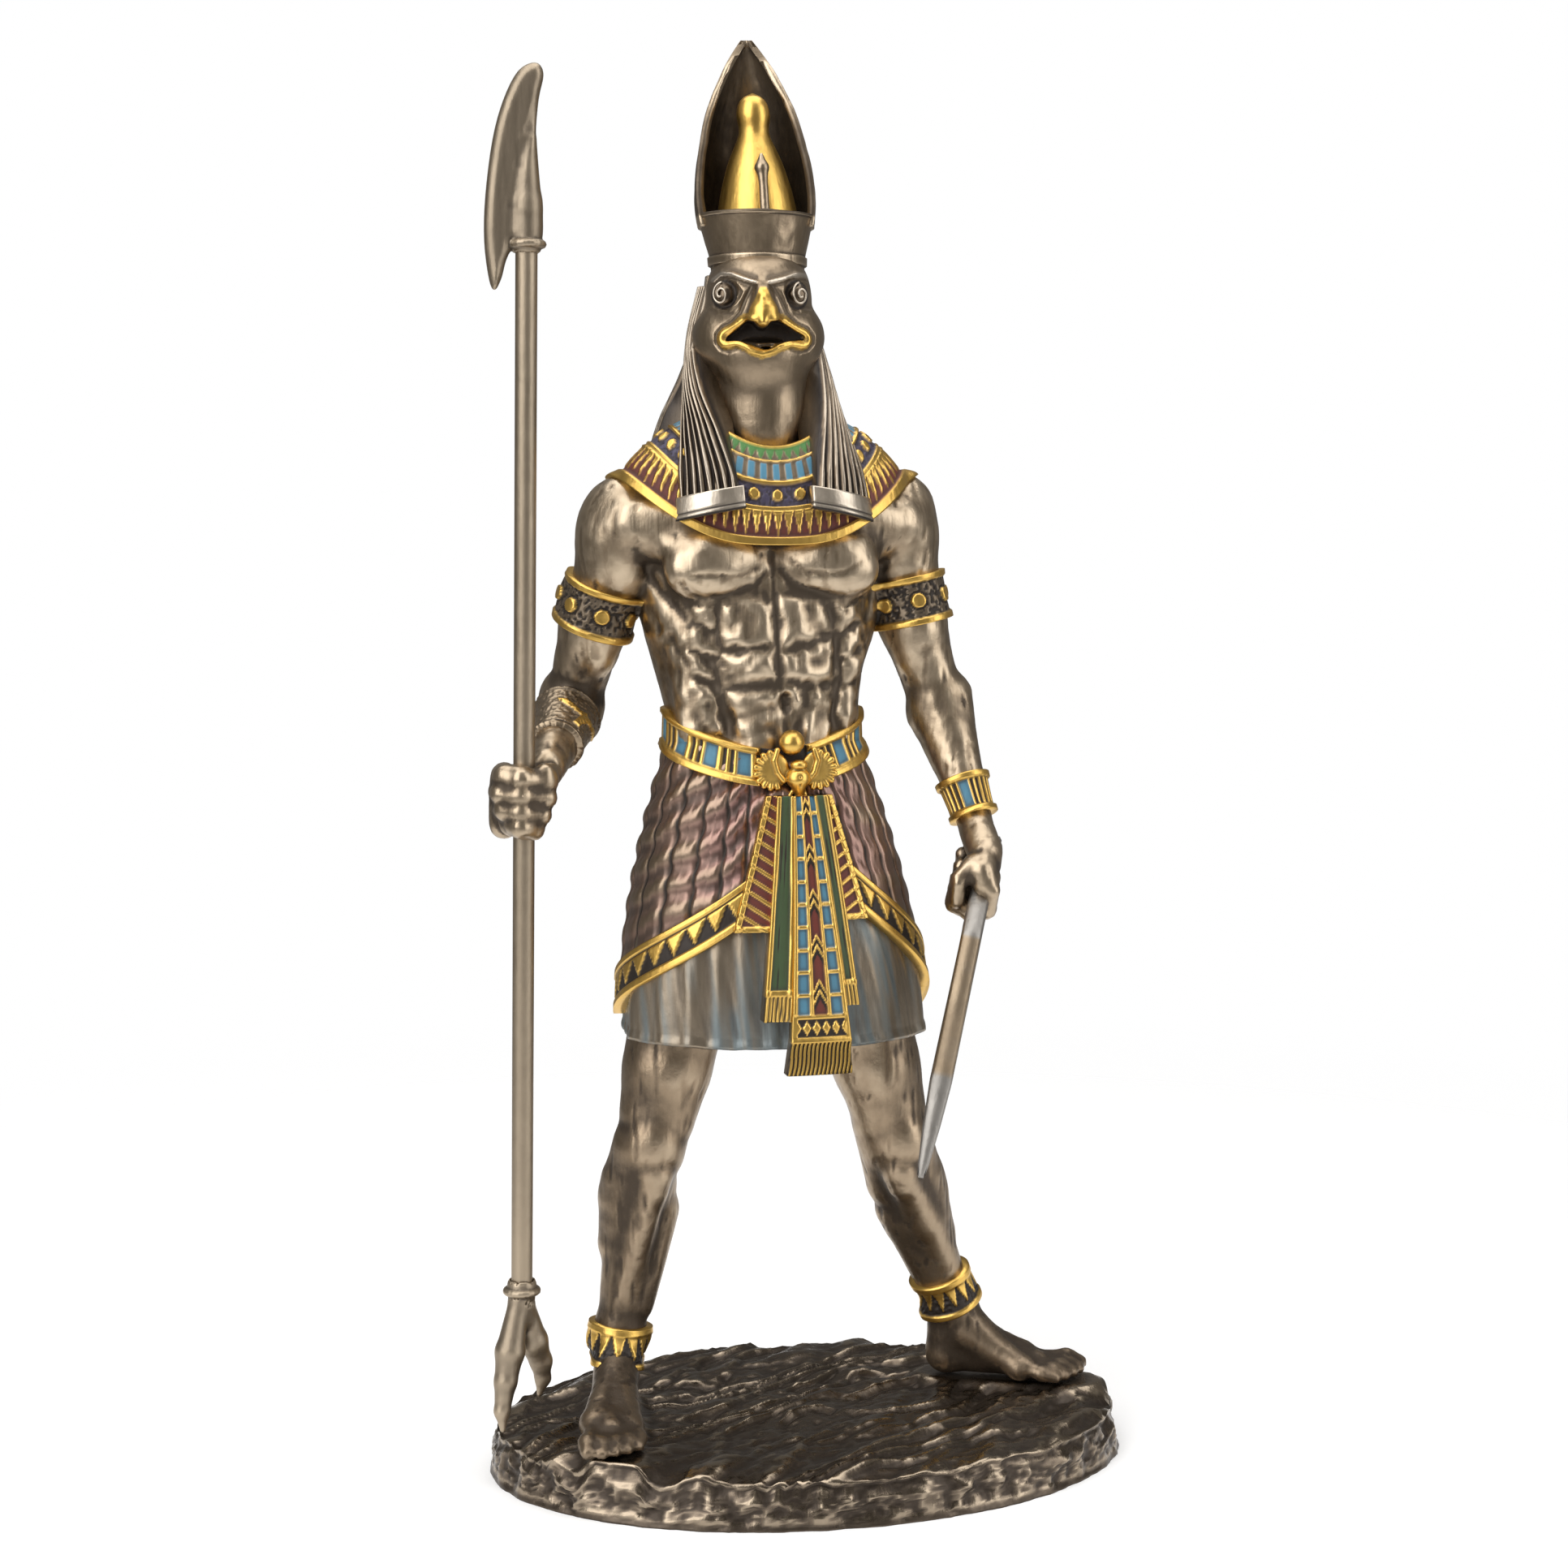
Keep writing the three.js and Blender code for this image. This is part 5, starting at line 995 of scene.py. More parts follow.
def makeHead():
    clay = Clay(at(-30, -24, 196), at(8, 20, 250), headLook["cell"])
    clay.blend([
        egg(head(0, 1, 5), 10.8, 12, 9.5, 0, headTurn),
        egg(head(0, 0.4, -3), 11, 10.8, 12, 0, headTurn),
        limb(head(0, -0.2, -8), head(0.7, 0.6, -21.4), 10.8, 8.5),
        limb(head(0.7, 0.6, -21.4), head(1, 1, -34), 8.5, 8),
    ], 4)
    clay.blend(pairs(lambda s: [egg(head(s * 8, -0.8, -4.8), 5.8, 8.2, 6.6, 0, headTurn - s * 12)]), 1.6)
    clay.blend([egg(head(0, -5.6, -8.4), 7.2, 5.4, 5.6, 0, headTurn)], 4)
    clay.blend([egg(head(0, -6.2, 0.2), 7.4, 5.8, 6.4, 0, headTurn)], 3)
    beak = [
        limb(head(0.1, -10.4, 6.4), head(0.2, -12.6, 3), 0.7, 1.6),
        limb(head(0.2, -12.6, 3), head(0.3, -13.3, -0.9), 1.6, 3.1),
        limb(head(0.3, -13.4, -0.9), head(0.2, -14.8, -3.2), 2.6, 0.8),
    ]
    crest = [
        limb(head(0, -11.2, 6.2), head(0.1, -14.7, 2), 0.4),
        limb(head(0.1, -14.7, 2), head(0.1, -16, -2.8), 0.55),
    ]
    clay.blend(beak, 1.6)
    clay.blend(crest, 0.9)
    ahead = headSpin @ shift(0, -1, 0)

    def front(x, z):
        return -float(clay.reach(head(x, 4, z), ahead, 24, 0.15)) + 4

    lips = []
    for line in (upperLip, lowerLip):
        smooth = curve(np.linspace(0, len(line) - 1, 18), [(n, *spot) for n, spot in enumerate(line)])
        for s in (-1, 1):
            spots = [head(x, front(x, z) + 0.15, z) for x, z in facePath(smooth, s)]
            lips += chain(spots, headLook["lip"])
    sockets, balls = [], []
    for s in (-1, 1):
        x, z = s * eyeCentre[0], eyeCentre[1]
        skin = front(x, z)
        eyeDepth[s] = skin + 1.2
        facing = headTurn + s * eyeLook["outward"]
        sockets.append(egg(head(x - s * 0.15, skin - 0.3, z), 2.8, 1.3, 3.1, 0, facing))
        balls.append(egg(head(x, eyeDepth[s], z), *eyeLook["ball"], 0, facing))
    clay.carve(sockets, 0.8)
    clay.blend(balls, 0.25)
    low, high = head(-11, -24, -10), head(11, -6.6, -1)

    def mouth(x, y, z):
        local = (grid(x, y, z) - headCentre) @ headSpin
        return np.maximum(outlineDistance(mouthLine, local[..., 0], local[..., 2]), local[..., 1] + 7.4)

    clay.carve([(np.minimum(low, high) - 2, np.maximum(low, high) + 2, mouth)], 0.3)
    clay.blend(lips, 0.4)
    tongue = egg(head(0.4, -8.6, -6.5), 4.6, 3, 0.9, 14, headTurn)
    clay.blend([tongue], 0.4)
    points, faces = clay.skin()
    normal = normalsOf(points, trianglesOf(faces))
    facing = ease(normal @ ahead, 0.1, 0.45)
    local = (points - headCentre) @ headSpin
    x, z = local[:, 0], local[:, 2]
    inMouth = (outlineDistance(mouthLine, x, z) < 0.2) & (z < -1.6)

    def mark(path, s, wide):
        return np.exp(-(strokeDistance(facePath(path, s), x, z) / wide) ** 2)

    lift = 0 * x
    for s in (-1, 1):
        for path, wide, deep in faceGrooves:
            lift -= deep * mark(path, s, wide)
        for path, wide, tall in faceRidges:
            lift += tall * mark(path, s, wide)
        rim = outlineDistance(facePath(socketLine, s), x, z)
        lift += 0.3 * np.exp(-((rim - 0.1) / 0.3) ** 2) - 0.3 * np.exp(-((rim + 0.7) / 0.4) ** 2)
    points = points + ahead * (lift * facing * ~inMouth * (z > -10))[:, None]
    points = handWorked(points, faces, ((5, 0.22), (1.6, 0.05)))
    relief = Relief((len(points),), "bronze")
    fade = 1 - ease(z, headLook["goldFrom"], headLook["goldTo"])
    high, deep = z, local[:, 1]
    down = ease(-high, -4.5, 1.5)
    narrow = 1 - ease(np.abs(x - 0.2), mix(0.5, 2.6, down), mix(1.4, 3.7, down))
    onBeak = (1 - ease(distanceTo(beak + crest, points), 0.3, 1.0)) * narrow * (high > -4.4)
    onLips = 1 - ease(distanceTo(lips, points), 0.25, 0.7)
    flat = (1 - ease(outlineDistance(goldLine, x, z), -0.15, 0.25)) * (deep < -4)
    relief.lay(np.max([onBeak * fade, onLips, flat * ~inMouth], axis=0), "gold")
    # Painted highlight: light silver paint along the brow ridges.
    paintedBrowHighlight = np.max([mark(faceRidges[0][0], s, 0.55) for s in (-1, 1)], axis=0)
    relief.lay(paintedBrowHighlight * (deep < -3) * (high > 4), "silver")
    # Painted shade: the inside of the open mouth, away from the lips, is painted dark.
    relief.lay(inMouth * (1 - onLips) * (deep > -12.5) * (deep < -4), "dark")
    relief.lay((1 - ease(distanceTo([tongue], points), 0.1, 0.4)) * inMouth * (1 - onLips), "umber")
    ball = np.hypot((np.abs(x) - eyeCentre[0]) / 2.3, (z - eyeCentre[1]) / 2.75)
    # Painted shade: a dark ring in the gap between each eyeball and its socket.
    relief.lay((1 - ease(ball, 1.02, 1.2)) * (deep < -2), "dark")
    relief.lay((1 - ease(ball, 0.84, 0.96)) * (deep < -2), "umber")
    addPiece("falcon_head", points, faces, relief.paint, scales=((9, 0.1), (50, 0.5)))


def makeEyes():
    parts = []
    look = eyeLook
    wide, deep, tall = look["ball"]
    for s in (-1, 1):
        facing = spin(0, 0, headTurn + s * look["outward"])
        centre = head(s * eyeCentre[0], eyeDepth[s], eyeCentre[1])
        spiral = []
        for t in np.linspace(0, 1, 80):
            r = mix(1, 0.16, t ** 0.85)
            a = math.pi * (0.5 + 2 * t * look["turns"])
            x, z = look["wide"] * r * math.cos(a), look["tall"] * r * math.sin(a)
            out = deep * math.sqrt(max(0, 1 - (x / wide) ** 2 - (z / tall) ** 2))
            spiral.append(centre + facing @ shift(x, -out - 0.1, z))
        parts.append(tube(spiral, look["wire"], 8))
    addPiece("eye_spirals", *together(parts), "silver", scales=((2, 0.5),))


makeHead()
makeEyes()
print("head done")


# Bands round the arms, the wrist and the ankles
bandLook = {"step": 0.27, "furthest": 13, "evened": 6, "sunk": 2}


def limbBand(name, centre, axis, low, high, pattern, base=0.9, count=190, widest=11):
    w = unit(axis)
    u = unit(np.cross([0, 1, 0], w))
    a = turnsRound(count)
    out = np.cos(a)[:, None] * u + np.sin(a)[:, None] * np.cross(w, u)
    along = fromTo(low, high, bandLook["step"])
    starts = centre + along[:, None, None] * w
    skin = np.minimum(bodyClay.reach(starts, out[None], bandLook["furthest"]), widest)
    skin = smoothGrid(skin, bandLook["evened"])
    length = 2 * math.pi * skin.mean()
    across, up = np.meshgrid(a / (2 * math.pi) * length, along)
    relief = pattern(across, up, length, starts + out * skin[..., None])
    rings = starts + out * (skin + base + relief.lift)[..., None]
    hidden = starts[[0, -1]] + out * (skin[[0, -1]] - bandLook["sunk"])[..., None]
    addPiece(name, *paintedBand(hidden, rings, relief.paint))


def stipple(points, size=0.55, seed=3):
    return ease(noise(points, size, seed), 0.5, 0.72)


armbandLook = {"rim": 1.35, "studs": 7, "studRadius": 1.65, "half": 5.1, "turned": 0.25}


def armbandPattern(u, v, length, points):
    look = armbandLook
    pitch = length / look["studs"]
    r = np.hypot(offCentre(u + look["turned"] * pitch, pitch), v) / look["studRadius"]
    relief = Relief(u.shape, "dark")
    relief.lay((1 - stipple(points)) * 0.5, "bronze")
    relief.lay(stipple(points), None, -0.34)
    relief.press(1 - ease(r, 1.15, 1.3), "dark", -0.25)
    relief.press(1 - ease(r, 0.86, 1.0), "gold", 0.6)
    for side in (-1, 1):
        relief.press(strip(v * side, look["half"] - look["rim"], look["half"] + 1), "gold", 0.5)
    return relief


ankletLook = {"teeth": 13, "half": 4.1}


def ankletPattern(u, v, length, points):
    pitch = length / ankletLook["teeth"]
    relief = Relief(u.shape, "dark")
    relief.lay(stipple(points), None, -0.25)
    relief.press(teeth(u, v, pitch, 2.6, -2.0), "gold", 0.3)
    relief.press(strip(v, 2.5, 9), "gold", 0.55)
    relief.press(strip(v, -9, -2.9), "gold", 0.5)
    return relief


def panelled(u, v, pitch, low, high, panel=0.42, slots=(0.63, 0.86), slotWidth=0.115):
    # Blue panels with pairs of dark slots between them, framed in gold.
    relief = Relief(u.shape, "gold")
    inside = strip(v, low, high)
    where = (u / pitch) % 1 * pitch
    relief.lay(strip(where, 0.04 * pitch, panel * pitch) * inside, "blue", -0.3)
    half = slotWidth * pitch / 2
    for slot in slots:
        mid = slot * pitch
        relief.lay(strip(where, mid - half, mid + half) * inside, "dark", -0.45)
    return relief


def cuffPattern(u, v, length, points):
    pitch = length / 4
    relief = panelled(u, v, pitch, -2.9, 2.9, 0.3, (0.42, 0.6, 0.78, 0.93), 0.09)
    for side in (-1, 1):
        relief.lay(strip(v * side, 3.1, 9), "gold", 0.45)
    return relief


def gauntletPattern(u, v, length, points):
    relief = Relief(u.shape, "bronze")
    relief.lay(stipple(points, 0.5, 5), None, -0.16)
    mid = 0.70 * length
    x, y = u - mid, v - 0.2
    wings = [
        strip(np.hypot(x * 0.8, y + 5.2), 4.6, 5.9) * (y > -2.2),
        1 - ease(np.hypot(x * 1.2, (y - 0.4) * 0.7), 1.1, 1.4),
        strip(np.abs(x - 0.25 * y), -1, 0.8) * strip(y, 0, 4.2),
    ]
    relief.lay(np.max(wings, axis=0), "gold", 0.4)
    relief.lay(strip(v, 5.9, 9), "bronze", 0.5)
    relief.lay(strip(v, 5.3, 5.8), "dark", -0.1)
    relief.lay(strip(v, -9, -5.6), "bronze", 0.3)
    return relief


for side in sides:
    shoulder, upperArm, calf, ankle = joints(side, "shoulder", "upperArm", "calf", "ankle")
    armAt = mix(shoulder, upperArm, 0.76 if side == "right" else 0.7)
    half = armbandLook["half"]
    limbBand(f"armband_{side}", armAt, upperArm - shoulder, -half, half, armbandPattern)
    ankleAt = mix(calf, ankle, 1.13 if side == "right" else 0.92)
    half = ankletLook["half"]
    limbBand(f"anklet_{side}", ankleAt, calf - ankle, -half, half, ankletPattern, 0.7, 150, 7.4)
elbow, wrist = joints("left", "elbow", "wrist")
limbBand("cuff_left", mix(elbow, wrist, 0.86), wrist - elbow, -4.3, 4.3, cuffPattern, count=160)
elbow, wrist = joints("right", "elbow", "wrist")
limbBand("gauntlet_right", mix(elbow, wrist, 0.42), wrist - elbow, -6, 7, gauntletPattern, 0.6)
print("limb bands done")

# Collar of five bands
collarCentre = trunk(0, 2, 184)
collarLook = {
    "rows": 70, "columns": 510, "teeth": 70, "bars": 52, "leaves": 62, "studs": 31,
    "width": 20.5, "thick": 0.85, "sunk": 3.5, "studRadius": 1.3,
}


def collarRays(a, t):
    lowest = mix(mix(0, 14, (1 - np.cos(a)) / 2), 24, np.abs(np.sin(a)) ** 5)
    rise = np.radians(mix(64.5 - 4.5 * np.cos(a), lowest, t))
    ray = grid(np.sin(a) * np.cos(rise), -np.cos(a) * np.cos(rise), np.sin(rise))
    return ray, 1 / np.linalg.norm(ray / np.array([34, 15.4, 29]), axis=-1)


def collarEdge(a):
    ray, fair = collarRays(a, 0.8)
    return collarCentre + ray * fair[:, None]


def makeCollar():
    look = collarLook
    turns = evenTurns(collarEdge, look["columns"])[0]
    a, t = np.meshgrid(turns, np.linspace(0, 1, look["rows"]))
    ray, fair = collarRays(a, t)
    skin = smoothGrid(np.maximum(bodyClay.reach(collarCentre, ray, 40), fair), 10)
    v = look["width"] * (1.34 * t - 0.34 * t * t)
    share = np.broadcast_to(np.arange(look["columns"]) / look["columns"], a.shape)
    points = collarCentre + ray * skin[..., None]
    relief = Relief(a.shape, "bronze")

    def along(repeats, nominal):
        return (share * repeats + 0.5) * nominal, nominal  # repeats all round at a nominal pitch

    def inBand(low, high, colour, lift=0.0):
        relief.lay(strip(v, low, high), colour, lift)

    inBand(-1, 0.6, "gold", 0.4)
    u, pitch = along(look["leaves"], 1.8)
    inBand(0.6, 3.2, "leaf")
    relief.lay(teeth(u, v, pitch, 3.2, 1.0), "bronze", -0.22)
    inBand(3.15, 3.75, "gold", 0.4)
    u, pitch = along(look["bars"], 2.3)
    inBand(3.8, 7.7, "bronze", -0.1)
    relief.lay(bars(u, pitch, 1.25) * strip(v, 3.9, 7.5), "blue", 0.25)
    inBand(7.7, 8.5, "gold", 0.5)
    inBand(8.5, 13.1, "purple", -0.1)
    relief.lay(strip(v, 8.7, 13) * stipple(points), None, -0.3)
    u, pitch = along(look["studs"], 5.0)
    r = np.hypot(offCentre(u, pitch), v - 10.8) / look["studRadius"]
    relief.press(1 - ease(r, 1.1, 1.3), "purple", -0.25)
    relief.press(1 - ease(r, 0.85, 1.0), "gold", 0.5)
    inBand(13.1, 14.4, "gold", 0.25)
    inBand(13.7, 13.95, None, -0.2)
    u, pitch = along(look["teeth"], 2.4)
    inBand(14.4, 19.1, "red", -0.15)
    relief.lay(teeth(u, v, pitch, 14.3, 19.0), "gold", 0.4)
    relief.lay(teeth(u, v, pitch * 0.98, 14.3, 17.2, 0.3) * strip(v, 14.9, 19), None, -0.15)
    inBand(19.1, 25, "gold", 0.6)
    rings = collarCentre + ray * (skin + look["thick"] + relief.lift)[..., None]
    hidden = collarCentre + ray[[0, -1]] * (skin[[0, -1]] - look["sunk"])[..., None]
    addPiece("collar", *paintedBand(hidden, rings, relief.paint))


makeCollar()
print("collar done")


# Crown: flared band, pointed shell open at the front, gold bulb and cobra
crownFoot = head(0, 2.4, 10.6)
openingHeight = 9.4
crownLook = {"height": 47, "wall": 1.2, "rim": 1.1, "rimLift": 0.3, "lean": 5.4, "sway": 0.043}
crownProfile = [[0, 10.5], [4.5, 11.6], [9, 12.5], [13, 12.8], [17, 12.5], [21, 11.9], [25, 11],
                [29.5, 9.8], [34, 8.2], [38, 6.3], [42, 4.2], [45, 2.3], [47, 0.9]]


def crown(across, deep, high):
    return crownFoot + grid(across - crownLook["sway"] * high, deep, high) @ headSpin.T


def lathe(profile, count, place):
    a = turnsRound(count)
    radius, high = np.asarray(profile).T
    return loft(place(radius[:, None] * np.cos(a), radius[:, None] * np.sin(a), high[:, None]))


def refined(profile, step):
    rows = [profile[0]]
    for a, b in zip(profile, profile[1:]):
        a, b = np.array(a, float), np.array(b, float)
        count = max(1, int(round(np.linalg.norm(b - a) / step)))
        rows += [list(mix(a, b, n / count)) for n in range(1, count + 1)]
    return rows


def makeCrown():
    look = crownLook
    foot = [[9.6, -4], [9.9, -0.6], [10.4, -0.4], [10.5, 1.2], [10.1, 1.5], [11, 5], [12.1, 9.2],
            [12.5, 9.3], [12.5, 9.9], [11.2, 9.9], [10.9, 7.9]]
    footBand = lathe(refined(foot, 0.27), 150, crown)
    t = np.linspace(0, 1, 94)[:, None]
    high = mix(openingHeight - 2, look["height"], t)
    outer = curve(high[:, 0], crownProfile)[:, None]
    half = np.radians(mix(112, 96, t))
    inner = np.maximum(outer - look["wall"], outer * 0.35)
    lean = look["lean"] * t * t

    def arc(radius, start, end, steps, rim):
        a = mix(start, end, np.linspace(0, 1, steps)[None, :])
        edge = (half - np.abs(a)) * radius
        radius = radius + rim * (1 - ease(edge, look["rim"] - 0.4, look["rim"]))
        return crown(radius * np.sin(a), lean + radius * np.cos(a), high)

    outside = arc(outer, half, -half, 94, look["rimLift"])
    inside = arc(inner, -half, half, 70, -look["rimLift"] * 0.7)
    points, faces = together([footBand, loft(np.concatenate([outside, inside], axis=1))])
    points = handWorked(points, faces, ((6, 0.3), (2, 0.1)), 0.06)
    local = (points - crownFoot) @ headSpin
    x, y, z = local.T
    within = ease(12.6 - np.hypot(x + look["sway"] * z, y), 0.6, 1.4) * (z > openingHeight)
    rim = ease(z, openingHeight - 0.5, openingHeight + 0.5) * (1 - ease(y, -3, 5))
    # Darker inside the shell and on its narrower upper part, and much darker along its front above the
    # opening.
    darkening = np.maximum(0.2 * within, 1.5 * rim)
    addPiece("crown", points, faces, material="body", scales=((6, 0.2), (26, 0.7)), darkening=darkening)
    bulb = [[0, -0.5, 8.6], [1, 1, 8.5], [2, 6.2, 7.5], [3, 11.4, 6.0], [4, 14.9, 4.6], [5, 17.5, 3.45],
            [6, 19.2, 3.12], [7, 22, 3.5], [8, 24.3, 3.05], [9, 25.7, 2.0], [10, 26.7, 0.05]]
    high, radius = curve(np.linspace(0, 10, 70), bulb).T
    profile = np.stack([radius, high + openingHeight - 1], 1)
    addPiece("crown_bulb", *lathe(profile, 80, lambda x, y, z: crown(x + 0.4, y - 0.6, z)), "gold")
    lip = lambda across, deep, above: crown(across, deep, openingHeight + above)
    clay = Clay(lip(-3, -13, -3), lip(6, 3, 15), 0.2)
    clay.blend([
        limb(lip(1.4, -9.5, -1), lip(1.3, -8.6, 7.5), 1.1, 0.95),
        limb(lip(1.3, -8.6, 7.2), lip(1.2, -8.2, 9.4), 1.0, 1.5),
        limb(lip(1.2, -8.2, 9.4), lip(1.2, -8.2, 12), 1.5, 0.4),
        limb(lip(1.2, -7.6, 9), lip(0.4, -1, 9), 0.7, 1),
    ], 0.3)
    addPiece("cobra", *clay.skin(), material="body")


makeCrown()
print("crown done")


# Wig: two grooved lappets in front and a grooved fall of hair behind
wigLook = {"locks": 8, "depth": 1.1, "backLocks": 32, "ragged": 0.9, "bottom": 187, "top": 240}
# Outer and inner edge of a lappet as [from the middle, deep, high], bulge and thickness
lappetStations = [
    [(10, 8, 238), (9.4, 4, 238), 1, 4],
    [(11.9, 7.4, 229), (12.2, 2.4, 227), 1.2, 5],
    [(14.6, 3, 219), (12, -3.4, 217), 1.6, 6],
    [(17.2, -2.4, 209), (10.2, -9.4, 208), 1.6, 6],
    [(19.2, -7.4, 200), (8.6, -13, 200), 1.5, 6],
    [(20, -9.8, 192.6), (7.9, -14.4, 195), 1.5, 6],
]
lappetEnd = [
    [(20.6, -9.8, 193.6), (7.2, -15.3, 196.2), 2.5, 6],
    [(20.9, -11.2, 188.8), (7.1, -16, 191.6), 2.5, 5],
]
# Height above the soles, half width, depth and place of the hair behind
wigLevels = [[187, 22.4, 16.6, 4.5], [202, 21.4, 16, 4.5], [211, 18, 15, 4], [219, 14.2, 14, 3.5],
             [226, 11.7, 13.4, 3], [232, 10.4, 12.6, 3], [240, 9.6, 11.8, 3]]


def ridges(x, seed, rows):
    # Rounded locks with narrow dark grooves, a little uneven along their length.
    drift = (noise(grid(x * 3, rows * 0.12, 0), 1.0, seed) - 0.5) * wigLook["ragged"]
    return np.abs(np.sin(math.pi * (x + drift * 0.5)))


def lockPaint(relief, ridge):
    relief.lay(1, "umber")
    relief.lay(ease(ridge, 0.78, 1.0), "lock")
    relief.lay(1 - ease(ridge, 0.3, 0.75), "dark")


def lappet(stations, s, rows, columns, locks, seed):
    table = []
    for n, (outer, inner, bulge, thick) in enumerate(stations):
        edges = []
        for across, deep, high in (outer, inner)[::-s]:
            middle = mix(-9.4, -10.8, np.clip((high - 190) / 30, 0, 1))
            edges += list(at(middle + s * across, deep, high))
        table.append([n, *edges, bulge, thick])
    n = np.linspace(0, len(stations) - 1, rows)
    table = curve(n, table)
    left, right, bulge, thick = table[:, None, 0:3], table[:, None, 3:6], table[:, 6:7], table[:, 7:8]
    across = right - left
    front = unit(np.cross(across, [0, 0, 1]))
    t = np.linspace(0, 1, columns)[None, :]
    relief = Relief((rows, columns), "bronze")
    if locks:
        ridge = ridges(t * locks, seed, n[:, None] * 9)
        relief.lift = relief.lift + wigLook["depth"] * ridge
        lockPaint(relief, ridge)
    else:
        down = np.linspace(0, 1, rows)[:, None]
        relief.lay(1, "silver")
        relief.lay(strip(down, 0.72, 0.8, 0.03), "dark", -0.25)
        relief.lay(strip(down, 0.9, 2, 0.03), "dark", -0.25)
    arch = 4 * t * (1 - t)
    outside = left + across * t[..., None] + front * (bulge * arch + relief.lift)[..., None]
    t = np.linspace(0.93, 0.07, 8)[None, :]
    inside = left + across * t[..., None] + front * (bulge * 4 * t * (1 - t) - thick)[..., None]
    paint = np.concatenate([relief.paint, Relief((rows, 8), "bronze").paint], axis=1)
    return paintedLoft(np.concatenate([outside, inside], axis=1), paint)


def makeWig():
    look = wigLook
    parts = []
    for s in (-1, 1):
        parts.append(lappet(lappetStations, s, 100, 96, look["locks"], 3 + s))
        parts.append(lappet(lappetEnd, s, 16, 60, 0, 3))
    addPiece("wig_lappets", *joined(parts))
    rows, columns = 76, 262
    high = np.linspace(look["top"], look["bottom"], rows)
    wide, deep, back = curve(high, wigLevels).T[:, :, None]
    middle = (-10.6 - 1.2 * ease(high, 196, 212) * (1 - ease(high, 226, 240)))[:, None]
    down = high[:, None]
    ridge = ridges(np.linspace(0, look["backLocks"], columns)[None, :], 9, down)
    relief = Relief((rows, columns), "bronze")
    lockPaint(relief, ridge)
    hemBand = 1 - ease(down, 191, 191.3)
    relief.lift = relief.lift + mix(look["depth"] * ridge, 0.9, hemBand)
    relief.lay(hemBand, "silver")
    relief.lay(strip(down, 188, 188.5), "dark", -0.25)
    a = np.radians(np.linspace(96, -96, columns))[None, :]
    across, behind = (wide + relief.lift) * np.sin(a), (deep + relief.lift) * np.cos(a)
    outside = at(0, 0, 0) + grid(middle + across, back + behind, down)
    b = np.radians(np.linspace(-60, 60, 5))[None, :]
    inside = at(0, 0, 0) + grid(middle + 5 * np.sin(b), back - 2, down)
    paint = np.concatenate([relief.paint, Relief((rows, 5), "bronze").paint], axis=1)
    addPiece("wig_back", *paintedLoft(np.concatenate([outside, inside], axis=1), paint))


makeWig()
print("wig done")


# Kilt: a pleated wrap with a gold hem band over a softly folded underskirt
waist = 143
hem = 80.5
kiltLook = {
    "around": 424, "hemBand": 8.5, "hemTeeth": 40,
    "waistWide": 19.8, "waistDeep": 13, "hemWide": 32.8, "hemDeep": 23, "flare": 1.75, "squareness": 2.2,
}


def turned(angle):
    return np.arctan2(np.sin(angle), np.cos(angle))  # between minus and plus half a turn


def kiltAxisX(high):
    return mix(-6.9, midline, np.clip((high - hem) / (waist - hem), 0, 1))


def kiltOval(angle, high):
    look = kiltLook
    power = look["squareness"]
    t = np.clip((waist - high) / (waist - hem), 0, 1)
    grow = 1 - (1 - t) ** look["flare"]
    wide = mix(look["waistWide"], look["hemWide"], grow)
    deep = mix(look["waistDeep"], look["hemDeep"], grow)
    c = np.abs(np.cos(angle)) ** power / deep ** power
    s = np.abs(np.sin(angle)) ** power / wide ** power
    return (c + s) ** (-1 / power)


def kiltPoint(angle, high, lift):
    radius = kiltOval(angle, high) + lift
    return grid(kiltAxisX(high) + np.sin(angle) * radius, 2.5 - np.cos(angle) * radius, high + soleHeight)


def wrapEdge(angle):
    turn = np.degrees(turned(angle))
    left = mix(84, 109, np.clip((100 + turn) / 84, 0, 1))
    right = mix(84, 116, np.clip((98 - turn) / 76, 0, 1))
    return np.where(turn < 0, left, right)


def beltHeight(angle):
    c = np.cos(angle)
    return 138.2 + 7.8 * np.minimum(1, 1 - c) + 1.2 * np.maximum(0, -c)


def aroundKilt(angle, size, high=0):
    return grid(size * np.cos(angle), size * np.sin(angle), high)


def underFolds(angle):
    # Uneven soft folds: noise taken round a circle, so it closes.
    broad = noise(aroundKilt(angle, 3.4), 1.0, 4) + 0.5 * noise(aroundKilt(angle, 8), 1.0, 6)
    return 3.2 * (broad - 0.75) + 0.22 * np.sin(angle * 26 + 2 * np.sin(angle * 2 + 1))


def pleat(angle, high):
    # Soft folds that sag across each pleat, and narrow lines between the pleats.
    turn = np.abs(turned(angle))
    across = turn * 14 + high * 0.03 + 2.6 * (1 - np.cos(2 * turn)) * (np.sin(angle) > 0)
    number = np.floor(across / math.pi + 0.5)  # which pleat
    own = 0.4 * np.sin(number * 2.1 + np.sign(np.sin(angle)))
    loose = 3 * noise(grid(turn * 1.6, high * 0.07, 0), 1.0, 15)
    swag = np.sin((high + 11 * turn) * 0.95 + own + loose)
    plainer = 1 - 0.6 * ease(np.sin(angle), 0.1, 0.5) * ease(np.cos(angle), -0.2, 0.3)
    return swag * plainer, np.cos(across) ** 20


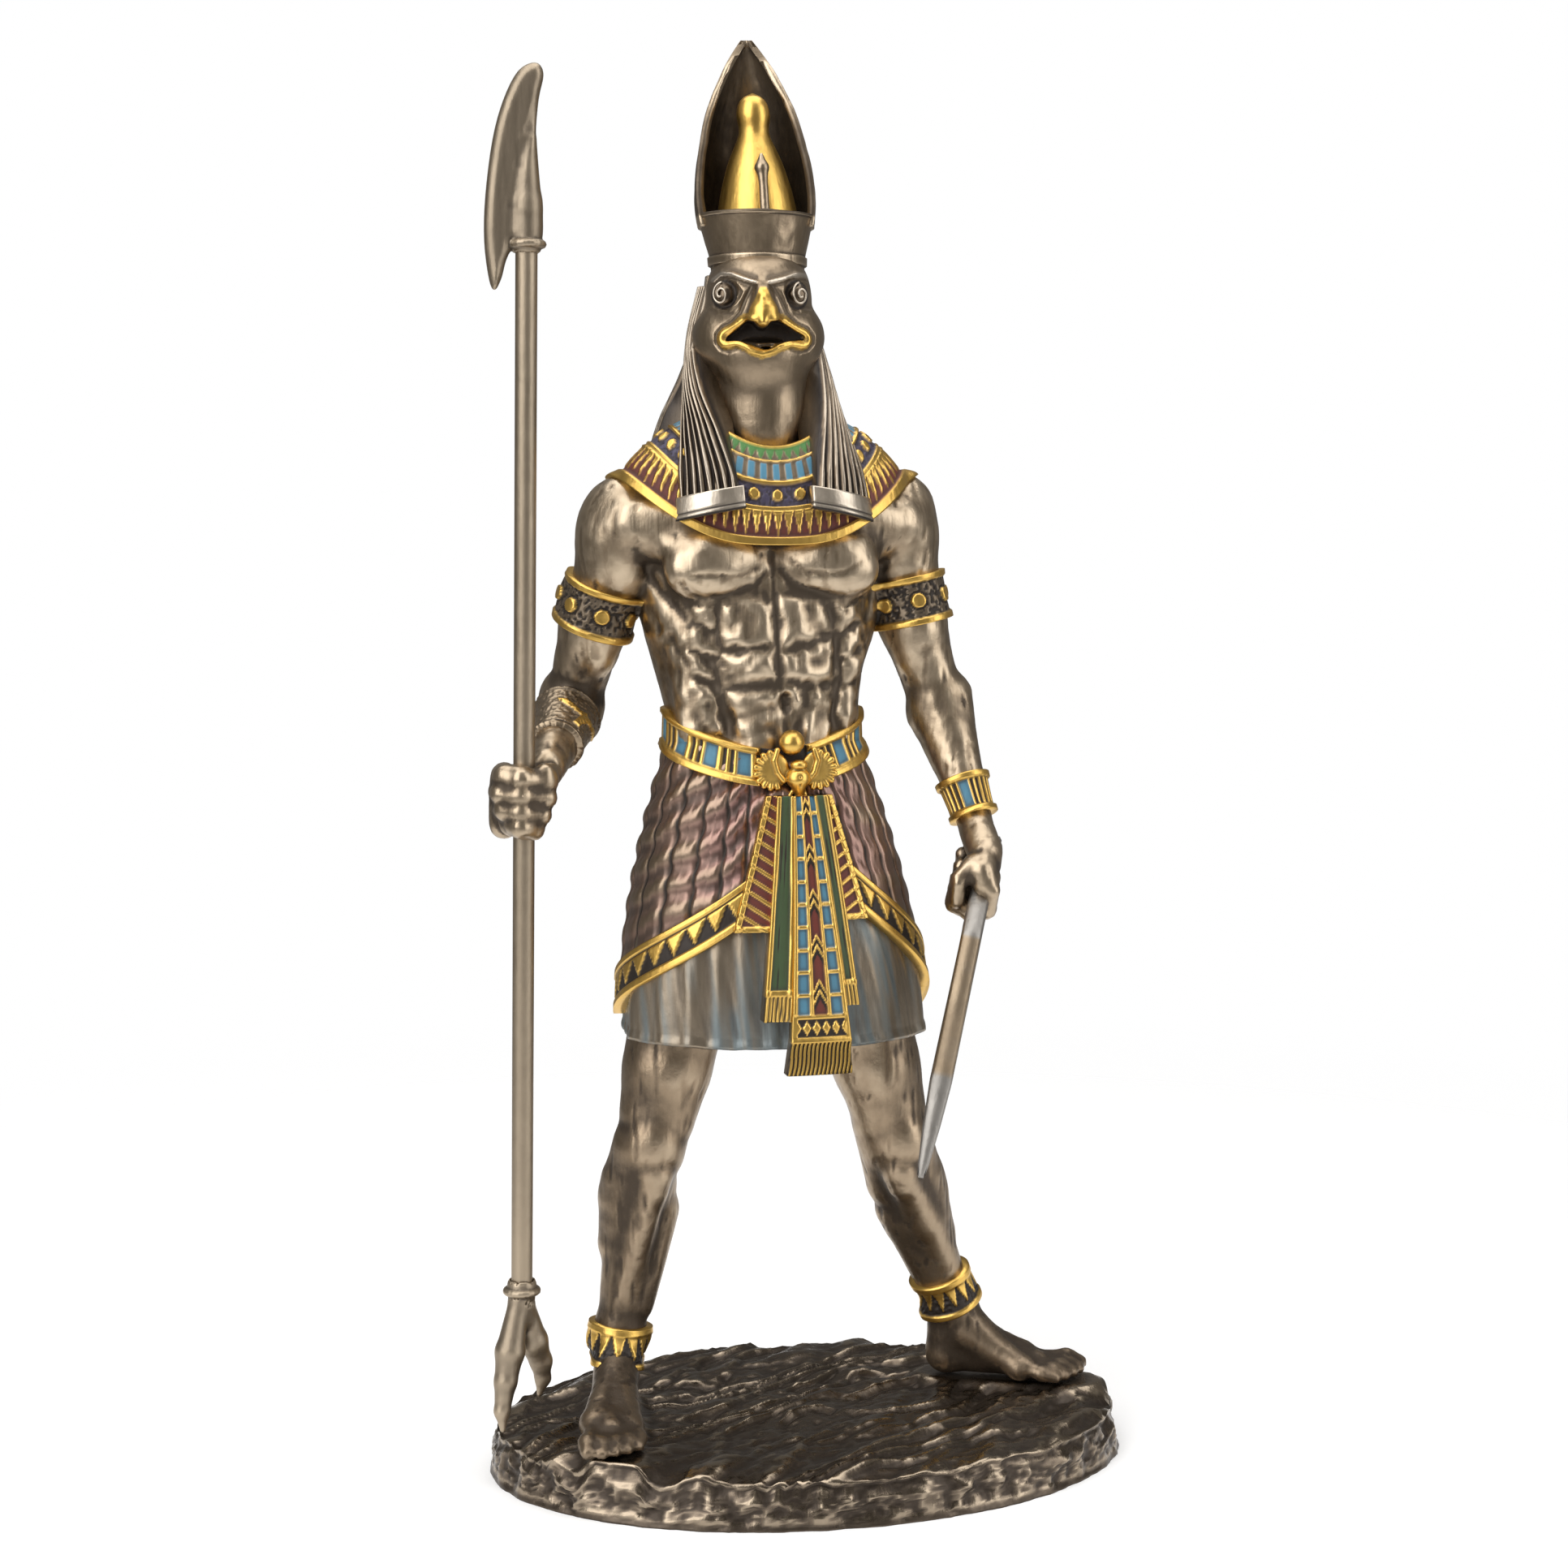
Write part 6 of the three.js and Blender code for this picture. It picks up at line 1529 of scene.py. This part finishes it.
def makeUnderskirt(a):
    t = np.linspace(0, 1, 60)[:, None]
    high = mix(118, hem + 0.4 * underFolds(a), t)
    grow = mix(0.25, 1.1, t)
    fine = noise(grid(a * 34 + high * 0.2, high * 0.05, 0), 1.0, 4) - 0.5
    lift = grow * underFolds(a) - mix(2, 0.4, ease(t, 0, 0.5)) + 0.3 * fine * grow
    outer = kiltPoint(a, high, lift + strip(t, 0.965, 2, 0.01) * 0.35)
    under = [kiltPoint(a, high[-1:], lift[-1:] - 1.6), kiltPoint(a, high[-1:] + 5, lift[-1:] - 4)]
    relief = Relief(high.shape, "slate")
    streak = noise(aroundKilt(a + high * 0.004, 26, high * 0.09), 1.0, 8)
    patch = noise(aroundKilt(a, 5, high * 0.05), 1.0, 19)
    warm = ease(0.55 * streak + 0.45 * patch + 0.12 * ease(-np.sin(a), 0.3, 0.9), 0.36, 0.72)
    relief.tint(0.8 * warm, "bronze")
    shaded = relief.paint[-1:] * 0.4
    addPiece("underskirt", *paintedLoft(
        np.concatenate([outer, *under]), np.concatenate([relief.paint, shaded, shaded])))


def makeWrap(a, length):
    look = kiltLook
    edge, top = wrapEdge(a), beltHeight(a) + 1
    t = np.linspace(0, 1, 90)[:, None]
    high = mix(top, edge + look["hemBand"], t)
    swag, line = pleat(a, high)
    folds = 1 - 0.55 * ease(t, 0.45, 1)
    crisp = np.sign(swag) * np.abs(swag) ** 0.8 * (1 - 0.45 * ease(np.abs(np.sin(a)), 0.75, 1))
    cloth = Relief(high.shape, "plum")
    cloth.lift = cloth.lift + 0.75 + 0.62 * crisp * folds - 0.6 * line * np.minimum(1, 0.6 + t)
    worn = ease(0.5 * swag + noise(kiltPoint(a, high, 0), 6, 2) - 0.25, 0.1, 0.9)
    sideways = ease(np.abs(a), 0.35, 1.3)
    cloth.tint(np.clip(0.12 + 0.4 * worn + 0.4 * sideways, 0, 0.9), "bronze")
    # Painted shade: dark paint, in patches, in the troughs of the sagging folds.
    cloth.tint(0.6 * ease(-swag, 0.25, 1) * ease(noise(kiltPoint(a, high, 0), 5, 27), 0.25, 0.6), "dark")
    cloth.lay(ease(line, 0.6, 0.9), "dark")
    v = np.linspace(look["hemBand"], 0, 27)[:, None] + 0 * a
    border = Relief(v.shape, "dark")
    border.lift = border.lift + 1.2
    u = (np.arange(look["around"]) / look["around"])[None, :] * length
    border.lay(strip(v, 1.6, 7.1), "dark", -0.1)
    border.lay(teeth(u, v, length / look["hemTeeth"], 6.6, 2.2), "gold", 0.45)
    border.lay(strip(v, 7.0, 12), "gold", 0.6)
    border.lay(strip(v, -5, 1.7), "gold", 0.6)
    rows = [
        kiltPoint(a, top, -4), kiltPoint(a, high, cloth.lift), kiltPoint(a, edge + v, border.lift),
        kiltPoint(a, edge, -0.2), kiltPoint(a, edge + 1, -3.5)]
    paints = [cloth.paint[:1], cloth.paint, border.paint, border.paint[-1:], border.paint[-1:]]
    points, faces, paint = paintedLoft(np.concatenate(rows), np.concatenate(paints))
    addPiece("kilt_wrap", points, faces, paint, scales=((5, 0.24), (26, 0.9)))


def makeKilt():
    turns, length = evenTurns(lambda a: kiltPoint(a, wrapEdge(a), 1.8), kiltLook["around"], -math.pi)
    makeUnderskirt(turns[None, :])
    makeWrap(turns[None, :], length)


makeKilt()
print("kilt done")

beltLook = {"panels": 16, "around": 420, "low": -3.9, "high": 3.7, "step": 0.25, "rim": 2.7}


def makeBelt():
    look = beltLook
    turns, length = evenTurns(lambda a: kiltPoint(a, beltHeight(a), 2), look["around"])
    a = turns[None, :]
    rows = fromTo(look["low"], look["high"], look["step"])
    u, v = np.meshgrid(np.arange(look["around"]) / look["around"] * length, rows)
    pitch = length / look["panels"]
    relief = panelled(u + 0.2 * length / look["panels"], v, pitch, -2.3, 2.3)
    relief.lift = relief.lift + mix(1.75, 1.5, (v - look["low"]) / (look["high"] - look["low"]))
    relief.lay(strip(v, -9, -look["rim"]), "gold", 0.5)
    relief.lay(strip(v, look["rim"], 9), "gold", 0.5)
    behind = 1 - ease(np.abs(turned(a - 0.1)), 0.32, 0.36)
    relief.press(behind, "dark", 0.7)  # painted shade: the belt is sunk and painted dark behind the buckle
    high = beltHeight(a) + v
    hidden = np.concatenate([kiltPoint(a, high[:1], -2), kiltPoint(a, high[-1:], -3)])
    addPiece("belt", *paintedBand(hidden, kiltPoint(a, high, relief.lift), relief.paint))


makeBelt()
print("belt done")


# Apron: panels hanging from the buckle, each by its edges at top and bottom
def panelGrid(top, bottom, rows, columns, lift):
    v = np.linspace(0, 1, rows)[:, None]
    u = np.linspace(0, 1, columns)[None, :]
    x = mix(mix(top[0], top[1], u), mix(bottom[0], bottom[1], u), v)
    high = mix(top[2], bottom[2], v) + 0 * u
    flat = np.maximum(high, hem + 2)
    angle = 0 * x
    for _ in range(6):
        angle = np.arcsin(np.clip((x - kiltAxisX(flat)) / (kiltOval(angle, flat) + lift), -0.95, 0.95))
    points = kiltPoint(angle, flat, lift)
    points[..., 2] = high + soleHeight
    return points


def makePanel(top, bottom, lift, pattern, step=0.26, depth=3.4):
    tall = top[2] - bottom[2]
    wide = max(top[1] - top[0], bottom[1] - bottom[0])
    rows, columns = int(tall / step), int(wide / step)
    u, v = np.meshgrid(np.linspace(0, 1, columns), np.linspace(0, 1, rows))
    width = mix(top[1] - top[0], bottom[1] - bottom[0], v)
    relief = pattern(u * width, v * tall, width, tall)
    front = panelGrid(top, bottom, rows, columns, lift + relief.lift)
    back = panelGrid(top, bottom, rows, 5, lift - depth)[:, ::-1]
    paint = np.concatenate([relief.paint, Relief((rows, 5), "bronze").paint], axis=1)
    return paintedLoft(np.concatenate([front, back], axis=1), paint)


def sashPattern(x, y, width, tall):
    # Long middle panel: blue cells at both sides of a column of chevrons.
    relief = Relief(x.shape, "gold")
    u = x / width
    upper = strip(y, -1, tall * 0.885)
    between = lambda low, high: strip(u * width, low * width, high * width)
    cell = 4.6
    for low, high in ((0.10, 0.31), (0.70, 0.91)):
        relief.lay(between(low, high) * strip((y + 1.2) % cell, 0.5, cell - 0.3) * upper, "blue", -0.35)
    mid = between(0.385, 0.625) * upper
    relief.lay(mid, "red", -0.35)
    peak = (y + np.abs(u - 0.505) * width * -1.9) % 9.2
    for low, high, colour, lift in (
            (0.2, 1.1, "gold", 0.35), (2.2, 3.1, "gold", 0.35), (1.1, 2.2, "dark", 0), (3.1, 4.4, "dark", 0)):
        relief.lay(mid * strip(peak, low, high), colour, lift)
    low, high = tall * 0.905, tall * 0.975
    v = (y - (low + high) / 2) / (high - low) * 2
    gem = np.abs(offCentre(u, 0.168)) / 0.084 + np.abs(v)
    framed = between(0.09, 0.92) * strip(y, low, high)
    relief.lay(framed, "dark", -0.4)
    relief.lay(framed * (1 - ease(gem, 0.78, 0.98)), "gold", 0.45)
    for edge in (0.045, 0.345, 0.665, 0.955):
        relief.lay(strip(u * width, edge * width - 0.35, edge * width + 0.35) * upper, None, 0.2)
    relief.lay(strip(y, tall * 0.985, tall + 1), "gold", 0.25)
    return relief


def fringePattern(x, y, width, tall):
    relief = Relief(x.shape, "gold")
    relief.paint[..., :3] *= 0.55
    strand = bars(x + 0.12 * np.sin(y * 0.9), 0.88, 0.52, 0.12)
    relief.lay(strand, None, 0.4)
    relief.lay(1 - ease(strand, 0.1, 0.5), "dark")
    relief.lay(1 - ease(y, 0.4, 0.8), "gold", 0.2)
    return relief


def greenPattern(fringe):
    def pattern(x, y, width, tall):
        relief = Relief(x.shape, "green")
        weave = noise(grid(x * 2.4, y * 0.12, 0), 1.0, 5)
        relief.lay(ease(weave, 0.5, 0.9), "dark", -0.12)
        for near in (x, width - x):
            relief.lay(1 - ease(near, 0.75, 0.95), "gold", 0.4)
        low = tall - fringe
        relief.lay(strip(y, low - 1.2, low), "gold", 0.4)
        tassel = strip(y, low, tall + 1)
        strand = bars(x, 0.85, 0.55, 0.12)
        relief.lay(tassel, "gold")
        relief.lay(tassel * strand, None, 0.35)
        relief.lay(tassel * (1 - strand), "dark", -0.1)
        return relief
    return pattern


def flapPattern(outerLeft):
    def pattern(x, y, width, tall):
        relief = Relief(x.shape, "red")
        fromOuter = x if outerLeft else width - x
        relief.lay(bars(y - fromOuter * 0.55, 2.5, 0.75), "gold", 0.3)
        relief.lay(1 - ease(fromOuter, 1.0, 1.25), "gold", 0.5)
        relief.lay(strip(y, tall - 1.1, tall + 1), "gold", 0.5)
        return relief
    return pattern


# Left edge, right edge and height of each panel's top and bottom, its lift and its pattern
apronPanels = [
    ([-7, -2.2, 132.5], [-8.9, 3.9, 82.4], 4.4, sashPattern),
    ([-8.8, 3.8, 82.8], [-9.8, 4.1, 75.6], 3.8, fringePattern, 0.15),
    ([-2.8, 0.6, 132.5], [2.6, 5.9, 89.6], 3.4, greenPattern(4.2)),
    ([-10.2, -6.6, 132.5], [-14.6, -8.8, 86.8], 3.4, greenPattern(5.2)),
    ([-12.4, -8.6, 132.5], [-20, -12.6, 105], 2.5, flapPattern(True)),
    ([-1.4, 1.8, 132.5], [3.6, 8.6, 107], 2.5, flapPattern(False)),
]


addPiece("apron", *joined([makePanel(*panel) for panel in apronPanels]))


# Buckle: a ball over a winged beetle
def makeBuckle():
    centre = kiltPoint(np.array(math.radians(4)), np.array(141.0), 0)
    spot = lambda across, out, high: centre + shift(across + 1.8, -out, high)
    clay = Clay(spot(-13, 8, -14), spot(13, -3, 7), 0.22)
    clay.blend([egg(spot(0, 3, 2.4), 2.65, 2.65, 2.65)], 0.1)
    clay.blend([
        egg(spot(1.2, 3.6, -4.9), 2.6, 2.4, 2.3), limb(spot(1.2, 3.8, -5.4), spot(1.5, 3.5, -8.2), 2.2, 1),
        egg(spot(1.3, 4, -2.2), 1.8, 1.5, 1.1),
    ], 0.3)
    clay.carve([
        limb(spot(1.2, 5.9, -4.4), spot(1.5, 5, -8.4), 0.16),
        limb(spot(-1.2, 5.1, -3.2), spot(3.6, 5.1, -3.2), 0.24),
    ], 0.15)
    clay.blend([egg(spot(0.8, 3.2, -9.8), 1.2, 1.3, 1.2)], 0.1)
    for s in (-1, 1):
        clay.blend([limb(spot(1.3 + s * 1.2, 3.4, -7.6), spot(1.1 + s * 2, 3.2, -9.4), 0.45)], 0.1)
        hub = spot(0.7 + s * 4.7, 3, -3.3)
        clay.blend([egg(hub, 3.5, 0.9, 3.9)], 0.1)
        feathers = []
        for a in np.radians(np.linspace(100, 285, 9)):
            ray = shift(-s * math.cos(a), -0.1, math.sin(a))
            feathers.append(limb(hub + ray * 1.4, hub + ray * 3.7, 0.42, 0.66))
        clay.blend(feathers, 0.1)
        shoulder = [hub + [-s * u, -0.9, v] for u, v in ((0.8, 4.2), (0.1, 2), (0.8, -0.4), (2.1, -2.1))]
        clay.blend(chain(shoulder, 0.6), 0.15)
    addPiece("buckle", *clay.skin(), "gold")


makeBuckle()
print("apron and buckle done")


# Rock under the feet
baseLength, baseWidth, baseHeight = 139.5, 94.6, 12
rockLook = {"around": 344, "rings": 82, "sideRows": 25}
footLines = (((-41, 8), (-46.5, -31)), ((33, 12), (62, 0)))  # where the soles stand


def strata(x, y):
    return x * 0.86 + y * 0.5, y * 0.86 - x * 0.5  # along and across the layers of the rock


def ripple(x, y):
    along, across = strata(x, y)
    bend = 6 * noise(grid(x, y, 0), 16, 25)
    return 0.45 * np.sin(across * 0.42 + bend) + 0.25 * np.sin(along * 0.3 - across * 0.3 + bend)


def footDistance(x, y):
    spots = np.stack([x, y], -1)
    found = []
    for start, end in footLines:
        start, line = np.array(start, float), np.array(end, float) - start
        t = np.clip(((spots - start) @ line) / (line @ line), 0, 1)
        found.append(np.linalg.norm(spots - start - t[..., None] * line, axis=-1) - 5.5)
    return np.minimum(*found)


def ledges(x, y):
    # Slanted strata with sharp ledges, worn and broken by noise.
    along, across = strata(x, y)
    spots = grid(along * 0.45, across, 0)
    warp = 9 * noise(spots, 12, 1) + 3 * noise(spots, 4.2, 2)
    saw = (across * 0.15 + warp * 0.36) % 1
    step = np.where(saw < 0.78, saw / 0.78, (1 - saw) / 0.22)
    fine = noise(grid(along * 0.5, across, 0), 1.1, 6) - 0.5
    return 1.1 * (step - 0.5) + 0.7 * fine


def makeRock():
    look = rockLook
    a = turnsRound(look["around"])
    share = 1 - np.linspace(0, 1, look["rings"]) ** 0.85 * 0.985
    share = (share * 0.965)[:, None]
    halfLength, halfWidth = baseLength / 2, baseWidth / 2
    x, y = halfLength * share * np.cos(a), halfWidth * share * np.sin(a)
    rim = np.hypot(x / halfLength, y / halfWidth)
    rough = 1.3 - 1.3 * ripple(x, y) + 1.6 * ease(rim, 0.85, 1) + ledges(x, y)
    fade = ease(footDistance(x, y), -1, 2.5)
    topRings = grid(x, y, baseHeight - np.maximum(0.05, rough) * fade - 0.02)
    high = fromTo(0, 1, 1 / look["sideRows"])[:-1, None]
    x, y = halfLength * np.cos(a)[None, :], halfWidth * np.sin(a)[None, :]
    z = high * (topRings[0, :, 2][None, :] - 0.4)
    spots = grid(x, y, z * 1.3)
    blocks = np.round(noise(spots, 5, 11) * 6) / 6
    crag = 1.9 * (blocks - 0.5) + 1.3 * (noise(spots, 2.4, 12) - 0.5) + 0.6 * (noise(spots, 1, 13) - 0.5)
    bulge = np.maximum(np.sin(np.clip(high, 0, 1) * math.pi) ** 0.6, 0.6)
    inward = 0.3 + (1.4 - crag) * mix(0.55, 1, ease(z, 0, 1.2)) * bulge + 1.7 * ease(high, 0.6, 1)
    shrink = 1 - np.maximum(inward, 0.1) / np.hypot(x, y)
    points, faces = loft(np.concatenate([grid(x * shrink, y * shrink, z), topRings]))
    inside = np.hypot(points[:, 0] / halfLength, points[:, 1] / halfWidth)
    # Darker all over, a little more towards the edge, and much darker along the bottom two millimetres of the
    # side.
    darkening = np.maximum(0.42 + 0.06 * ease(inside, 0.8, 0.96), 1.4 - 1.3 * ease(points[:, 2], 0.6, 2.2))
    addPiece("rock", points, faces, material="rock", slot="rock", node="base",
             scales=((4, 0.24), (20, 0.8)), darkening=darkening)


makeRock()
print("rock done")


# Staff: rod, forked foot and the long-nosed head
shaftRadius = 2.2
staffFoot, forkLength, staffHeight, staffHeadLength = 1.6, 24, 278.3, 31.1
socket = {"depth": 5, "radius": 3.1, "bore": 2.5, "ring": 3.2, "wire": 0.75, "cell": 0.34}
shaftBottom, shaftTop = staffFoot + forkLength, staffHeight - staffHeadLength


def staffAt(high):
    grip = pose["grip"]["right"]
    return grip + shaftAxis * ((high + soleHeight - grip[2]) / shaftAxis[2])


def addStaffPiece(name, points, faces, node):
    addPiece(name, points, faces, material="satin", slot="staff", node=node)


def makeShaft():
    ends = [staffAt(shaftBottom + clearance), staffAt(shaftTop - clearance)]
    path = [mix(*ends, t) for t in np.linspace(0, 1, 60)]
    addStaffPiece("staff_rod", *tube(path, shaftRadius, 44), "staff_shaft")


def hoop(high, steps=20):
    spots = [
        staffAt(high) + shift(math.cos(t) * socket["ring"], math.sin(t) * socket["ring"], 0)
        for t in np.arange(steps + 1) / steps * 2 * math.pi]
    return chain(spots, socket["wire"])


def makeFork():
    top = shaftBottom + socket["depth"]
    clay = Clay(staffAt(0) + [-9, -9, -2], staffAt(34) + [9, 9, 2], socket["cell"])
    off = lambda spot: staffAt(spot[2]) + [spot[0], spot[1], 0]
    prongs = [
        [(-0.8, -0.6, 27), (-2.7, -2.6, 17.5), (-3.7, -3.8, 11.5), (-4.5, -4.8, 5.5), (-4.4, -5, staffFoot)],
        [(0.8, 0.6, 26), (2.7, 2.4, 18), (4.5, 3.8, 13), (5, 4.4, 9), (4.3, 4.4, staffFoot + 4)],
    ]
    radii = (2.1, 3, 2.3, 1.6, 0.6)
    clay.blend([limb(staffAt(shaftBottom - 2), staffAt(top), 2.2, socket["radius"])], 0.2)
    for spots in prongs:
        spots = [off(spot) for spot in spots]
        clay.blend([limb(*joint) for joint in zip(spots, spots[1:], radii, radii[1:])], 0.9)
    clay.carve([limb(staffAt(shaftBottom + 2.4), staffAt(top + 6), socket["bore"])], 0.1)
    clay.blend(hoop(top - 0.9), 0.2)
    addStaffPiece("staff_fork_cast", *clay.skin(), "staff_fork")


def closedCurve(spots, steps):
    spots = np.asarray(spots, float)
    n = len(spots)
    t = np.arange(n * steps) / steps
    i = t.astype(int)
    f = (t - i)[:, None]
    p0, p1, p2, p3 = (spots[(i + k) % n] for k in (-1, 0, 1, 2))
    square, cube = 2 * p0 - 5 * p1 + 4 * p2 - p3, 3 * p1 - p0 - 3 * p2 + p3
    return 0.5 * (2 * p1 + (p2 - p0) * f + square * f ** 2 + cube * f ** 3)


def makeStaffHead():
    outline = closedCurve([
        [-2.2, -3.4], [-3.3, -5.6], [-4.2, -7.7], [-5.1, -11], [-6.4, -13.2], [-7.5, -11.2], [-8.4, -3.7],
        [-8.1, 5], [-6.6, 15.9], [-4.4, 23.7], [-1.4, 29.4], [2, 31.1], [3.6, 29], [2.6, 24], [2, 17],
        [2.4, 9], [3, 2], [2.4, -3]], 4)
    origin = staffAt(shaftTop)
    thick = 2

    def distance(x, y, z):
        across, high = (x - origin[0])[:, 0, :], (z - origin[2])[0]
        flat = outlineDistance(outline, across, high)[:, None, :]
        return np.sqrt(np.maximum(flat + thick, 0) ** 2 + (y - origin[1]) ** 2) - thick

    box = origin + [-10, -5, -16], origin + [6, 5, 33]
    clay = Clay(*box, socket["cell"])
    clay.blend([(*box, distance)], 0.1)
    low = shaftTop - socket["depth"]
    clay.blend([
        limb(staffAt(low + 1), staffAt(shaftTop + 4), socket["radius"], 2.9),
        limb(staffAt(shaftTop + 3), staffAt(shaftTop + 16), 2.7, 1.6),
    ], 1.0)
    clay.carve([limb(staffAt(low - 8), staffAt(low - 1.6), socket["bore"])], 0.1)
    clay.blend(hoop(low + 0.9), 0.2)
    crease = [(-3.9, -3, -5), (-3.5, -3.1, 3), (-1.8, -3.1, 11), (0.6, -2.8, 18), (1.8, -2.8, 22)]
    clay.carve(chain([origin + shift(*spot) for spot in crease], 0.7), 1.2)
    addStaffPiece("staff_head_cast", *clay.skin(), "staff_head")


makeShaft()
makeFork()
makeStaffHead()
print("staff done")


# Sickle sword: a flat bevelled blade; ahead and down are measured from the grip
swordLook = {
    "thickness": 4.1, "bevel": 0.55, "inset": 0.8,
    "taper": [
        [-10, 1], [9, 1.06], [12, 0.98], [26, 1], [38, 1.02], [41, 1.14], [50, 0.9], [58, 0.55], [63, 0.14]],
}


def makeSword():
    look = swordLook
    spots = [[-9.5, -6], [-7.6, -9], [8.6, 4.4], [14, 10.3], [17, 25], [17.3, 41.4], [22.2, 61.9],
             [13.6, 52], [9.2, 41], [8.4, 27], [9.6, 16], [5.6, 9.4]]
    outline = np.array(spots, float)
    line = np.array([
        mix(a, b, t) for a, b in zip(outline, np.roll(outline, -1, 0))
        for t in np.linspace(0, 1, 24, endpoint=False)])
    for _ in range(14):
        line = (np.roll(line, 1, 0) + 2 * line + np.roll(line, -1, 0)) / 4
    step = np.roll(line, -1, 0) - np.roll(line, 1, 0)
    normal = unit(np.stack([-step[:, 1], step[:, 0]], 1))
    area = 0.5 * np.sum(line[:, 0] * np.roll(line[:, 1], -1) - np.roll(line[:, 0], -1) * line[:, 1])
    inner = line + normal * look["inset"] * np.sign(area)
    half = look["thickness"] / 2
    levels = [(inner, -half), (line, look["bevel"] - half), (line, half - look["bevel"]), (inner, half)]
    grip = pose["grip"]["left"]
    rings = []
    for loop, high in levels:
        taper = np.interp(loop[:, 1], *np.array(look["taper"]).T)
        flat = grip + loop[:, :1] * bladeAhead + loop[:, 1:] * bladeDown
        rings.append(flat + (high * taper)[:, None] * bladeFlat)
    rings = np.array(rings)
    count = len(line)
    faces = [tuple(f) for f in wall(4, count).tolist()]
    faces += [tuple(range(count))[::-1], tuple(range(3 * count, 4 * count))]
    points = rings.reshape(-1, 3)
    relief = Relief((len(points),), "steel")
    down = np.tile(line[:, 1], 4)
    handled = strip(down, 10.5, 39.5, 0.5) * (1 - 0.4 * noise(points, 3, 31))
    relief.lay(handled, "bronze")
    addPiece("sword_blade", points, faces, relief.paint, "blade", "blade", "khopesh", scales=((2, 0.3),))


makeSword()
print("sword done")


# Stage, lights and camera
def makeStage():
    bpy.ops.mesh.primitive_circle_add(vertices=128, radius=1.5, fill_type="NGON")
    floor = bpy.context.object
    floor.name = "floor"
    s = Shader(bpy.data.materials.new("paleFloor"))
    where = s.node("ShaderNodeTexCoord", output=3)
    away = s.node("ShaderNodeVectorMath", {"operation": "LENGTH"}, {0: where}, output=1)
    s.set(baseColor=(0.9, 0.9, 0.9), roughness=0.6, emissionColor=(1, 1, 1), emissionStrength=0.16)
    clear = s.node("ShaderNodeBsdfTransparent")
    solid = Value(s, s.tree.nodes["Principled BSDF"].outputs[0])
    shown = s.node("ShaderNodeMixShader", {}, {0: away.between(0.16, 0.55), 1: solid, 2: clear})
    s.plug(s.tree.nodes["Material Output"].inputs[0], shown)
    floor.data.materials.append(s.owner)


softboxes = {
    "keySoftbox": {"place": (-0.95, -0.75, 0.75), "size": (1.2, 1.6), "power": 17.5},
    "fillSoftbox": {"place": (1.0, -0.7, 0.5), "size": (0.7, 1.4), "power": 7},
    "topSoftbox": {"place": (0, 0, 1.2), "size": (1.3, 1.3), "power": 12},
}
lightAim = Vector((0, 0, 0.15))


def makeLight(name, place, size, power):
    lamp = bpy.data.lights.new(name, "AREA")
    lamp.shape = "RECTANGLE"
    lamp.size, lamp.size_y = size
    lamp.energy = power
    holder = bpy.data.objects.new(name, lamp)
    holder.location = place
    holder.rotation_euler = (holder.location - lightAim).to_track_quat("Z", "Y").to_euler()
    bpy.context.scene.collection.objects.link(holder)


def makeWorld():
    # White to the camera, a dim warm grey to the object.
    s = Shader(bpy.data.worlds.new("studio"))
    bpy.context.scene.world = s.owner
    seen = s.node("ShaderNodeBackground", {}, {0: (1, 1, 1)})
    lit = s.node("ShaderNodeBackground", {}, {0: (0.85, 0.82, 0.78), 1: 0.22})
    isCamera = s.node("ShaderNodeLightPath", output="Is Camera Ray")
    either = s.node("ShaderNodeMixShader", {}, {0: isCamera, 1: lit, 2: seen})
    s.plug(s.tree.nodes["World Output"].inputs[0], either)


# The focal length in pixels of the 1932 pixel wide picture, and places in metres
cameraView = {
    "azimuth": -12, "pitch": 5.1, "distance": 0.552, "height": 0.195, "aside": -0.0052,
    "focalPixels": 3209, "pictureWidth": 1932, "sensor": 36,
}


def makeCamera():
    view = cameraView
    turn = math.radians(view["azimuth"])
    right = np.array([math.cos(turn), math.sin(turn), 0])
    ahead = np.array([-math.sin(turn), math.cos(turn), 0])
    lens = bpy.data.cameras.new("camera")
    lens.sensor_width = view["sensor"]
    lens.lens = view["focalPixels"] / view["pictureWidth"] * view["sensor"]
    camera = bpy.data.objects.new("camera", lens)
    camera.location = right * view["aside"] - ahead * view["distance"] + [0, 0, view["height"]]
    camera.rotation_euler = (math.radians(90 - view["pitch"]), 0, turn)
    bpy.context.scene.collection.objects.link(camera)
    bpy.context.scene.camera = camera


bpy.context.scene.view_settings.view_transform = "Standard"
makeStage()
for name, box in softboxes.items():
    makeLight(name, **box)
makeWorld()
makeCamera()
print("stage done")
